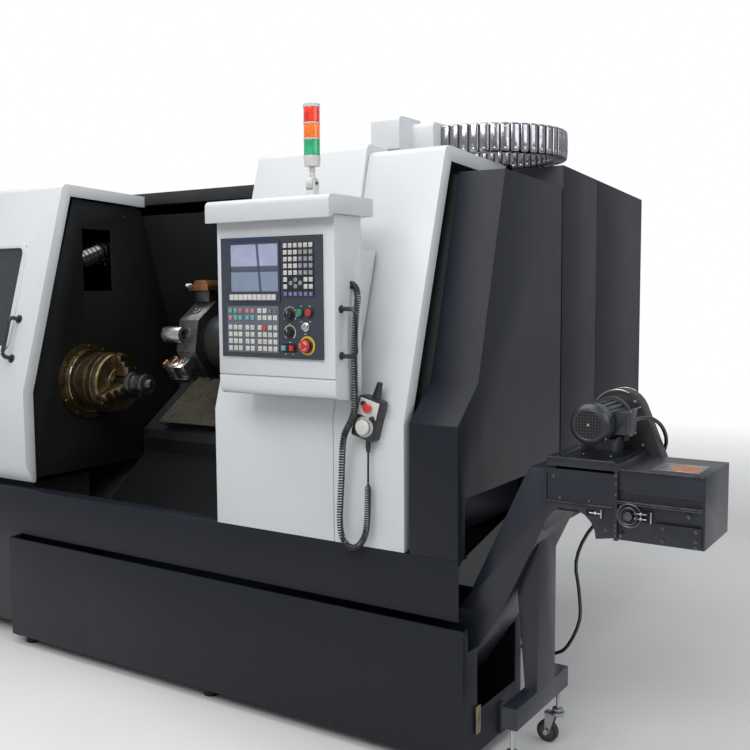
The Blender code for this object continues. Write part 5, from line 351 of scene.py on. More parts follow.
class Look(Enum):
    """Every finish of the machine by its name."""

    WHITE = Paint((0.565, 0.588, 0.602), (0.535, 0.552, 0.560), roughness=0.38, grain=700.0,
                  smudge=0.06, coat=0.05)
    NAVY = Paint((0.0062, 0.0082, 0.0140), (0.0090, 0.0112, 0.0180), roughness=0.40, grain=950.0,
                 grain_depth=0.00016, smudge=0.08, dust=0.01, coat=0.03, shine=0.27)
    INNER = Paint((0.0082, 0.0088, 0.0094), (0.0110, 0.0115, 0.0122), roughness=0.50, grain=800.0,
                  grain_depth=0.00012, dust=0.02, coat=0.0, shine=0.22)
    BLACK = Paint((0.010, 0.010, 0.011), (0.022, 0.022, 0.024), roughness=0.42, grain_depth=0.0001,
                  smudge=0.14, dust=0.20)
    CONVEYOR = Paint((0.0080, 0.0100, 0.0170), (0.0125, 0.0150, 0.0250), roughness=0.30,
                     grain=820.0, grain_depth=0.0001, smudge=0.12, dust=0.02, shine=0.45)
    MOTOR = Casting((0.016, 0.019, 0.024), (0.030, 0.031, 0.034), roughness=0.32, depth=0.0003)
    IRON = Casting((0.020, 0.021, 0.024), (0.032, 0.032, 0.033))
    HOUSING = Casting((0.016, 0.017, 0.019), (0.034, 0.030, 0.025), roughness=0.45, depth=0.0003)
    OILED = Metal((0.24, 0.19, 0.115), (0.07, 0.052, 0.030), roughness=0.30)
    BRASSY = Metal((0.235, 0.180, 0.088), (0.070, 0.050, 0.024), roughness=0.34,
                   brush=(1.0, 9.0, 9.0), brush_scale=40.0, stain_low=0.42)
    STEEL = Metal((0.55, 0.55, 0.54), (0.30, 0.29, 0.27), roughness=0.26)
    BRIGHT = Metal((0.78, 0.78, 0.77), (0.52, 0.51, 0.49), roughness=0.16, brush=(1.0, 1.0, 6.0),
                   brush_scale=45.0, stain_low=0.55)
    CHROME = Metal((0.37, 0.36, 0.39), (0.24, 0.22, 0.23), roughness=0.17, brush=(1.0, 1.0, 6.0),
                   brush_scale=45.0, stain_low=0.50)
    COVER = Metal((0.155, 0.138, 0.112), (0.085, 0.072, 0.055), roughness=0.38,
                  brush=(1.0, 8.0, 8.0), brush_scale=30.0, metallic=0.45)
    DARK_STEEL = Metal((0.13, 0.13, 0.135), (0.055, 0.048, 0.04), roughness=0.36)
    COPPER = Metal((0.36, 0.17, 0.085), (0.13, 0.07, 0.04), roughness=0.42, brush=(6.0, 1.0, 1.0),
                   brush_scale=30.0)
    ZINC = Metal((0.50, 0.51, 0.53), (0.25, 0.25, 0.26), roughness=0.34)
    BLACK_PLASTIC = Plastic((0.012, 0.012, 0.013), 0.38, coat=0.15)
    GLOSS_CORD = Plastic((0.008, 0.008, 0.009), roughness=0.22, grain=500.0, depth=0.00003,
                         shade=0.8, coat=0.4)
    RUBBER = Plastic((0.020, 0.020, 0.021), 0.62)
    WHITE_PLASTIC = Plastic((0.62, 0.61, 0.58), 0.34)
    CREAM_KEY = Plastic((0.58, 0.57, 0.54), 0.45)
    GREY_KEY = Plastic((0.23, 0.25, 0.29), 0.45)
    BLUE_KEY = Plastic((0.115, 0.125, 0.26), 0.45)
    TEAL_KEY = Plastic((0.10, 0.34, 0.33), 0.45)
    PINK_KEY = Plastic((0.42, 0.17, 0.19), 0.45)
    RED_KEY = Plastic((0.50, 0.025, 0.02), 0.35, coat=0.3)
    GREEN_KEY = Plastic((0.02, 0.24, 0.12), 0.35, coat=0.3)
    YELLOW = Plastic((0.62, 0.43, 0.03), 0.40)
    PLATE = Plastic((0.035, 0.043, 0.060), roughness=0.40, grain=600.0, depth=0.00003)
    BEZEL = Plastic((0.012, 0.014, 0.019), 0.36)
    PAD = Plastic((0.115, 0.125, 0.15), 0.42)
    STRIP = Plastic((0.012, 0.045, 0.16), 0.30)
    # Near-black finish of painted shade, laid over holes and slots for the dark inside them.
    HOLE = Plastic((0.0008, 0.0008, 0.0009), 0.85)
    ORANGE = Plastic((0.46, 0.14, 0.05), 0.45, shade=0.8)
    MARK = Plastic((0.55, 0.55, 0.53), 0.45)
    GLASS = Pane((0.05, 0.065, 0.07), 0.38)
    GAUGE = Pane((0.24, 0.20, 0.07), 0.75)
    RED_LENS = Lens((0.75, 0.03, 0.015))
    AMBER_LENS = Lens((0.85, 0.16, 0.01))
    GREEN_LENS = Lens((0.02, 0.38, 0.16), 0.18)

    def material(self) -> bpy.types.Material:
        """The finish's material, made at its first use."""
        name = "finish_" + self.name.lower()
        found = bpy.data.materials.get(name)
        return found if found is not None else self.value.material(name)


# ---------------------------------------------------------------- meshes
def placed(name: str, data: bpy.types.ID) -> bpy.types.Object:
    """Add an object with its data to the scene."""
    made = bpy.data.objects.new(name, data)
    bpy.context.scene.collection.objects.link(made)
    return made


class Form:
    """A mesh under construction, in metres in the machine's own frame."""

    def __init__(self) -> None:
        """Start empty."""
        self.mesh = bmesh.new()

    def loop(self, points: Iterable[Point]) -> list[bmesh.types.BMVert]:
        """Add a ring of corners."""
        return [self.mesh.verts.new(point) for point in points]

    def skin(self, loops: Sequence[list[bmesh.types.BMVert]],
             closed: bool = False) -> list[bmesh.types.BMFace]:
        """Join rings of equal count by faces; the ends are closed unless the rings close."""
        faces = []
        pairs = list(zip(loops, loops[1:])) + ([(loops[-1], loops[0])] if closed else [])
        for near, far in pairs:
            count = len(near)
            for i in range(count):
                j = (i + 1) % count
                faces.append(self.mesh.faces.new((near[i], near[j], far[j], far[i])))
        if not closed:
            faces.append(self.mesh.faces.new(loops[0][::-1]))
            faces.append(self.mesh.faces.new(loops[-1]))
        return faces

    def prism(self, outline: Sequence[Point], depth: Point, soft: float = 0.0) -> "Form":
        """Push a flat outline along a vector.

        Args:
            outline: corners in order.
            depth: the way and distance.
            soft: radius of every edge.

        Returns:
            The same form.
        """
        near = self.loop(outline)
        far = self.loop([Vector(point) + Vector(depth) for point in outline])
        faces = self.skin([near, far])
        if soft > 0.0:
            edges = {edge for face in faces for edge in face.edges}
            bmesh.ops.bevel(self.mesh, geom=list(edges), offset=soft, segments=2,
                            profile=0.5, affect="EDGES", clamp_overlap=True)
        return self

    def block(self, low: Point, high: Point, soft: float = 0.0) -> "Form":
        """Add a block between two corners with softened edges."""
        (x, y, z), (u, v, w) = low, high
        return self.prism([(x, y, z), (u, y, z), (u, v, z), (x, v, z)], (0, 0, w - z), soft)

    def turned(self, start: Point, axis: Point, profile: Sequence[tuple[float, float]],
               sides: int = 32, lobes: int = 0, lobe: float = 0.0) -> "Form":
        """Turn a profile round an axis.

        Args:
            start: a point on the axis.
            axis: the axis.
            profile: places along the axis with their radii; a radius of 0 isn't used.
            sides: faces round the axis.
            lobes: waves round the rim, such as a knob's grips.
            lobe: depth of the waves as a share of the radius.

        Returns:
            The same form.
        """
        way = Vector(axis).normalized()
        side = way.orthogonal().normalized()
        other = way.cross(side)
        loops = []
        for along, radius in profile:
            ring = []
            for i in range(sides):
                turn = 2.0 * math.pi * i / sides
                wave = lobe * (0.5 + 0.5 * math.cos(lobes * turn)) if lobes else 0.0
                reach = radius * (1.0 - wave)
                ring.append(Vector(start) + way * along + side * (reach * math.cos(turn))
                            + other * (reach * math.sin(turn)))
            loops.append(self.loop(ring))
        self.skin(loops)
        return self

    def ring(self, centre: Point, axis: Point, radius: float, thick: float, sides: int = 48,
             rings: int = 8, flat: float = 1.0) -> "Form":
        """Add a torus, squashed along its axis by flat."""
        way = Vector(axis).normalized()
        side = way.orthogonal().normalized()
        other = way.cross(side)
        loops = []
        for i in range(sides):
            turn = 2.0 * math.pi * i / sides
            out = side * math.cos(turn) + other * math.sin(turn)
            loops.append(self.loop([Vector(centre) + out * (radius + thick * math.cos(a))
                                    + way * (thick * flat * math.sin(a))
                                    for a in (2.0 * math.pi * k / rings for k in range(rings))]))
        self.skin(loops, closed=True)
        return self

    def tube(self, points: Sequence[Point], radius: float, sides: int = 10) -> "Form":
        """Sweep a round section along a line of points."""
        line = [Vector(point) for point in points]
        ways = [(b - a).normalized() for a, b in zip(line, line[1:])]
        side = ways[0].orthogonal().normalized()
        loops = []
        for i, centre in enumerate(line):
            way = ways[min(i, len(ways) - 1)]
            if 0 < i < len(ways):
                way = (ways[i - 1] + ways[i]).normalized()
            side = (side - way * side.dot(way)).normalized()
            other = way.cross(side)
            loops.append(self.loop([centre + side * (radius * math.cos(a))
                                    + other * (radius * math.sin(a))
                                    for a in (2.0 * math.pi * k / sides for k in range(sides))]))
        self.skin(loops)
        return self

    def bolt(self, seat: Point, axis: Point, radius: float, height: float,
             hexagon: bool = False) -> "Form":
        """Add a socket screw's head, or a hexagon head on a washer."""
        way = Vector(axis).normalized()
        if hexagon:
            self.turned(seat, way, [(-0.001, radius * 1.25), (height * 0.25, radius * 1.2)], 16)
            return self.turned(seat, way,
                               [(0.0, radius), (height * 0.9, radius), (height, radius * 0.8)], 6)
        return self.turned(seat, way,
                           [(-0.001, radius), (height * 0.85, radius), (height, radius * 0.88),
                            (height, radius * 0.52), (height * 0.35, radius * 0.46)], 12)

    def bolts(self, seats: Iterable[Point], axis: Point, radius: float, height: float,
              hexagon: bool = False) -> "Form":
        """Add a screw at each of several places."""
        for seat in seats:
            self.bolt(seat, axis, radius, height, hexagon)
        return self

    def solid(self, name: str) -> bpy.types.Object:
        """Turn the form into a plain object and let go of its mesh."""
        bmesh.ops.recalc_face_normals(self.mesh, faces=self.mesh.faces)
        data = bpy.data.meshes.new(name)
        self.mesh.to_mesh(data)
        self.mesh.free()
        return placed(name, data)

    def piece(self, name: str, look: Look, body: str, slot: str = "", sharp: float = 38.0,
              replaces: Sequence[str] = ()) -> bpy.types.Object:
        """Turn the form into a piece of the machine.

        Args:
            name: the piece's name.
            look: its finish.
            body: the body that it rides on; none for a piece that is blended.
            slot: a material slot's name; not used.
            sharp: angle in degrees over which an edge shows.
            replaces: solids that it stands for.

        Returns:
            The new object.
        """
        made = self.solid(name)
        made.data.shade_smooth()
        made.data.set_sharp_from_angle(angle=math.radians(sharp))
        made.data.materials.append(look.material())
        if body:
            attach(made, body)
        if replaces:
            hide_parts(*replaces)
        LOG.info("made %s", name)
        return made


def edge_shading() -> bpy.types.NodeTree:
    """Geometry nodes that shade faces smooth but keep edges over 33 degrees sharp."""
    kept = bpy.data.node_groups.get("edge_shading")
    if kept:
        return kept
    tree = bpy.data.node_groups.new("edge_shading", "GeometryNodeTree")
    for way in ("INPUT", "OUTPUT"):
        tree.interface.new_socket("Geometry", in_out=way, socket_type="NodeSocketGeometry")
    start, end, angle, test = (tree.nodes.new(kind) for kind in (
        "NodeGroupInput", "NodeGroupOutput", "GeometryNodeInputMeshEdgeAngle",
        "FunctionNodeCompare"))
    test.operation = "LESS_THAN"
    test.inputs[1].default_value = SHARP_EDGE
    faces, edges = (tree.nodes.new("GeometryNodeSetShadeSmooth") for _ in range(2))
    faces.domain, edges.domain = "FACE", "EDGE"
    for source, target in ((start.outputs[0], faces.inputs[0]), (faces.outputs[0], edges.inputs[0]),
                           (edges.outputs[0], end.inputs[0]), (angle.outputs[0], test.inputs[0]),
                           (test.outputs[0], edges.inputs["Shade Smooth"])):
        tree.links.new(source, target)
    return tree


def dress(frame: dict, looks: dict[str, Look], soft: float = 0.0) -> None:
    """Give solids their finish and, where wanted, slightly rounded edges.

    Args:
        frame: what the frame's loader returned.
        looks: finish by the solid's name.
        soft: radius of the edges.
    """
    for name, look in looks.items():
        solid = frame["nodes"][name]
        solid.data.materials.clear()
        solid.data.materials.append(look.material())
        solid.modifiers.new("weld", "WELD").merge_threshold = 0.00001
        if soft > 0.0:
            planes = solid.modifiers.new("planes", "DECIMATE")
            planes.decimate_type = "DISSOLVE"
            planes.angle_limit = math.radians(0.6)
            edge = solid.modifiers.new("soft_edges", "BEVEL")
            edge.width = soft
            edge.segments = 2
            edge.limit_method = "ANGLE"
            edge.angle_limit = SHARP_EDGE
            edge.use_clamp_overlap = True
        solid.modifiers.new("edge_shading", "NODES").node_group = edge_shading()
        LOG.info("dressed %s", name)


def along(start: Point, end: Point, count: int) -> list[Vector]:
    """Evenly spaced places from start to end, both included."""
    return [Vector(start).lerp(Vector(end), i / (count - 1)) for i in range(count)]


def smooth(route: Sequence[Point], steps: int = 3) -> list[Vector]:
    """Round a route's corners; its first and last runs stay straight."""
    points = [Vector(point) for point in route]
    line = [points[0]]
    for i in range(1, len(points) - 2):
        a, b, c, d = points[i - 1], points[i], points[i + 1], points[i + 2]
        for k in range(steps):
            t = k / steps
            line.append(0.5 * ((2 * b) + (c - a) * t + (2 * a - 5 * b + 4 * c - d) * t * t
                               + (3 * b - a - 3 * c + d) * t ** 3))
    return line + points[-2:]


def touch(frame: dict, node: str, start: Point, way: Point) -> Vector:
    """Find where a line first meets a solid.

    Args:
        frame: what the frame's loader returned.
        node: the solid's name.
        start: the line's start.
        way: its direction.

    Returns:
        The place on the solid, or the start if the line misses it.
    """
    met, place, _, _ = frame["nodes"][node].ray_cast(Vector(start), Vector(way).normalized())
    return place if met else Vector(start)


# ---------------------------------------------------------------- studio
@dataclass
class Studio:
    """Pale floor, soft lamps and the camera."""

    camera_place: tuple[float, float, float] = (2.63, -3.32, 1.50)
    turn: float = 33.11
    pitch: float = -5.07
    roll: float = -0.39
    focal: float = 968.7
    picture: float = 750.0
    sensor: float = 36.0
    floor_reach: float = 30.0
    fade: tuple[float, float] = (3.2, 7.5)

    def camera(self) -> None:
        """Place the camera as the photograph was taken."""
        data = bpy.data.cameras.new("camera")
        data.sensor_width = self.sensor
        data.lens = self.focal * self.sensor / self.picture
        data.clip_start, data.clip_end = 0.05, 60.0
        made = placed("camera", data)
        turn = Matrix.Rotation(math.radians(self.turn), 4, "Z")
        tilt = Matrix.Rotation(math.radians(90.0 + self.pitch), 4, "X")
        lean = Matrix.Rotation(math.radians(self.roll), 4, "Z")
        made.matrix_world = Matrix.Translation(self.camera_place) @ turn @ tilt @ lean
        bpy.context.scene.camera = made

    def floor(self) -> None:
        """Lay a wide pale floor that shows white far off and keeps the shadow."""
        reach = self.floor_reach
        made = Form().block((-reach, -reach, -0.05), (reach, reach, -0.0005)).solid("floor")
        graph = Graph("studio_floor")
        cloud = graph.bands(graph.noise(0.7, 4.0), 0.3, 0.7)
        graph.set(Base_Color=graph.mix(cloud, (0.74, 0.74, 0.73), (0.68, 0.68, 0.67)),
                  Roughness=graph.noise(3.0) * 0.10 + 0.55)
        far = graph.node("ShaderNodeVectorMath", {"operation": "LENGTH"},
                         {0: graph.places()}, "Value")
        seen = graph.node("ShaderNodeLightPath", output="Is Camera Ray")
        white = graph.node("ShaderNodeEmission", None, {"Color": WHITE, "Strength": 1.0})
        shaded = Wire(graph, graph.shader.outputs[0])
        joined = graph.node("ShaderNodeMixShader", None,
                            {0: graph.bands(far, *self.fade) * seen, 1: shaded, 2: white})
        graph.put(graph.tree.nodes["Material Output"].inputs["Surface"], joined)
        made.data.materials.append(graph.material)

    def world(self) -> None:
        """Light the scene evenly and show white to the camera and to metal."""
        world = bpy.data.worlds.new("studio")
        bpy.context.scene.world = world
        world.use_nodes = True
        nodes, links = world.node_tree.nodes, world.node_tree.links
        plain = nodes["Background"]
        plain.inputs["Color"].default_value = (0.93, 0.96, 1.0, 1.0)
        plain.inputs["Strength"].default_value = 0.50
        white = nodes.new("ShaderNodeBackground")
        white.inputs["Color"].default_value = (1.0, 1.0, 1.0, 1.0)
        path = nodes.new("ShaderNodeLightPath")
        both = nodes.new("ShaderNodeMixShader")
        links.new(path.outputs["Is Camera Ray"], both.inputs[0])
        links.new(plain.outputs[0], both.inputs[1])
        links.new(white.outputs[0], both.inputs[2])
        links.new(both.outputs[0], nodes["World Output"].inputs["Surface"])

    def lamp(self, name: str, place: Point, aim: Point, size: tuple[float, float], power: float,
             colour: Colour = WHITE) -> None:
        """Add a soft area lamp.

        Args:
            name: its name.
            place: where it stands.
            aim: where it points.
            size: width and height.
            power: watts.
            colour: its tint.
        """
        data = bpy.data.lights.new(name, "AREA")
        data.shape = "RECTANGLE"
        data.size, data.size_y = size
        data.energy = power
        data.color = colour
        made = placed(name, data)
        made.location = place
        made.rotation_mode = "QUATERNION"
        made.rotation_quaternion = (Vector(aim) - Vector(place)).to_track_quat("-Z", "Y")

    def build(self) -> None:
        """Make the whole studio."""
        self.camera()
        self.floor()
        self.world()
        self.lamp("key", (1.2, -4.6, 4.4), (0.0, -0.3, 0.9), (4.2, 2.2), 150.0, (1.0, 0.99, 0.98))
        self.lamp("overhead", (-0.6, -0.8, 4.6), (-0.4, -0.2, 0.8), (4.6, 2.6), 105.0)
        self.lamp("side", (4.6, -0.6, 2.8), (1.0, -0.1, 0.9), (2.6, 2.2), 40.0, (0.96, 0.98, 1.0))
        bpy.context.scene.view_settings.view_transform = "Standard"


# ---------------------------------------------------------------- cords
@dataclass
class Leads:
    """The pendant's coiled cord with its plain end, and the conveyor motor's cable."""

    curl_radius: float = 0.0115
    wire_radius: float = 0.0027
    pitch: float = 0.0066
    opening: float = 0.35
    run_out: float = 0.012
    lead_radius: float = 0.0035
    cable_radius: float = 0.006
    curly_route: tuple = (
        (0.8983, -0.822, 1.513), (0.925, -0.822, 1.513), (0.943, -0.828, 1.48),
        (0.941, -0.836, 1.42), (0.936, -0.838, 1.33), (0.934, -0.836, 1.24),
        (0.932, -0.833, 1.16), (0.920, -0.828, 1.10), (0.882, -0.820, 1.04),
        (0.866, -0.810, 0.98), (0.857, -0.802, 0.90), (0.850, -0.800, 0.82),
        (0.847, -0.800, 0.76), (0.851, -0.800, 0.715), (0.866, -0.800, 0.684),
        (0.888, -0.800, 0.671), (0.911, -0.799, 0.675), (0.932, -0.798, 0.696),
        (0.946, -0.797, 0.730), (0.951, -0.795, 0.78), (0.951, -0.792, 0.83),
        (0.950, -0.788, 0.885))
    cable_route: tuple = (
        (1.7165, -0.5147, 1.106), (1.7165, -0.495, 1.106), (1.726, -0.455, 1.108),
        (1.742, -0.41, 1.10), (1.757, -0.365, 1.07), (1.760, -0.332, 1.02),
        (1.735, -0.318, 0.96), (1.690, -0.308, 0.90), (1.590, -0.300, 0.80),
        (1.497, -0.300, 0.69), (1.458, -0.300, 0.587), (1.469, -0.300, 0.493),
        (1.473, -0.300, 0.391), (1.433, -0.298, 0.296), (1.386, -0.290, 0.255),
        (1.300, -0.270, 0.236), (1.180, -0.235, 0.245), (1.060, -0.200, 0.270),
        (0.970, -0.182, 0.288), (0.9503, -0.182, 0.288))

    @staticmethod
    def length(line: Sequence[Vector]) -> float:
        """Length of a line of points."""
        return sum((b - a).length for a, b in zip(line, line[1:]))

    @staticmethod
    def even(line: Sequence[Vector], count: int) -> list[Vector]:
        """Space a line's points evenly."""
        total = Leads.length(line)
        made, run, index = [], 0.0, 0
        for i in range(count):
            goal = total * i / (count - 1)
            while index < len(line) - 2 and run + (line[index + 1] - line[index]).length < goal:
                run += (line[index + 1] - line[index]).length
                index += 1
            step = (line[index + 1] - line[index]).length
            made.append(line[index].lerp(line[index + 1], min(1.0, (goal - run) / step)))
        return made

    def helix(self, line: Sequence[Vector]) -> list[Vector]:
        """Wind a wire round a line; its turns open up in the middle of the run."""
        centre = self.even(line, 1600)
        total = self.length(line)
        radius = self.curl_radius - self.wire_radius
        side = (centre[1] - centre[0]).orthogonal().normalized()
        made, angle = [], 0.0
        for i, point in enumerate(centre):
            way = (centre[min(i + 1, len(centre) - 1)] - centre[max(i - 1, 0)]).normalized()
            side = (side - way * side.dot(way)).normalized()
            share = i / (len(centre) - 1)
            pitch = self.pitch * (1.0 + self.opening * math.sin(math.pi * share))
            angle += 2.0 * math.pi * total / len(centre) / pitch
            reach = radius * min(1.0, share / self.run_out, (1.0 - share) / self.run_out)
            other = way.cross(side)
            made.append(point + side * (reach * math.cos(angle))
                        + other * (reach * math.sin(angle)))
        return made

    def build(self) -> None:
        route = smooth(self.curly_route)
        wire = self.helix(route)
        curly = Form().tube(wire, self.wire_radius, 6).piece(
            "coiled_cord", Look.GLOSS_CORD, "operator_body", "cord_rubber", 60.0, ["curly_cord"])
        low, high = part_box("pendant_lead")
        line = along((0.950, -0.788, low.z), (0.950, -0.7863, high.z), 12)
        lead = Form().tube(line, self.lead_radius, 10).piece(
            "plain_lead", Look.GLOSS_CORD, "operator_body", "cord_rubber", 60.0, ["pendant_lead"])
        cable_line = smooth(self.cable_route)
        cable = Form().tube(cable_line, self.cable_radius, 12).piece(
            "motor_cable", Look.GLOSS_CORD, "machine", "cord_rubber", 60.0, ["conveyor_cable"])
        reliefs = Form()
        reliefs.turned((0.906, -0.822, 1.513), RIGHT,
                       [(0.0, 0.011), (0.006, 0.0105), (0.012, 0.006)], 20)
        reliefs.piece("cord_gland", Look.BLACK_PLASTIC, "operator_body", "black_plastic")


# ---------------------------------------------------------------- enclosure
@dataclass
class Enclosure:
    """Bed, base, sheet shell, cabinet and covers."""

    frame: dict
    screw_heights: tuple = (0.80, 1.05, 1.35, 1.62, 1.84)
    slant_foot: float = 0.9
    slant: float = 0.55
    hose_radius: float = 0.046
    rib_radius: float = 0.0545
    rib_edge: float = 0.0012
    rib_share: float = 0.78
    hose_route: tuple = (
        (-0.90, -0.372, 1.632), (-0.90, -0.300, 1.658), (-0.90, -0.225, 1.682),
        (-0.90, -0.130, 1.672), (-0.90, -0.060, 1.610), (-0.90, -0.045, 1.520))

    def dress(self) -> None:
        """Give the shell's solids their paint."""
        dress(self.frame, dict.fromkeys(
            ("base_fascia", "coolant_tank", "left_guard", "right_side_cover", "electrical_cabinet",
             "cabinet_door", "rear_cover"), Look.NAVY), 0.003)
        dress(self.frame, {"left_inner_wall": Look.INNER, "back_wall": Look.INNER,
                           "right_inner_guard": Look.INNER, "chip_chute": Look.INNER,
                           "top_rail": Look.BLACK}, 0.0015)
        dress(self.frame, {"bed_casting": Look.IRON})

    def tank(self) -> None:
        """Add the coolant tank's folded rim strip and the glass of its oil gauge."""
        low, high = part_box("coolant_tank")
        rim = Form()
        rim.block((low.x + 0.004, low.y + 0.0005, high.z - 0.020),
                  (high.x - 0.004, low.y + 0.012, high.z - 0.001), 0.002)
        rim.piece("tank_rim", Look.NAVY, "machine", "dark_paint")
        glass = Form()
        glass.block((high.x - 0.0015, low.y + 0.075, 0.11), (high.x, low.y + 0.105, 0.20), 0.0006)
        glass.piece("gauge_glass", Look.GAUGE, "machine", "window")

    def cabinet(self) -> None:
        """Add the lock of the cabinet's door."""
        low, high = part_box("cabinet_door")
        lock = Form()
        lock.turned((low.x + 0.06, high.y - 0.004, (low.z + high.z) / 2), BACK,
                    [(0.0, 0.016), (0.003, 0.016), (0.004, 0.013), (0.004, 0.005), (0.002, 0.004)],
                    24)
        lock.piece("cabinet_lock", Look.ZINC, "cabinet_door_body", "zinc")

    def wall_screws(self) -> None:
        """Put flat screws along the left inner wall's slanted edge."""
        left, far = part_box("left_inner_wall")
        screws = Form()
        for z in self.screw_heights:
            y = left.y + 0.030 + max(0.0, z - self.slant_foot) * self.slant
            screws.bolt((far.x + 0.0005, y, z), RIGHT, 0.0055, 0.0025)
        screws.piece("wall_screws", Look.DARK_STEEL, "machine", "dark_steel")

    def air_hose(self) -> None:
        """Show the linked silver hose behind the left wall's window."""
        even = Leads.even(smooth(self.hose_route, 8), 19)
        hose, core = Form(), Form()
        for centre, after in zip(even, even[1:]):
            way = after - centre
            end = way.length * self.rib_share
            hose.turned(centre, way, [(0.0, self.hose_radius), (self.rib_edge, self.rib_radius),
                                      (end, self.rib_radius),
                                      (end + self.rib_edge, self.hose_radius)], 14)
        core.tube(even, self.hose_radius, 18)
        hose.piece("air_hose", Look.BRIGHT, "machine", "bright_steel", 20.0)
        core.piece("air_hose_core", Look.RUBBER, "machine", "black_plastic")

    def build(self) -> None:
        """Make everything of the enclosure."""
        self.dress()
        self.tank()
        self.cabinet()
        self.wall_screws()
        self.air_hose()


# ---------------------------------------------------------------- workspace
@dataclass
class Workspace:
    """Headstock, chuck, slides and turret with their small parts."""

    frame: dict
    axis_y: float = -0.39
    axis_z: float = 1.10
    chuck_face: float = -0.619
    chuck_radius: float = 0.13
    wide_screws: float = 0.112
    paired_screws: float = 0.088
    thread_pitch: float = 0.0036
    tool_turn: float = 125.0
    wheel_circle: float = 0.118

    def dress(self) -> None:
        """Give the machine parts their metal and paint."""
        dress(self.frame, {"headstock": Look.HOUSING, "cross_slide": Look.HOUSING}, 0.003)
        dress(self.frame, {"nose_ring": Look.BRASSY, "chuck_body": Look.BRASSY,
                           "jaw_1": Look.OILED, "jaw_2": Look.OILED, "jaw_3": Look.OILED}, 0.0012)
        dress(self.frame,
              {"spindle_shaft": Look.STEEL, "arbor": Look.DARK_STEEL, "z_saddle": Look.COVER,
               "turret_disc": Look.DARK_STEEL, "tool_block": Look.STEEL,
               "boring_holder": Look.STEEL}, 0.0012)

    def around(self, radius: float, turn: float, x: float) -> Vector:
        """A place at a radius and an angle round the spindle's axis."""
        angle = math.radians(turn)
        return Vector((x, self.axis_y + radius * math.sin(angle),
                       self.axis_z + radius * math.cos(angle)))

    def chuck(self) -> None:
        """Add the chuck's face screws, its groove rings and the seal ring round the nose."""
        screws = Form()
        face = self.chuck_face - 0.001
        for middle in (60.0, 180.0, 300.0):
            for off in (-26.0, 26.0):
                seat = self.around(self.paired_screws, middle + off, face)
                screws.bolt(seat, RIGHT, 0.0085, 0.003)
            screws.bolt(self.around(self.wide_screws, middle, face), RIGHT, 0.0055, 0.004)
        screws.piece("chuck_screws", Look.DARK_STEEL, "spindle", "dark_steel")
        rings = Form()
        rings.ring((self.chuck_face - 0.040, self.axis_y, self.axis_z), RIGHT,
                   self.chuck_radius - 0.0005, 0.0022, 72)
        rings.ring((self.chuck_face, self.axis_y, self.axis_z), RIGHT, 0.060, 0.0025, 56, flat=0.6)
        rings.piece("chuck_rings", Look.OILED, "spindle", "oily_steel")
        nose = Form()
        nose.ring((-0.786, self.axis_y, self.axis_z), RIGHT, 0.136, 0.0035, 72, flat=0.8)
        nose.piece("seal_ring", Look.BRIGHT, "machine", "bright_steel")

    def jaws(self) -> None:
        """Set each jaw's two screws, from the solids' own boxes."""
        for index in (1, 2, 3):
            low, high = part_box(f"jaw_{index}")
            middle = (low + high) / 2
            out = Vector((0.0, middle.y - self.axis_y, middle.z - self.axis_z)).normalized()
            screws = Form()
            for x, radius in ((high.x - 0.030, 0.072), (low.x + 0.045, 0.100)):
                seat = Vector((x, self.axis_y, self.axis_z)) + out * radius
                screws.bolt(seat, RIGHT, 0.008, 0.004)
            screws.piece(f"jaw_{index}_screws", Look.DARK_STEEL, f"chuck_jaw_{index}", "dark_steel")

    def arbor_thread(self) -> None:
        """Cut a thread into the black arbor's end."""
        _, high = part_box("arbor")
        thread = Form()
        profile = []
        for k in range(9):
            x = high.x - 0.046 + self.thread_pitch * k
            profile += [(x, 0.0205), (x + self.thread_pitch / 2, 0.0225)]
        thread.turned((0.0, self.axis_y, self.axis_z), RIGHT, profile, 40)
        thread.piece("arbor_thread", Look.DARK_STEEL, "spindle", "dark_steel", 20.0)

    def coolant_tool(self) -> None:
        """Fit the bright plates and the copper nozzles on the slanted tool block."""
        low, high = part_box("tool_block")
        middle = (low + high) / 2
        turn = math.radians(self.tool_turn)
        up = Vector((0, math.cos(turn), math.sin(turn)))
        out = Vector((0, -math.sin(turn), math.cos(turn)))
        plate = Form()
        for near, far, rise, thick, first, last in (
                (-0.040, 0.046, 0.0405, 0.0090, 0.002, 0.002),
                (-0.012, 0.038, 0.0495, 0.0050, 0.012, 0.030)):
            seat = middle + up * rise
            left, right = low.x + first, high.x - last
            corners = [Vector((x, seat.y, seat.z)) + out * share for x, share in
                       ((left, near), (right, near), (right, far), (left, far))]
            plate.prism(corners, up * thick, 0.0012)
        left, right = low.x + 0.006, high.x - 0.006
        plate.prism([Vector((x, middle.y, middle.z)) + out * 0.0405 + up * rise for x, rise in
                     ((left, -0.030), (right, -0.030), (right, -0.018), (left, -0.018))],
                    out * 0.004, 0.0006)
        plate.piece("coolant_plate", Look.BRIGHT, "turret", "bright_steel")
        nozzles = Form()
        for x, share in ((low.x + 0.022, 0.026), (low.x + 0.062, 0.004)):
            foot = Vector((x, middle.y, middle.z)) + out * share + up * 0.050
            nozzles.turned(foot, up, [(0.0, 0.0085), (0.006, 0.0085), (0.0065, 0.0060),
                                      (0.012, 0.0080), (0.018, 0.0075), (0.021, 0.0040)], 6)
            nozzles.turned(foot + up * 0.012, out - Vector((0.6, 0, 0)),
                           [(0.0, 0.0045), (0.020, 0.0040), (0.022, 0.0020)], 12)
        nozzles.piece("coolant_nozzles", Look.COPPER, "turret", "bright_steel")

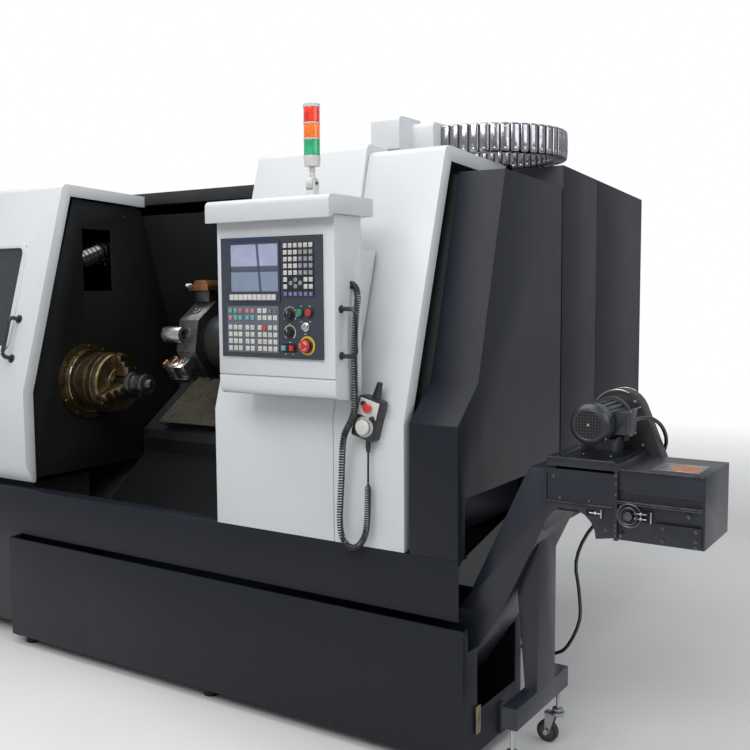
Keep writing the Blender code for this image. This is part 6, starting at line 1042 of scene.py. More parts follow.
    def face_tools(self) -> None:
        """Fit the sleeve, the bars and the knurled wheel on the turret's face."""
        low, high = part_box("turret_disc")
        face, centre = low.x, (low + high) / 2
        sleeve = Form().turned((face + 0.001, -0.080, 1.415), LEFT,
                               [(0.0, 0.0285), (0.020, 0.0285), (0.022, 0.0265), (0.022, 0.0175),
                                (0.004, 0.0165)], 36)
        sleeve.piece("tool_sleeve", Look.BRIGHT, "turret", "bright_steel")
        bar = Form()
        start, end = Vector((face, -0.225, 1.150)), Vector((face, -0.085, 1.290))
        side = (end - start).cross(Vector(RIGHT)).normalized() * 0.0075
        bar.prism([start - side, end - side, end + side, start + side], (-0.012, 0, 0), 0.0010)
        bar.block((face - 0.030, -0.215, 1.338), (face + 0.001, -0.080, 1.350), 0.0010)
        bar.piece("tool_bars", Look.STEEL, "turret", "bright_steel")
        wheel = Form().turned((face + 0.001, -0.185, 1.140), LEFT,
                              [(0.0, 0.0400), (0.003, 0.0430), (0.024, 0.0430), (0.027, 0.0400),
                               (0.027, 0.0180), (0.018, 0.0170)], 72, 24, 0.035)
        reach = self.wheel_circle
        wheel.bolts([(face, centre.y + reach * math.cos(a), centre.z + reach * math.sin(a))
                     for a in (2 * math.pi * (k + 0.25) / 12 for k in range(12))],
                    LEFT, 0.0060, 0.0040)
        wheel.piece("turret_wheel", Look.DARK_STEEL, "turret", "dark_steel")

    def copper_tool(self) -> None:
        """Fit the copper block with its shank and nozzle on top of the turret."""
        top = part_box("turret_disc")[1].z
        block = Form()
        block.prism([(x, y, top + 0.045) for x, y in ((-0.372, -0.205), (-0.258, -0.205),
                                                      (-0.258, -0.075), (-0.372, -0.075))],
                    (0, 0, 0.026), 0.002)
        block.prism([(x, -0.195, top + rise) for x, rise in ((-0.355, 0.070), (-0.270, 0.070),
                                                             (-0.285, 0.090), (-0.340, 0.090))],
                    (0, 0.110, 0), 0.002)
        block.piece("copper_block", Look.COPPER, "turret", "bright_steel")
        shank = Form().block((-0.350, -0.185, top - 0.004), (-0.270, -0.090, top + 0.046), 0.002)
        shank.turned((-0.352, -0.205, top + 0.058), FRONT, [(0.0, 0.0060), (0.010, 0.0060)], 12)
        shank.piece("block_shank", Look.DARK_STEEL, "turret", "dark_steel")
        nozzle = Form().turned((-0.368, -0.190, top + 0.064), (-0.75, -0.5, 0.25),
                               [(0.0, 0.0110), (0.012, 0.0105), (0.014, 0.0070), (0.024, 0.0065),
                                (0.024, 0.0035)], 18)
        nozzle.piece("block_nozzle", Look.WHITE_PLASTIC, "turret", "white_plastic")

    def cover_edge(self) -> None:
        """Add the way cover's bright wiper strips on the saddle."""
        low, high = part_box("z_saddle")
        wiper = Form()
        across = Vector((0.003, 0, 0))
        for x in (low.x + 0.001, low.x + 0.030, low.x + 0.115):
            start, end = (touch(self.frame, "z_saddle", (x + 0.002, y, high.z + 0.2), DOWN)
                          for y in (low.y + 0.015, low.y + 0.200))
            thick = across.cross(end - start).normalized() * 0.0022
            wiper.prism([start, start + across, end + across, end], thick, 0.0004)
        wiper.piece("cover_wipers", Look.STEEL, "saddle", "bright_steel")

    def build(self) -> None:
        """Make everything in the work space."""
        self.dress()
        self.chuck()
        self.jaws()
        self.arbor_thread()
        self.coolant_tool()
        self.face_tools()
        self.copper_tool()
        self.cover_edge()


# ---------------------------------------------------------------- operator's station
@dataclass(frozen=True)
class PaintedScreenReflection:
    """Switched-off screen with a painted reflection of pale windows and dark bars between them."""

    # Colours of the painted reflection: upper and lower window, the bars between them and a glare.
    upper: Colour = (0.36, 0.38, 0.54)
    lower: Colour = (0.20, 0.25, 0.34)
    bar: Colour = (0.040, 0.050, 0.080)
    glare: Colour = (0.16, 0.18, 0.27)
    middle: float = 1.566
    post: float = 0.771
    post_lean: float = 0.09

    def material(self, name: str) -> bpy.types.Material:
        """Make the screen's material, with the painted reflection as its colour."""
        graph = Graph(name)
        # Painted reflection: two window tones split at a level, hazy glare, and dark upright and
        # level bars.
        split = graph.node("ShaderNodeSeparateXYZ", None, {0: graph.places()}, "Z")
        across = graph.node("ShaderNodeSeparateXYZ", None, {0: graph.places()}, "X")
        haze = graph.bands(graph.noise(34.0, 4.0), 0.30, 0.75)
        wide = graph.bands(split + haze * 0.0015, self.middle - 0.0005, self.middle + 0.0005)
        tint = graph.mix(wide, self.lower, self.upper)
        tint = graph.mix(haze * 0.35, tint, self.glare)
        absolute = {"operation": "ABSOLUTE"}
        aside = graph.node("ShaderNodeMath", absolute,
                           {0: across + split * self.post_lean - self.post})
        above = graph.node("ShaderNodeMath", absolute, {0: split - self.middle})
        upright = 1 - graph.bands(aside, 0.0040, 0.0058)
        level = 1 - graph.bands(above, 0.0085, 0.0105)
        tint = graph.mix(upright * 0.9, tint, self.bar)
        tint = graph.mix(level * 0.9, tint, self.bar)
        graph.set(Base_Color=tint, Roughness=haze * 0.1 + 0.10, Coat_Weight=0.5)
        return graph.material


@dataclass
class OperatorStation:
    """Right-hand door with its carrier, the operator's box and everything on its panel."""

    frame: dict
    low_x: float = 0.470
    low_z: float = 1.284
    width: float = 0.407
    height: float = 0.383
    face_y: float = -0.9243
    column_shares: tuple = (0.09, 0.255, 0.42, 0.585, 0.75, 0.915)
    row_shares: tuple = (0.055, 0.19, 0.32, 0.445, 0.57, 0.695, 0.82, 0.945)
    machine_columns: tuple = (0.065, 0.165, 0.26, 0.40, 0.50, 0.64, 0.74, 0.84, 0.94)
    machine_rows: tuple = (0.09, 0.24, 0.39, 0.54, 0.75, 0.90)
    data_key: float = 0.0140
    machine_key: float = 0.0150
    key_foot: float = 0.0024
    soft_key_count: int = 10
    mode_spot: tuple[float, float] = (0.694, 0.36)
    override_spot: tuple[float, float] = (0.690, 0.215)
    lock_spot: tuple[float, float] = (0.843, 0.263)
    mark_spots: tuple = ((0.80, 0.43), (0.883, 0.43), (0.80, 0.305), (0.885, 0.305), (0.69, 0.285),
                         (0.69, 0.135), (0.645, 0.038), (0.72, 0.038), (0.84, 0.205))
    fields: dict[str, Form] = field(default_factory=dict)

    def at(self, across: float, up: float, proud: float = 0.0) -> Vector:
        """Place on the panel by shares of its width and height."""
        return Vector((self.low_x + self.width * across, self.face_y - proud,
                       self.low_z + self.height * up))

    def key(self, colour: str, place: Vector, size: float, proud: float) -> None:
        """Add a square key with softened edges to its colour's field.

        Args:
            colour: the field that takes it.
            place: its middle at its foot.
            size: its side.
            proud: its height.
        """
        half = size / 2
        self.fields.setdefault(colour, Form()).block(
            (place.x - half, place.y - proud, place.z - half),
            (place.x + half, place.y, place.z + half), 0.0009)

    def mark(self, field_name: str, place: Vector, wide: float, tall: float,
             proud: float = 0.00025) -> None:
        """Add a thin printed bar, which stands for a plain symbol."""
        self.fields.setdefault(field_name, Form()).block(
            (place.x - wide / 2, place.y - proud, place.z - tall / 2),
            (place.x + wide / 2, place.y + 0.0004, place.z + tall / 2))

    def data_keys(self) -> None:
        """Build the data keypad: a plate, square keys and four round arrow keys."""
        low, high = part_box("mdi_keypad")
        plate = Form().block((low.x, self.face_y - 0.0025, low.z),
                             (high.x, self.face_y - 0.0002, high.z), 0.0006)
        plate.piece("data_plate", Look.BEZEL, "operator_body", "grey_plastic",
                    replaces=["mdi_keypad"])
        foot = self.face_y - self.key_foot
        for c, across in enumerate(self.column_shares):
            for r, up in enumerate(self.row_shares):
                place = Vector((low.x + (high.x - low.x) * across, foot,
                                low.z + (high.z - low.z) * up))
                if r in (1, 2) and c in (1, 2, 3):
                    continue
                colour = "blue" if r == 0 else "cream" if c < 3 or r in (1, 2, 7) else "grey"
                self.key(colour, place, self.data_key, 0.0027)
                lift = place + Vector((0, -0.0027, 0))
                ink = "ink" if colour == "cream" else "print"
                tall = 0.0034 if (c + r) % 3 else 0.0014
                self.mark(ink, lift + Vector((-0.0015, 0, 0.0005)), 0.0030, tall)
                self.mark(ink, lift + Vector((0.0035, 0, -0.0036)), 0.0018, 0.0014)
        middle = Vector((low.x + (high.x - low.x) * self.column_shares[2], foot,
                         low.z + (high.z - low.z) * (self.row_shares[1] + self.row_shares[2]) / 2))
        arrows = Form()
        for dx, dz in ((-0.0185, 0.0), (0.0185, 0.0), (0.0, 0.0100), (0.0, -0.0100)):
            arrows.turned(middle + Vector((dx, 0.0, dz)), FRONT,
                          [(0.0, 0.0072), (0.0020, 0.0072), (0.0026, 0.0064), (0.0026, 0.0048),
                           (0.0022, 0.0044)], 20)
        arrows.piece("arrow_keys", Look.GREY_KEY, "operator_body", "grey_plastic")

    def machine_keys(self) -> None:
        """Build the machine keypad in its groups of keys."""
        low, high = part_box("machine_keypad")
        plate = Form().block((low.x, self.face_y - 0.0025, low.z),
                             (high.x, self.face_y - 0.0002, high.z), 0.0006)
        plate.piece("machine_plate", Look.PAD, "operator_body", "grey_plastic",
                    replaces=["machine_keypad"])
        foot = self.face_y - self.key_foot
        for c, across in enumerate(self.machine_columns):
            for r, up in enumerate(self.machine_rows):
                place = Vector((low.x + (high.x - low.x) * across, foot,
                                low.z + (high.z - low.z) * up))
                colour = "cream"
                if r == 3 and c == 6:
                    colour = "red"
                elif r >= 4 and c < 5:
                    pink = (r == 5 and c in (2, 3, 4)) or (r == 4 and c == 0)
                    colour = "pink" if pink else "teal"
                elif r == 5 and c > 6:
                    colour = "pad"
                self.key(colour, place, self.machine_key, 0.0026)
                lift = place + Vector((0, -0.0026, 0))
                ink = "ink" if colour == "cream" else "print"
                tall = 0.0032 if (c * 2 + r) % 3 else 0.0012
                self.mark(ink, lift + Vector((0.0, 0, 0.0008)), 0.0038, tall)
                self.mark(ink, lift + Vector((0.0, 0, -0.0044)), 0.0044, 0.0008)

    def screen_frame(self) -> None:
        """Dress the screen with its painted reflection, its soft keys and the plain strip over it.
        """
        glass = self.frame["nodes"]["screen"]
        glass.data.materials.clear()
        glass.data.materials.append(PaintedScreenReflection().material("screen_mirror"))
        strip = Form().block(self.at(0.060, 0.970, 0.0006), self.at(0.490, 0.990, -0.0005))
        strip.piece("plain_strip", Look.STRIP, "operator_body", "grey_plastic")
        low, high = self.at(0.10, 0.48), self.at(0.575, 0.525)
        pitch = (high.x - low.x) / self.soft_key_count
        soft = Form()
        for i in range(self.soft_key_count):
            x = low.x + pitch * (i + 0.4)
            soft.block((x - pitch * 0.43, self.face_y - 0.0076, low.z - 0.0005),
                       (x + pitch * 0.43, self.face_y - 0.002, high.z + 0.0005), 0.0009)
        soft.piece("soft_keys", Look.CREAM_KEY, "operator_body", "grey_plastic")

    def dials(self) -> None:
        """Build the mode knob and the feed knob with their printed scales."""
        scale = Form()
        for spot, count, start, sweep, near, far, half in (
                (self.mode_spot, 12, -120.0, 240.0, 0.0215, 0.0270, 0.0012),
                (self.override_spot, 21, -135.0, 270.0, 0.0205, 0.0235, 0.0022)):
            centre = self.at(*spot, 0.0003)
            for i in range(count):
                turn = math.radians(start + sweep * i / (count - 1))
                way = Vector((math.sin(turn), 0.0, math.cos(turn)))
                side = Vector((math.cos(turn), 0.0, -math.sin(turn))) * half
                a, b = centre + way * near, centre + way * far
                scale.prism([a - side, b - side * 1.4, b + side * 1.4, a + side], (0, 0.0006, 0))
        scale.piece("dial_scales", Look.MARK, "operator_body", "white_plastic")
        mode = Form().turned(self.at(*self.mode_spot), FRONT,
                             [(0.0, 0.0200), (0.0025, 0.0200), (0.0035, 0.0160), (0.0150, 0.0152),
                              (0.0168, 0.0138), (0.0168, 0.006)], 48, 12, 0.06)
        mode.piece("mode_knob", Look.BLACK_PLASTIC, "operator_body", "black_plastic")
        pointer = self.at(*self.mode_spot, 0.0166) + Vector((0, 0, 0.0085))
        self.mark("print", pointer, 0.0016, 0.0090, 0.0005)
        low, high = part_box("override_knob")
        centre = Vector(((low.x + high.x) / 2, self.face_y, (low.z + high.z) / 2))
        knob = Form().turned(centre, FRONT,
                             [(0.0005, 0.0185), (0.0025, 0.0185), (0.0035, 0.0148),
                              (0.0130, 0.0142), (0.0150, 0.0130), (0.0150, 0.006)], 48, 12, 0.06)
        knob.block((centre.x - 0.0028, centre.y - 0.0160, centre.z - 0.0125),
                   (centre.x + 0.0028, centre.y - 0.0140, centre.z + 0.0125), 0.0008)
        knob.piece("feed_knob", Look.BLACK_PLASTIC, "override", "black_plastic",
                   replaces=["override_knob"])
        line = Form().block((centre.x - 0.0008, centre.y - 0.0163, centre.z + 0.0015),
                            (centre.x + 0.0008, centre.y - 0.0158, centre.z + 0.0120))
        line.piece("feed_knob_line", Look.MARK, "override", "white_plastic")

    def power_buttons(self) -> None:
        """Build the two power buttons and the key switch."""
        for name, spot, look, slot in (
                ("power_on", (0.798, 0.378), Look.GREEN_KEY, "green_plastic"),
                ("power_off", (0.883, 0.378), Look.RED_KEY, "red_plastic")):
            seat = Form().turned(self.at(*spot), FRONT,
                                 [(0.0, 0.0148), (0.0035, 0.0146), (0.0048, 0.0132),
                                  (0.0048, 0.0118), (0.003, 0.0116)], 32)
            seat.piece(name + "_bezel", Look.BLACK_PLASTIC, "operator_body", "black_plastic")
            cap = Form().turned(self.at(*spot), FRONT,
                                [(0.002, 0.0114), (0.0122, 0.0112), (0.0134, 0.0100),
                                 (0.0138, 0.0040)], 32)
            cap.piece(name + "_cap", look, "operator_body", slot)
        lock = Form().turned(self.at(*self.lock_spot), FRONT,
                             [(0.0, 0.0145), (0.0030, 0.0140), (0.0040, 0.0118), (0.0088, 0.0114),
                              (0.0095, 0.0106), (0.0095, 0.0060), (0.0080, 0.0056)], 32)
        lock.block(self.at(*self.lock_spot, 0.0092) + Vector((-0.0012, -0.006, -0.0055)),
                   self.at(*self.lock_spot, 0.0080) + Vector((0.0012, 0.0, 0.0055)), 0.0005)
        lock.piece("key_switch", Look.BRIGHT, "operator_body", "zinc")

    def cycle_buttons(self) -> None:
        """Build the start and hold buttons in their bezels, and the panel's printed bars."""
        for name, node, look, slot in (
                ("start_cap", "start_button", Look.TEAL_KEY, "green_plastic"),
                ("hold_cap", "hold_button", Look.RED_KEY, "red_plastic")):
            low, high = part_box(node)
            cap = Form().block((low.x + 0.001, low.y - 0.0004, low.z + 0.001),
                               (high.x - 0.001, self.face_y - 0.0042, high.z - 0.001), 0.0014)
            cap.turned(((low.x + high.x) / 2, low.y + 0.003, (low.z + high.z) / 2), BACK,
                       [(0.0, 0.0048), (0.014, 0.0048)], 16)
            cap.piece(name, look, name.split("_")[0], slot, replaces=[node])
            seat = Form()
            left, right, foot, head = low.x - 0.003, high.x + 0.003, low.z - 0.003, high.z + 0.003
            for x0, x1, z0, z1 in ((left, low.x - 0.0002, foot, head),
                                   (high.x + 0.0002, right, foot, head),
                                   (left, right, foot, low.z - 0.0002),
                                   (left, right, high.z + 0.0002, head)):
                seat.block((x0, self.face_y - 0.0045, z0), (x1, self.face_y, z1), 0.0006)
            seat.piece(name + "_bezel", Look.BLACK_PLASTIC, "operator_body", "black_plastic")
        for spot in self.mark_spots:
            self.mark("print", self.at(*spot), 0.0085, 0.0020)

    def emergency_stop(self) -> None:
        """Build the red mushroom head with its pale arrows, housing and yellow ring."""
        low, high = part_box("estop_button")
        centre = Vector(((low.x + high.x) / 2, self.face_y, (low.z + high.z) / 2))
        ring = Form().turned(centre + Vector((0, 0.0002, 0)), FRONT,
                             [(0.0, 0.0300), (0.0014, 0.0300), (0.0020, 0.0294), (0.0020, 0.020)],
                             48)
        ring.piece("stop_ring", Look.YELLOW, "operator_body", "red_plastic")
        seat = Form().turned(centre, FRONT, [(0.0, 0.0235), (0.0054, 0.0232), (0.0070, 0.0208),
                                             (0.0070, 0.0156), (0.003, 0.0152)], 40)
        seat.piece("stop_housing", Look.BLACK_PLASTIC, "operator_body", "black_plastic")
        head = Form().turned(centre, FRONT,
                             [(0.0086, 0.0130), (0.0120, 0.0140), (0.0140, 0.0195),
                              (0.0180, 0.0200), (0.0210, 0.0188), (0.0232, 0.0150),
                              (0.0238, 0.0090), (0.0238, 0.003)], 48)
        head.piece("stop_head", Look.RED_KEY, "estop", "red_plastic", replaces=["estop_button"])
        arrows = Form()
        for k in range(3):
            for i in range(5):
                a, b = (math.radians(120.0 * k + 14.0 * j) for j in (i, i + 1))
                quad = [centre + Vector((math.sin(t) * r, (r - 0.0105) * 0.28 - 0.0236,
                                         math.cos(t) * r))
                        for t, r in ((a, 0.0108), (a, 0.0132), (b, 0.0132), (b, 0.0108))]
                arrows.prism(quad, (0, -0.0006, 0))
        arrows.piece("stop_arrows", Look.MARK, "estop", "white_plastic")

    def trim(self) -> None:
        """Add the panel's screws and the side handle's feet."""
        screws = Form()
        screws.bolts([self.at(u, v, -0.0003) for u in (0.022, 0.978) for v in (0.022, 0.5, 0.978)]
                     + [self.at(0.5, v, -0.0003) for v in (0.022, 0.985)], FRONT, 0.0033, 0.0014)
        screws.piece("panel_screws", Look.DARK_STEEL, "operator_body", "dark_steel")
        low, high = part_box("side_handle")
        feet = Form()
        for z in (low.z + 0.008, high.z - 0.008):
            feet.turned((low.x - 0.0002, (low.y + high.y) / 2, z), RIGHT,
                        [(0.0, 0.0125), (0.003, 0.0122), (0.006, 0.0088)], 24)
        feet.piece("handle_feet", Look.BLACK_PLASTIC, "operator_body", "black_plastic")

    def flush(self) -> None:
        """Turn the fields of keys and prints into pieces."""
        looks = {"cream": (Look.CREAM_KEY, "grey_plastic"), "grey": (Look.GREY_KEY, "grey_plastic"),
                 "blue": (Look.BLUE_KEY, "grey_plastic"), "teal": (Look.TEAL_KEY, "green_plastic"),
                 "pink": (Look.PINK_KEY, "red_plastic"), "red": (Look.RED_KEY, "red_plastic"),
                 "pad": (Look.PAD, "grey_plastic"), "ink": (Look.GREY_KEY, "black_plastic"),
                 "print": (Look.MARK, "white_plastic")}
        for name, form in self.fields.items():
            look, slot = looks[name]
            form.piece(f"{name}_prints" if name in ("ink", "print") else f"{name}_keys",
                       look, "operator_body", slot)

    def build(self) -> None:
        """Make the whole station."""
        dress(self.frame, dict.fromkeys(
            ("operator_door", "panel_carrier", "control_box", "control_hood"), Look.WHITE), 0.004)
        dress(self.frame, {"operator_panel": Look.PLATE, "side_handle": Look.BLACK_PLASTIC}, 0.0)
        self.data_keys()
        self.machine_keys()
        self.screen_frame()
        self.dials()
        self.power_buttons()
        self.cycle_buttons()
        self.emergency_stop()
        self.trim()
        self.flush()


# ---------------------------------------------------------------- door, pendant, tower and guide
@dataclass
class MainDoor:
    """Left sliding door with the rubber round its window and its grip's feet."""

    frame: dict
    rubber: float = 0.011
    corner: float = 0.030

    def window(self) -> None:
        """Lay a rubber profile round the window on the door's slanted face."""
        points = [vertex.co.copy() for vertex in self.frame["nodes"]["door_glass"].data.vertices]
        foot = min(points, key=lambda p: p.y)
        head = min((p for p in points if p.z > max(q.z for q in points) - 0.0005),
                   key=lambda p: p.y)
        rise = Vector((0.0, head.y - foot.y, head.z - foot.z))
        up = rise.normalized()
        out = Vector((0.0, -up.z, up.y))
        low_x, high_x = min(p.x for p in points), max(p.x for p in points)
        beside = Vector((low_x - 0.03, foot.y, foot.z + 0.1))
        face = touch(self.frame, "main_door", beside + out * 0.1, -out)
        lift = (face - foot).dot(out)
        corner, size = self.corner, rise.length
        route = []
        for cx, cz, start in ((high_x - corner, size - corner, 0.0),
                              (low_x + corner, size - corner, 90.0),
                              (low_x + corner, corner, 180.0), (high_x - corner, corner, 270.0)):
            for k in range(7):
                turn = math.radians(start + 15.0 * k)
                route.append((cx + corner * math.cos(turn), cz + corner * math.sin(turn)))
        seal = Form()
        loops = []
        for i, (x, s) in enumerate(route):
            before, after = route[i - 1], route[(i + 1) % len(route)]
            step_x, step_s = after[0] - before[0], after[1] - before[1]
            step = math.hypot(step_x, step_s)
            side_x, side_s = step_s / step, -step_x / step
            ring = []
            for shift, height in ((-0.9, -0.5), (0.7, -0.5), (0.7, 0.22), (0.2, 0.36),
                                  (-0.9, 0.22)):
                ring.append(Vector((x + side_x * shift * self.rubber, foot.y, foot.z))
                            + up * (s + side_s * shift * self.rubber)
                            + out * (lift + height * self.rubber))
            loops.append(seal.loop(ring))
        seal.skin(loops, closed=True)
        seal.piece("window_rubber", Look.RUBBER, "main_door_body", "black_plastic")

    def grip(self) -> None:
        """Add the grip's feet."""
        low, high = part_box("door_handle")
        feet = Form()
        for z in (low.z + 0.014, high.z - 0.016):
            place = touch(self.frame, "main_door", ((low.x + high.x) / 2, low.y - 0.05, z), BACK)
            feet.turned(place + Vector((0, 0.002, 0)), (0, -0.96, 0.26),
                        [(0.0, 0.0185), (0.006, 0.0180), (0.009, 0.0120)], 24)
        feet.piece("grip_feet", Look.BLACK_PLASTIC, "main_door_body", "black_plastic")

    def build(self) -> None:
        """Make the door's looks."""
        dress(self.frame, {"main_door": Look.WHITE}, 0.003)
        dress(self.frame, {"door_glass": Look.GLASS, "door_handle": Look.BLACK_PLASTIC})
        self.window()
        self.grip()


@dataclass
class Pendant:
    """Hand pendant on the door: label plate, knobs, hand wheel and its scale."""

    frame: dict
    middle: tuple[float, float, float] = (0.9560, -0.8063, 1.0947)
    lean: float = math.radians(15.5)
    scale_radius: float = 0.0125
    tick_count: int = 50

    def at(self, across: float, up: float, proud: float = 0.0) -> Vector:
        """Place on the pendant's face, in metres from its middle."""
        a = Vector((math.cos(self.lean), 0.0, -math.sin(self.lean)))
        b = Vector((math.sin(self.lean), 0.0, math.cos(self.lean)))
        return Vector(self.middle) + a * across + b * up + Vector((0.0, -proud, 0.0))

    def slab(self, form: Form, low: Point, high: Point, proud: float, deep: float,
             soft: float = 0.0) -> None:
        """Add a slab square to the pendant's face."""
        corners = ((low[0], low[1]), (high[0], low[1]), (high[0], high[1]), (low[0], high[1]))
        form.prism([self.at(x, z, proud) for x, z in corners], (0, deep, 0), soft)

    def face(self) -> None:
        """Build the face's label plate, printed scales, knobs and stop button."""
        plate = Form()
        self.slab(plate, (-0.036, 0.006), (0.036, 0.061), 0.0009, 0.0012, 0.0003)
        plate.piece("pendant_plate", Look.WHITE_PLASTIC, "operator_body", "white_plastic")
        prints = Form()
        for x in (-0.021, 0.023):
            for k in range(5):
                turn = math.radians(-70.0 + 35.0 * k)
                across = x + self.scale_radius * math.sin(turn)
                above = 0.017 + self.scale_radius * math.cos(turn)
                self.slab(prints, (across - 0.0011, above - 0.0007),
                          (across + 0.0011, above + 0.0007), 0.0012, 0.0005)
        prints.piece("pendant_prints", Look.BEZEL, "operator_body", "black_plastic")
        knobs = Form()
        for x, z in ((-0.021, 0.044), (0.023, 0.0067)):
            knobs.turned(self.at(x, z), FRONT, [(0.0, 0.0090), (0.0025, 0.0088), (0.0035, 0.0078),
                                                (0.0085, 0.0074), (0.0095, 0.0060)], 30, 10, 0.08)
        knobs.piece("pendant_knobs", Look.BLACK_PLASTIC, "operator_body", "black_plastic")
        red = Form().turned(self.at(0.0, 0.036), FRONT,
                            [(0.0, 0.0112), (0.0060, 0.0112), (0.0075, 0.0152), (0.0112, 0.0156),
                             (0.0135, 0.0130), (0.0146, 0.0070), (0.0148, 0.0030)], 36)
        red.piece("pendant_stop", Look.RED_KEY, "operator_body", "red_plastic")

    def wheel(self) -> None:
        """Build the hand wheel with its knurled rim and the ring of its scale."""
        low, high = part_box("pendant_wheel")
        hub = Vector(((low.x + high.x) / 2, high.y, (low.z + high.z) / 2))
        ring = Form().turned(hub + Vector((0, 0.0003, 0)), FRONT,
                             [(0.0, 0.0330), (0.0018, 0.0330), (0.0026, 0.0320), (0.0026, 0.0270)],
                             48)
        ring.piece("wheel_scale", Look.WHITE_PLASTIC, "operator_body", "white_plastic")
        ticks = Form()
        foot = hub + Vector((0, -0.0026, 0))
        for k in range(self.tick_count):
            turn = 2.0 * math.pi * k / self.tick_count
            way = Vector((math.sin(turn), 0, math.cos(turn)))
            side = Vector((math.cos(turn), 0, -math.sin(turn))) * 0.0004
            near, far = foot + way * (0.0296 if k % 5 else 0.0284), foot + way * 0.0318
            ticks.prism([near - side, far - side, far + side, near + side], (0, 0.0008, 0))
        ticks.piece("wheel_ticks", Look.BEZEL, "operator_body", "black_plastic")
        wheel = Form().turned(hub + Vector((0, -0.0030, 0)), FRONT,
                              [(0.0, 0.0235), (0.0030, 0.0255), (0.0100, 0.0252), (0.0130, 0.0235),
                               (0.0150, 0.0200), (0.0142, 0.0130), (0.0150, 0.0090),
                               (0.0155, 0.0030)], 60, 30, 0.02)
        wheel.turned(hub + Vector((0.0105, -0.0170, 0.0080)), FRONT,
                     [(-0.002, 0.0052), (0.0010, 0.0052), (0.0024, 0.0042)], 20)
        wheel.turned(hub + Vector((0, 0.002, 0)), FRONT, [(0.0, 0.0060), (0.0080, 0.0060)], 16)
        rim = Form().turned(hub + Vector((0, -0.0050, 0)), FRONT,
                            [(0.0, 0.0262), (0.0006, 0.0268), (0.0058, 0.0268), (0.0064, 0.0262)],
                            120, 60, 0.018)
        rim.piece("wheel_knurl", Look.ZINC, "hand_wheel", "zinc")
        wheel.piece("wheel_disc", Look.WHITE_PLASTIC, "hand_wheel", "white_plastic",
                    replaces=["pendant_wheel"])

    def build(self) -> None:
        """Make the pendant's looks, with the gland of its lead."""
        dress(self.frame, {"pendant_body": Look.BLACK_PLASTIC}, 0.0015)
        self.face()
        self.wheel()
        gland = Form().turned((0.950, -0.7863, 0.9855), UP,
                              [(0.0, 0.0050), (0.010, 0.0066), (0.012, 0.0085), (0.020, 0.0088),
                               (0.022, 0.0078), (0.040, 0.0078)], 20)
        gland.piece("pendant_gland", Look.BLACK_PLASTIC, "operator_body", "black_plastic")


@dataclass
class SignalTower:
    """Three-lens tower on its folding knuckle."""

    frame: dict
    x: float = 0.82
    y: float = -0.89
    hinge_z: float = 1.8253
    stem_height: float = 0.05
    ribs: int = 9

    def build(self) -> None:
        """Make the tower's looks."""
        base = (self.x, self.y, self.hinge_z + self.stem_height)
        body = Form().turned(base, UP,
                             [(0.0, 0.0180), (0.002, 0.0245), (0.0285, 0.0262), (0.0320, 0.0262),
                              (0.0335, 0.0245)], 44)
        for low, high in ((0.0810, 0.0860), (0.1287, 0.1337), (0.1785, 0.19)):
            body.turned(base, UP, [(low, 0.0240), (low + 0.0008, 0.0262), (high - 0.0012, 0.0262),
                                   (high, 0.0240)], 44)
        body.piece("tower_rings", Look.WHITE_PLASTIC, "tower", "white_plastic",
                   replaces=["signal_tower"])
        for name, look, slot, low, high in (
                ("green_lens", Look.GREEN_LENS, "green_plastic", 0.0330, 0.0815),
                ("amber_lens", Look.AMBER_LENS, "red_plastic", 0.0855, 0.1292),
                ("red_lens", Look.RED_LENS, "red_plastic", 0.1332, 0.1790)):
            profile = [(low, 0.0236)]
            for i in range(self.ribs):
                z = low + (high - low) * (i + 0.5) / self.ribs
                profile += [(z - 0.0012, 0.0250), (z + 0.0012, 0.0246)]
            profile.append((high, 0.0236))
            Form().turned(base, UP, profile, 44).piece(name, look, "tower", slot, 60.0)
        stem = Form().turned((self.x, self.y, self.hinge_z), UP,
                             [(0.012, 0.0095), (0.030, 0.0095), (0.031, 0.0078), (0.036, 0.0078),
                              (0.0365, 0.0102), (0.0435, 0.0102), (0.0440, 0.0080),
                              (0.0505, 0.0080)], 24)
        stem.turned((self.x - 0.0115, self.y, self.hinge_z), RIGHT,
                    [(0.0, 0.0175), (0.0020, 0.0193), (0.0210, 0.0193), (0.0230, 0.0175)], 36)
        stem.piece("tower_stem", Look.WHITE_PLASTIC, "tower", "white_plastic")
        screw = Form()
        for side in (-1, 1):
            place = touch(self.frame, "control_hood", (self.x + side * 0.08, self.y, self.hinge_z),
                          (-side, 0, 0))
            screw.bolt(place, (side, 0, 0), 0.0055, 0.0028)
        screw.piece("tower_pivot", Look.DARK_STEEL, "operator_body", "dark_steel")


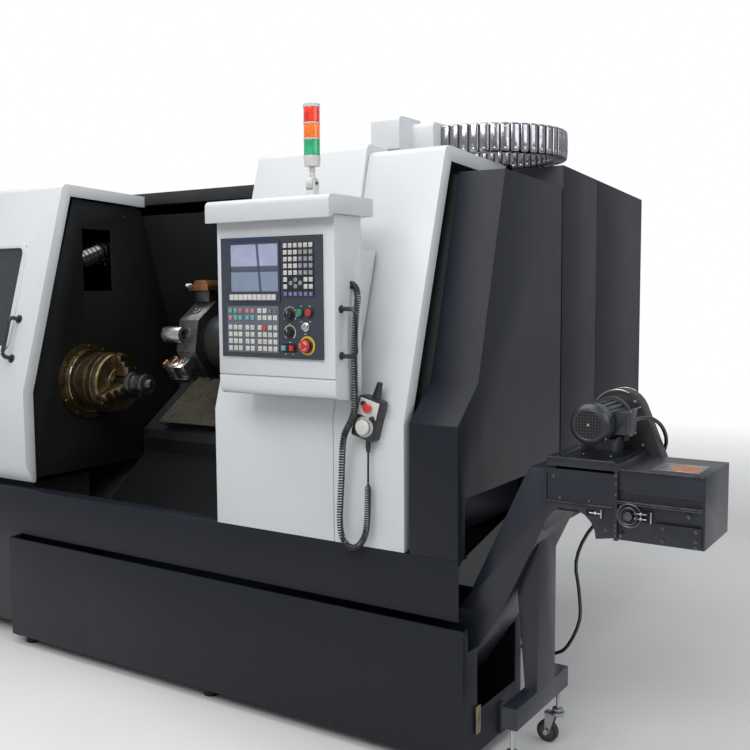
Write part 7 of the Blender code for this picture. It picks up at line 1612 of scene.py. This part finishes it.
@dataclass
class CableGuide:
    """Roof duct and the ribbed steel guide that loops from the door to the cabinet."""

    frame: dict
    centre_x: float = 0.945
    centre_y: float = 0.07
    radius: float = 0.27
    start_x: float = 0.90
    end_x: float = 0.7103
    level: float = 2.03
    half_wide: float = 0.0245
    half_tall: float = 0.0520
    pitch: float = 0.0332
    soft: float = 0.008
    waist: float = 0.93
    core_share: float = 0.78
    plate_half: float = 0.030
    rivet_rise: float = 0.037

    def place(self, run: float) -> tuple[Vector, Vector]:
        """Centre and outward side at a distance along the loop."""
        first = self.centre_x - self.start_x
        arc = math.pi * self.radius
        if run < first:
            side, x = -1, self.start_x + run
        elif run < first + arc:
            turn = (run - first) / self.radius - math.pi / 2
            out = Vector((math.cos(turn), math.sin(turn), 0.0))
            return Vector((self.centre_x, self.centre_y, self.level)) + out * self.radius, out
        else:
            side, x = 1, self.centre_x - (run - first - arc)
        return Vector((x, self.centre_y + side * self.radius, self.level)), Vector((0, side, 0))

    def section(self, form: Form, run: float, share: float) -> list[bmesh.types.BMVert]:
        """Add a rounded rectangular ring at a place along the loop."""
        centre, out = self.place(run)
        soft = self.soft
        wide = self.half_wide * share - soft
        tall = self.half_tall * (1 - (1 - share) * 0.5) - soft
        ring = []
        for sx, sz, start in ((1, 1, 0.0), (-1, 1, 90.0), (-1, -1, 180.0), (1, -1, 270.0)):
            for k in range(4):
                turn = math.radians(start + 30.0 * k)
                ring.append(centre + out * (sx * wide + soft * math.cos(turn))
                            + Vector((0, 0, sz * tall + soft * math.sin(turn))))
        return form.loop(ring)

    def build(self) -> None:
        """Make the guide in links over a dark core, and dress the duct."""
        dress(self.frame, {"cable_duct": Look.WHITE}, 0.003)
        total = self.centre_x - self.start_x + math.pi * self.radius
        total += self.centre_x - self.end_x
        links, core, rivets = Form(), Form(), Form()
        count = int(total / self.pitch)
        pitch = total / count
        for i in range(count):
            low, high = pitch * (i + 0.09), pitch * (i + 0.91)
            stations = ((low, self.waist), (low + 0.0025, 1.0), ((low + high) / 2, 1.0),
                        (high - 0.0025, 1.0), (high, self.waist))
            links.skin([self.section(links, run, share) for run, share in stations])
            centre, out = self.place((low + high) / 2)
            near, far = (self.place(low + pitch * share)[0] for share in (0.22, 0.60))
            for side in (-1, 1):
                foot = out * side * (self.half_wide + 0.0002)
                drop = Vector((0, 0, self.plate_half))
                links.prism([near + foot - drop, far + foot - drop, far + foot + drop,
                             near + foot + drop], out * side * 0.0010, 0.0004)
                for z in (-self.rivet_rise, self.rivet_rise):
                    seat = centre + out * side * (self.half_wide - 0.0008) + Vector((0, 0, z))
                    rivets.turned(seat, out * side,
                                  [(0.0, 0.0034), (0.0012, 0.0032), (0.0018, 0.0020)], 10)
        steps = 90
        core.skin([self.section(core, total * k / steps, self.core_share)
                   for k in range(steps + 1)])
        pieces = [core.piece("guide_core", Look.RUBBER, "", "black_plastic",
                             replaces=["cable_hose"]),
                  links.piece("guide_links", Look.CHROME, "", "bright_steel"),
                  rivets.piece("guide_rivets", Look.BRIGHT, "", "bright_steel")]
        for made in pieces:
            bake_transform(made)


# ---------------------------------------------------------------- chip conveyor
@dataclass
class Conveyor:
    """Chip conveyor: casing, head, motor, chain guard and casters."""

    frame: dict
    shaft: tuple[float, float] = (1.766, 0.862)
    motor: tuple[float, float] = (1.633, 1.106)
    front: float = -0.694
    side: float = -0.669
    motor_front: float = -0.670
    big: float = 0.0795
    small: float = 0.0495
    hole_pitch: float = 0.0088
    hole_half: float = 0.0029
    grille: float = 0.0395
    chip_count: int = 90
    chip_level: float = 1.0034
    chip_turn: float = 2.399
    caster_x: float = 1.41
    axle_z: float = 0.0365

    def dress(self) -> None:
        """Give the conveyor's solids their finish."""
        dress(self.frame, {"conveyor_casing": Look.CONVEYOR, "conveyor_head": Look.CONVEYOR,
                           "conveyor_leg": Look.CONVEYOR}, 0.0012)
        dress(self.frame, {"chain_guard": Look.BLACK, "gear_motor": Look.MOTOR}, 0.0010)
        dress(self.frame, {"conveyor_shaft": Look.DARK_STEEL,
                           "caster_fork_front": Look.ZINC, "caster_fork_rear": Look.ZINC,
                           "caster_wheel_front": Look.RUBBER,
                           "caster_wheel_rear": Look.RUBBER}, 0.0008)

    def sheets(self) -> None:
        """Add the head's angle irons, lips, near-black blocks of painted shade for its slots,
        bright plate and bare label.
        """
        face = self.front + 0.003
        sheets, lips = Form(), Form()
        sheets.block((1.7225, face - 0.0065, 0.787), (1.7320, face + 0.001, 0.985), 0.0008)
        lips.block((1.7330, face - 0.0105, 0.8990), (1.9660, face + 0.001, 0.9025), 0.0008)
        lips.block((1.7330, face - 0.0060, 0.8925), (1.9660, face + 0.001, 0.8950), 0.0008)
        lips.block((1.5060, -0.6775, 0.8725), (1.7140, self.side, 0.8755), 0.0008)
        lips.block((1.7325, face - 0.0022, 0.9880), (1.9660, face + 0.001, 0.9912), 0.0008)
        lips.block((1.5085, -0.6745, 1.0035), (1.7160, -0.6700, 1.0062), 0.0008)
        lips.piece("head_lips", Look.DARK_STEEL, "machine", "dark_steel")
        sheets.block((1.8360, face - 0.0020, 0.7890), (1.9640, face + 0.001, 0.8480), 0.0008)
        sheets.block((1.5010, -0.6735, 0.8760), (1.5080, self.side, 0.9600), 0.0008)
        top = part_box("conveyor_head")[1].z
        for x in (1.5085, 1.7000):
            sheets.block((x, -0.672, top + 0.0002), (x + 0.016, -0.432, top + 0.0030), 0.0008)
        sheets.block((1.5085, -0.6735, top - 0.024), (1.7160, -0.6695, top + 0.0030), 0.0008)
        sheets.piece("head_sheets", Look.CONVEYOR, "machine", "dark_paint")
        # Near-black blocks over the slots: painted shade for their dark openings.
        slot = Form()
        slot.block((1.5420, -0.6706, 0.8480), (1.6080, self.side, 0.8540))
        slot.block((1.6300, -0.6706, 0.8430), (1.6640, self.side, 0.8600))
        slot.block((1.7950, face - 0.0006, 0.8480), (1.8280, face + 0.001, 0.8780))
        slot.piece("head_slots", Look.HOLE, "machine", "black_plastic")
        plate = Form().block((1.8120, -0.6450, 0.9890), (1.9420, -0.5250, 0.9912), 0.0006)
        plate.piece("head_plate", Look.ZINC, "machine", "zinc")
        label = Form().block((1.8580, -0.6300, 0.9906), (1.9320, -0.5600, 0.9916), 0.0002)
        label.piece("head_label", Look.ORANGE, "machine", "red_plastic")

    def fixings(self) -> None:
        """Add the head's bolts, its tensioning screws and the rings of the shaft's bearing."""
        face = self.front + 0.0028
        bolts, screws = Form(), Form()
        raised = ((1.8600, 0.8380), (1.8600, 0.8020), (1.9500, 0.8380), (1.9500, 0.8120),
                  (1.9500, 0.7940))
        bolts.bolts([(x, face - 0.002, z) for x, z in raised]
                    + [(1.9300, face, 0.8770), (1.7420, face, 0.8000)], FRONT, 0.0048, 0.0036, True)
        bolts.bolts([(x, -0.670, z) for x, z in ((1.5300, 0.9480), (1.5500, 0.8850),
                                                 (1.6400, 0.8850), (1.6900, 0.8060))],
                    FRONT, 0.0046, 0.0034, True)
        heights = (0.800, 0.815, 0.830, 0.918, 0.950, 0.972)
        bolts.bolts([(1.7272, face - 0.0062, z) for z in heights], FRONT, 0.0034, 0.0026, True)
        for x, z in ((1.672, 0.8515), (1.8120, 0.8700), (1.8120, 0.8560)):
            start = (x - 0.030, -0.6750 if x < 1.7 else face - 0.0060, z)
            screws.turned(start, RIGHT, [(0.0, 0.0022), (0.034, 0.0022)], 10)
            screws.turned(Vector(start) + Vector((0.016, 0, 0)), RIGHT,
                          [(0.0, 0.0052), (0.0045, 0.0052)], 6)
        screws.block((1.6760, -0.6790, 0.8400), (1.6800, self.side, 0.8640), 0.0006)
        screws.block((1.8270, face - 0.0110, 0.8480), (1.8310, face + 0.001, 0.8790), 0.0006)
        screws.piece("tension_screws", Look.ZINC, "machine", "zinc")
        bolts.piece("head_bolts", Look.DARK_STEEL, "machine", "dark_steel")
        x, z = self.shaft
        bearing = Form().ring((x, self.front - 0.0010, z), FRONT, 0.0330, 0.0035, 40)
        bearing.ring((x, self.front - 0.0090, z), FRONT, 0.0240, 0.0020, 36)
        seats = [(x + 0.0335 * math.cos(t), self.front - 0.0020, z + 0.0335 * math.sin(t))
                 for t in (math.radians(45 + 90 * k) for k in range(4))]
        bearing.bolts(seats, FRONT, 0.0032, 0.0028, True)
        bearing.piece("bearing_rings", Look.DARK_STEEL, "machine", "dark_steel")
        hub = Form().turned((x, -0.7096, z), FRONT,
                            [(-0.0006, 0.0050), (0.0003, 0.0046), (0.0003, 0.0020)], 20)
        hub.piece("shaft_centre", Look.STEEL, "head_shaft", "bright_steel")

    def guard(self) -> None:
        """Add the chain guard's bright rolled lips and screws."""
        lips, screws = Form(), Form()
        low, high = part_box("chain_guard")
        (sx, sz), (mx, mz) = self.shaft, self.motor
        run = Vector((sx - mx, 0, sz - mz))
        lean = math.atan2(run.z, run.x)
        half = math.acos((self.big - self.small) / run.length)
        rim = []
        for k in range(25):
            turn = lean + half + (2 * math.pi - 2 * half) * k / 24
            rim.append((mx + self.big * math.cos(turn), mz + self.big * math.sin(turn)))
        for y in (low.y - 0.0004, high.y + 0.0004):
            lips.tube([Vector((px, y, pz)) for px, pz in rim[:1] + rim[:4:-1]], 0.0024, 8)
        lips.piece("guard_lips", Look.STEEL, "machine", "bright_steel")
        middle = Vector((mx, 0, mz)) + run * 0.42
        screws.bolts([(middle.x + 0.025, low.y, middle.z + 0.015),
                      (mx + 0.055, low.y, mz + 0.045)], FRONT, 0.0042, 0.0030, True)
        screws.piece("guard_screws", Look.ZINC, "machine", "zinc")

    def drive(self) -> None:
        """Add the fan grille with near-black blocks of painted shade in its holes, the terminal
        box's lid and gland, and the motor's screws.
        """
        x, z = self.motor
        front = self.motor_front
        rim, grille_shade = Form(), Form()
        rim.ring((x, front + 0.0010, z), FRONT, 0.0435, 0.0025, 48)
        rim.turned((x, front + 0.050, z), FRONT,
                   [(0.0, 0.0590), (0.001, 0.0606), (0.006, 0.0606), (0.007, 0.0590)], 48)
        side = x + 0.0912
        rim.block((side - 0.0025, front + 0.0875, z - 0.0400),
                  (side + 0.0015, front + 0.1490, z + 0.0400), 0.0014)
        rim.turned((x + 0.070, front + 0.118, z - 0.0415), DOWN,
                   [(-0.002, 0.0105), (0.0060, 0.0105), (0.0070, 0.0085), (0.0140, 0.0085)], 20)
        rim.block((x - 0.0300, front + 0.0850, z + 0.0525),
                  (x + 0.0100, front + 0.1450, z + 0.0570), 0.002)
        rim.piece("motor_trim", Look.MOTOR, "machine", "motor_paint")
        # Near-black blocks in the fan grille: painted shade for the dark inside its holes.
        for i in range(-4, 5):
            for k in range(-4, 5):
                cx, cz = x + self.hole_pitch * i, z + self.hole_pitch * k
                if math.hypot(cx - x, cz - z) < self.grille and (i or k):
                    grille_shade.block((cx - self.hole_half, front - 0.0002, cz - self.hole_half),
                                (cx + self.hole_half, front + 0.0010, cz + self.hole_half))
        grille_shade.piece("fan_holes", Look.HOLE, "machine", "black_plastic")
        screws = Form()
        screws.bolt((x, front, z), FRONT, 0.0036, 0.0016)
        for y in (front + 0.0935, front + 0.1430):
            for dz in (-0.034, 0.034):
                screws.bolt((side + 0.0012, y, z + dz), RIGHT, 0.0030, 0.0018)
        for k in range(4):
            turn = math.radians(45 + 90 * k)
            screws.bolt((x + 0.0603 * math.cos(turn), front + 0.028, z + 0.0603 * math.sin(turn)),
                        (math.cos(turn), 0, math.sin(turn)), 0.0032, 0.0016)
        screws.bolts([(x + dx, y, 1.0080) for dx in (-0.042, 0.042)
                      for y in (front + 0.080, front + 0.140)], UP, 0.0050, 0.0040, True)
        screws.piece("motor_screws", Look.STEEL, "machine", "bright_steel")

    def chips(self) -> None:
        """Strew fine chips on the motor's frame."""
        swarf = Form()
        for k in range(self.chip_count):
            share = (k * 0.6180339) % 1.0
            other = (k * 0.7548776) % 1.0
            x, y = 1.512 + 0.196 * share, -0.668 + 0.014 * other
            if k % 5 == 0:
                y = -0.664 + 0.200 * other
                x = 1.512 + 0.010 * share
            turn = k * self.chip_turn
            way = Vector((math.cos(turn), math.sin(turn), 0.15)) * (0.0016 + 0.0022 * other)
            side = Vector((-way.y, way.x, 0.0)).normalized() * 0.0006
            foot = Vector((x, y, self.chip_level))
            swarf.prism([foot - side, foot + way - side, foot + way + side, foot + side],
                        (0, 0, 0.0005))
        swarf.piece("frame_chips", Look.BRASSY, "machine", "bright_steel")

    def casters(self) -> None:
        """Add the casters' axle nuts, wheel hubs and bearing cups."""
        for name, body, roller in (("front", "swivel_front", "roller_front"),
                                   ("rear", "swivel_rear", "roller_rear")):
            low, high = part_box(f"caster_fork_{name}")
            middle = (low.y + high.y) / 2
            nuts = Form()
            for side, y in ((-1, low.y), (1, high.y)):
                nuts.bolt((self.caster_x, y, self.axle_z), (0, side, 0), 0.0070, 0.0050, True)
            nuts.turned((1.445, middle, 0.1120), UP,
                        [(0.0, 0.0150), (0.004, 0.0180), (0.010, 0.0180), (0.013, 0.0120)], 24)
            nuts.piece(f"caster_nuts_{name}", Look.ZINC, body, "zinc")
            wheel_low, wheel_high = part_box(f"caster_wheel_{name}")
            hubs = Form()
            for side, y in ((-1, wheel_low.y), (1, wheel_high.y)):
                hubs.turned((self.caster_x, y - side * 0.0010, self.axle_z), (0, side, 0),
                            [(0.0, 0.0230), (0.0015, 0.0225), (0.0018, 0.0120), (0.0018, 0.0085)],
                            28)
            hubs.piece(f"caster_hubs_{name}", Look.DARK_STEEL, roller, "dark_steel")

    def build(self) -> None:
        """Make the conveyor's looks."""
        self.dress()
        self.sheets()
        self.fixings()
        self.guard()
        self.drive()
        self.chips()
        self.casters()


def main() -> None:
    """Build the machine's looks from the frame outwards."""
    logging.basicConfig(level=logging.INFO, format="%(message)s")
    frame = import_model()
    Studio().build()
    Leads().build()
    Enclosure(frame).build()
    Workspace(frame).build()
    OperatorStation(frame).build()
    MainDoor(frame).build()
    Pendant(frame).build()
    SignalTower(frame).build()
    CableGuide(frame).build()
    Conveyor(frame).build()


if __name__ == "__main__":
    main()
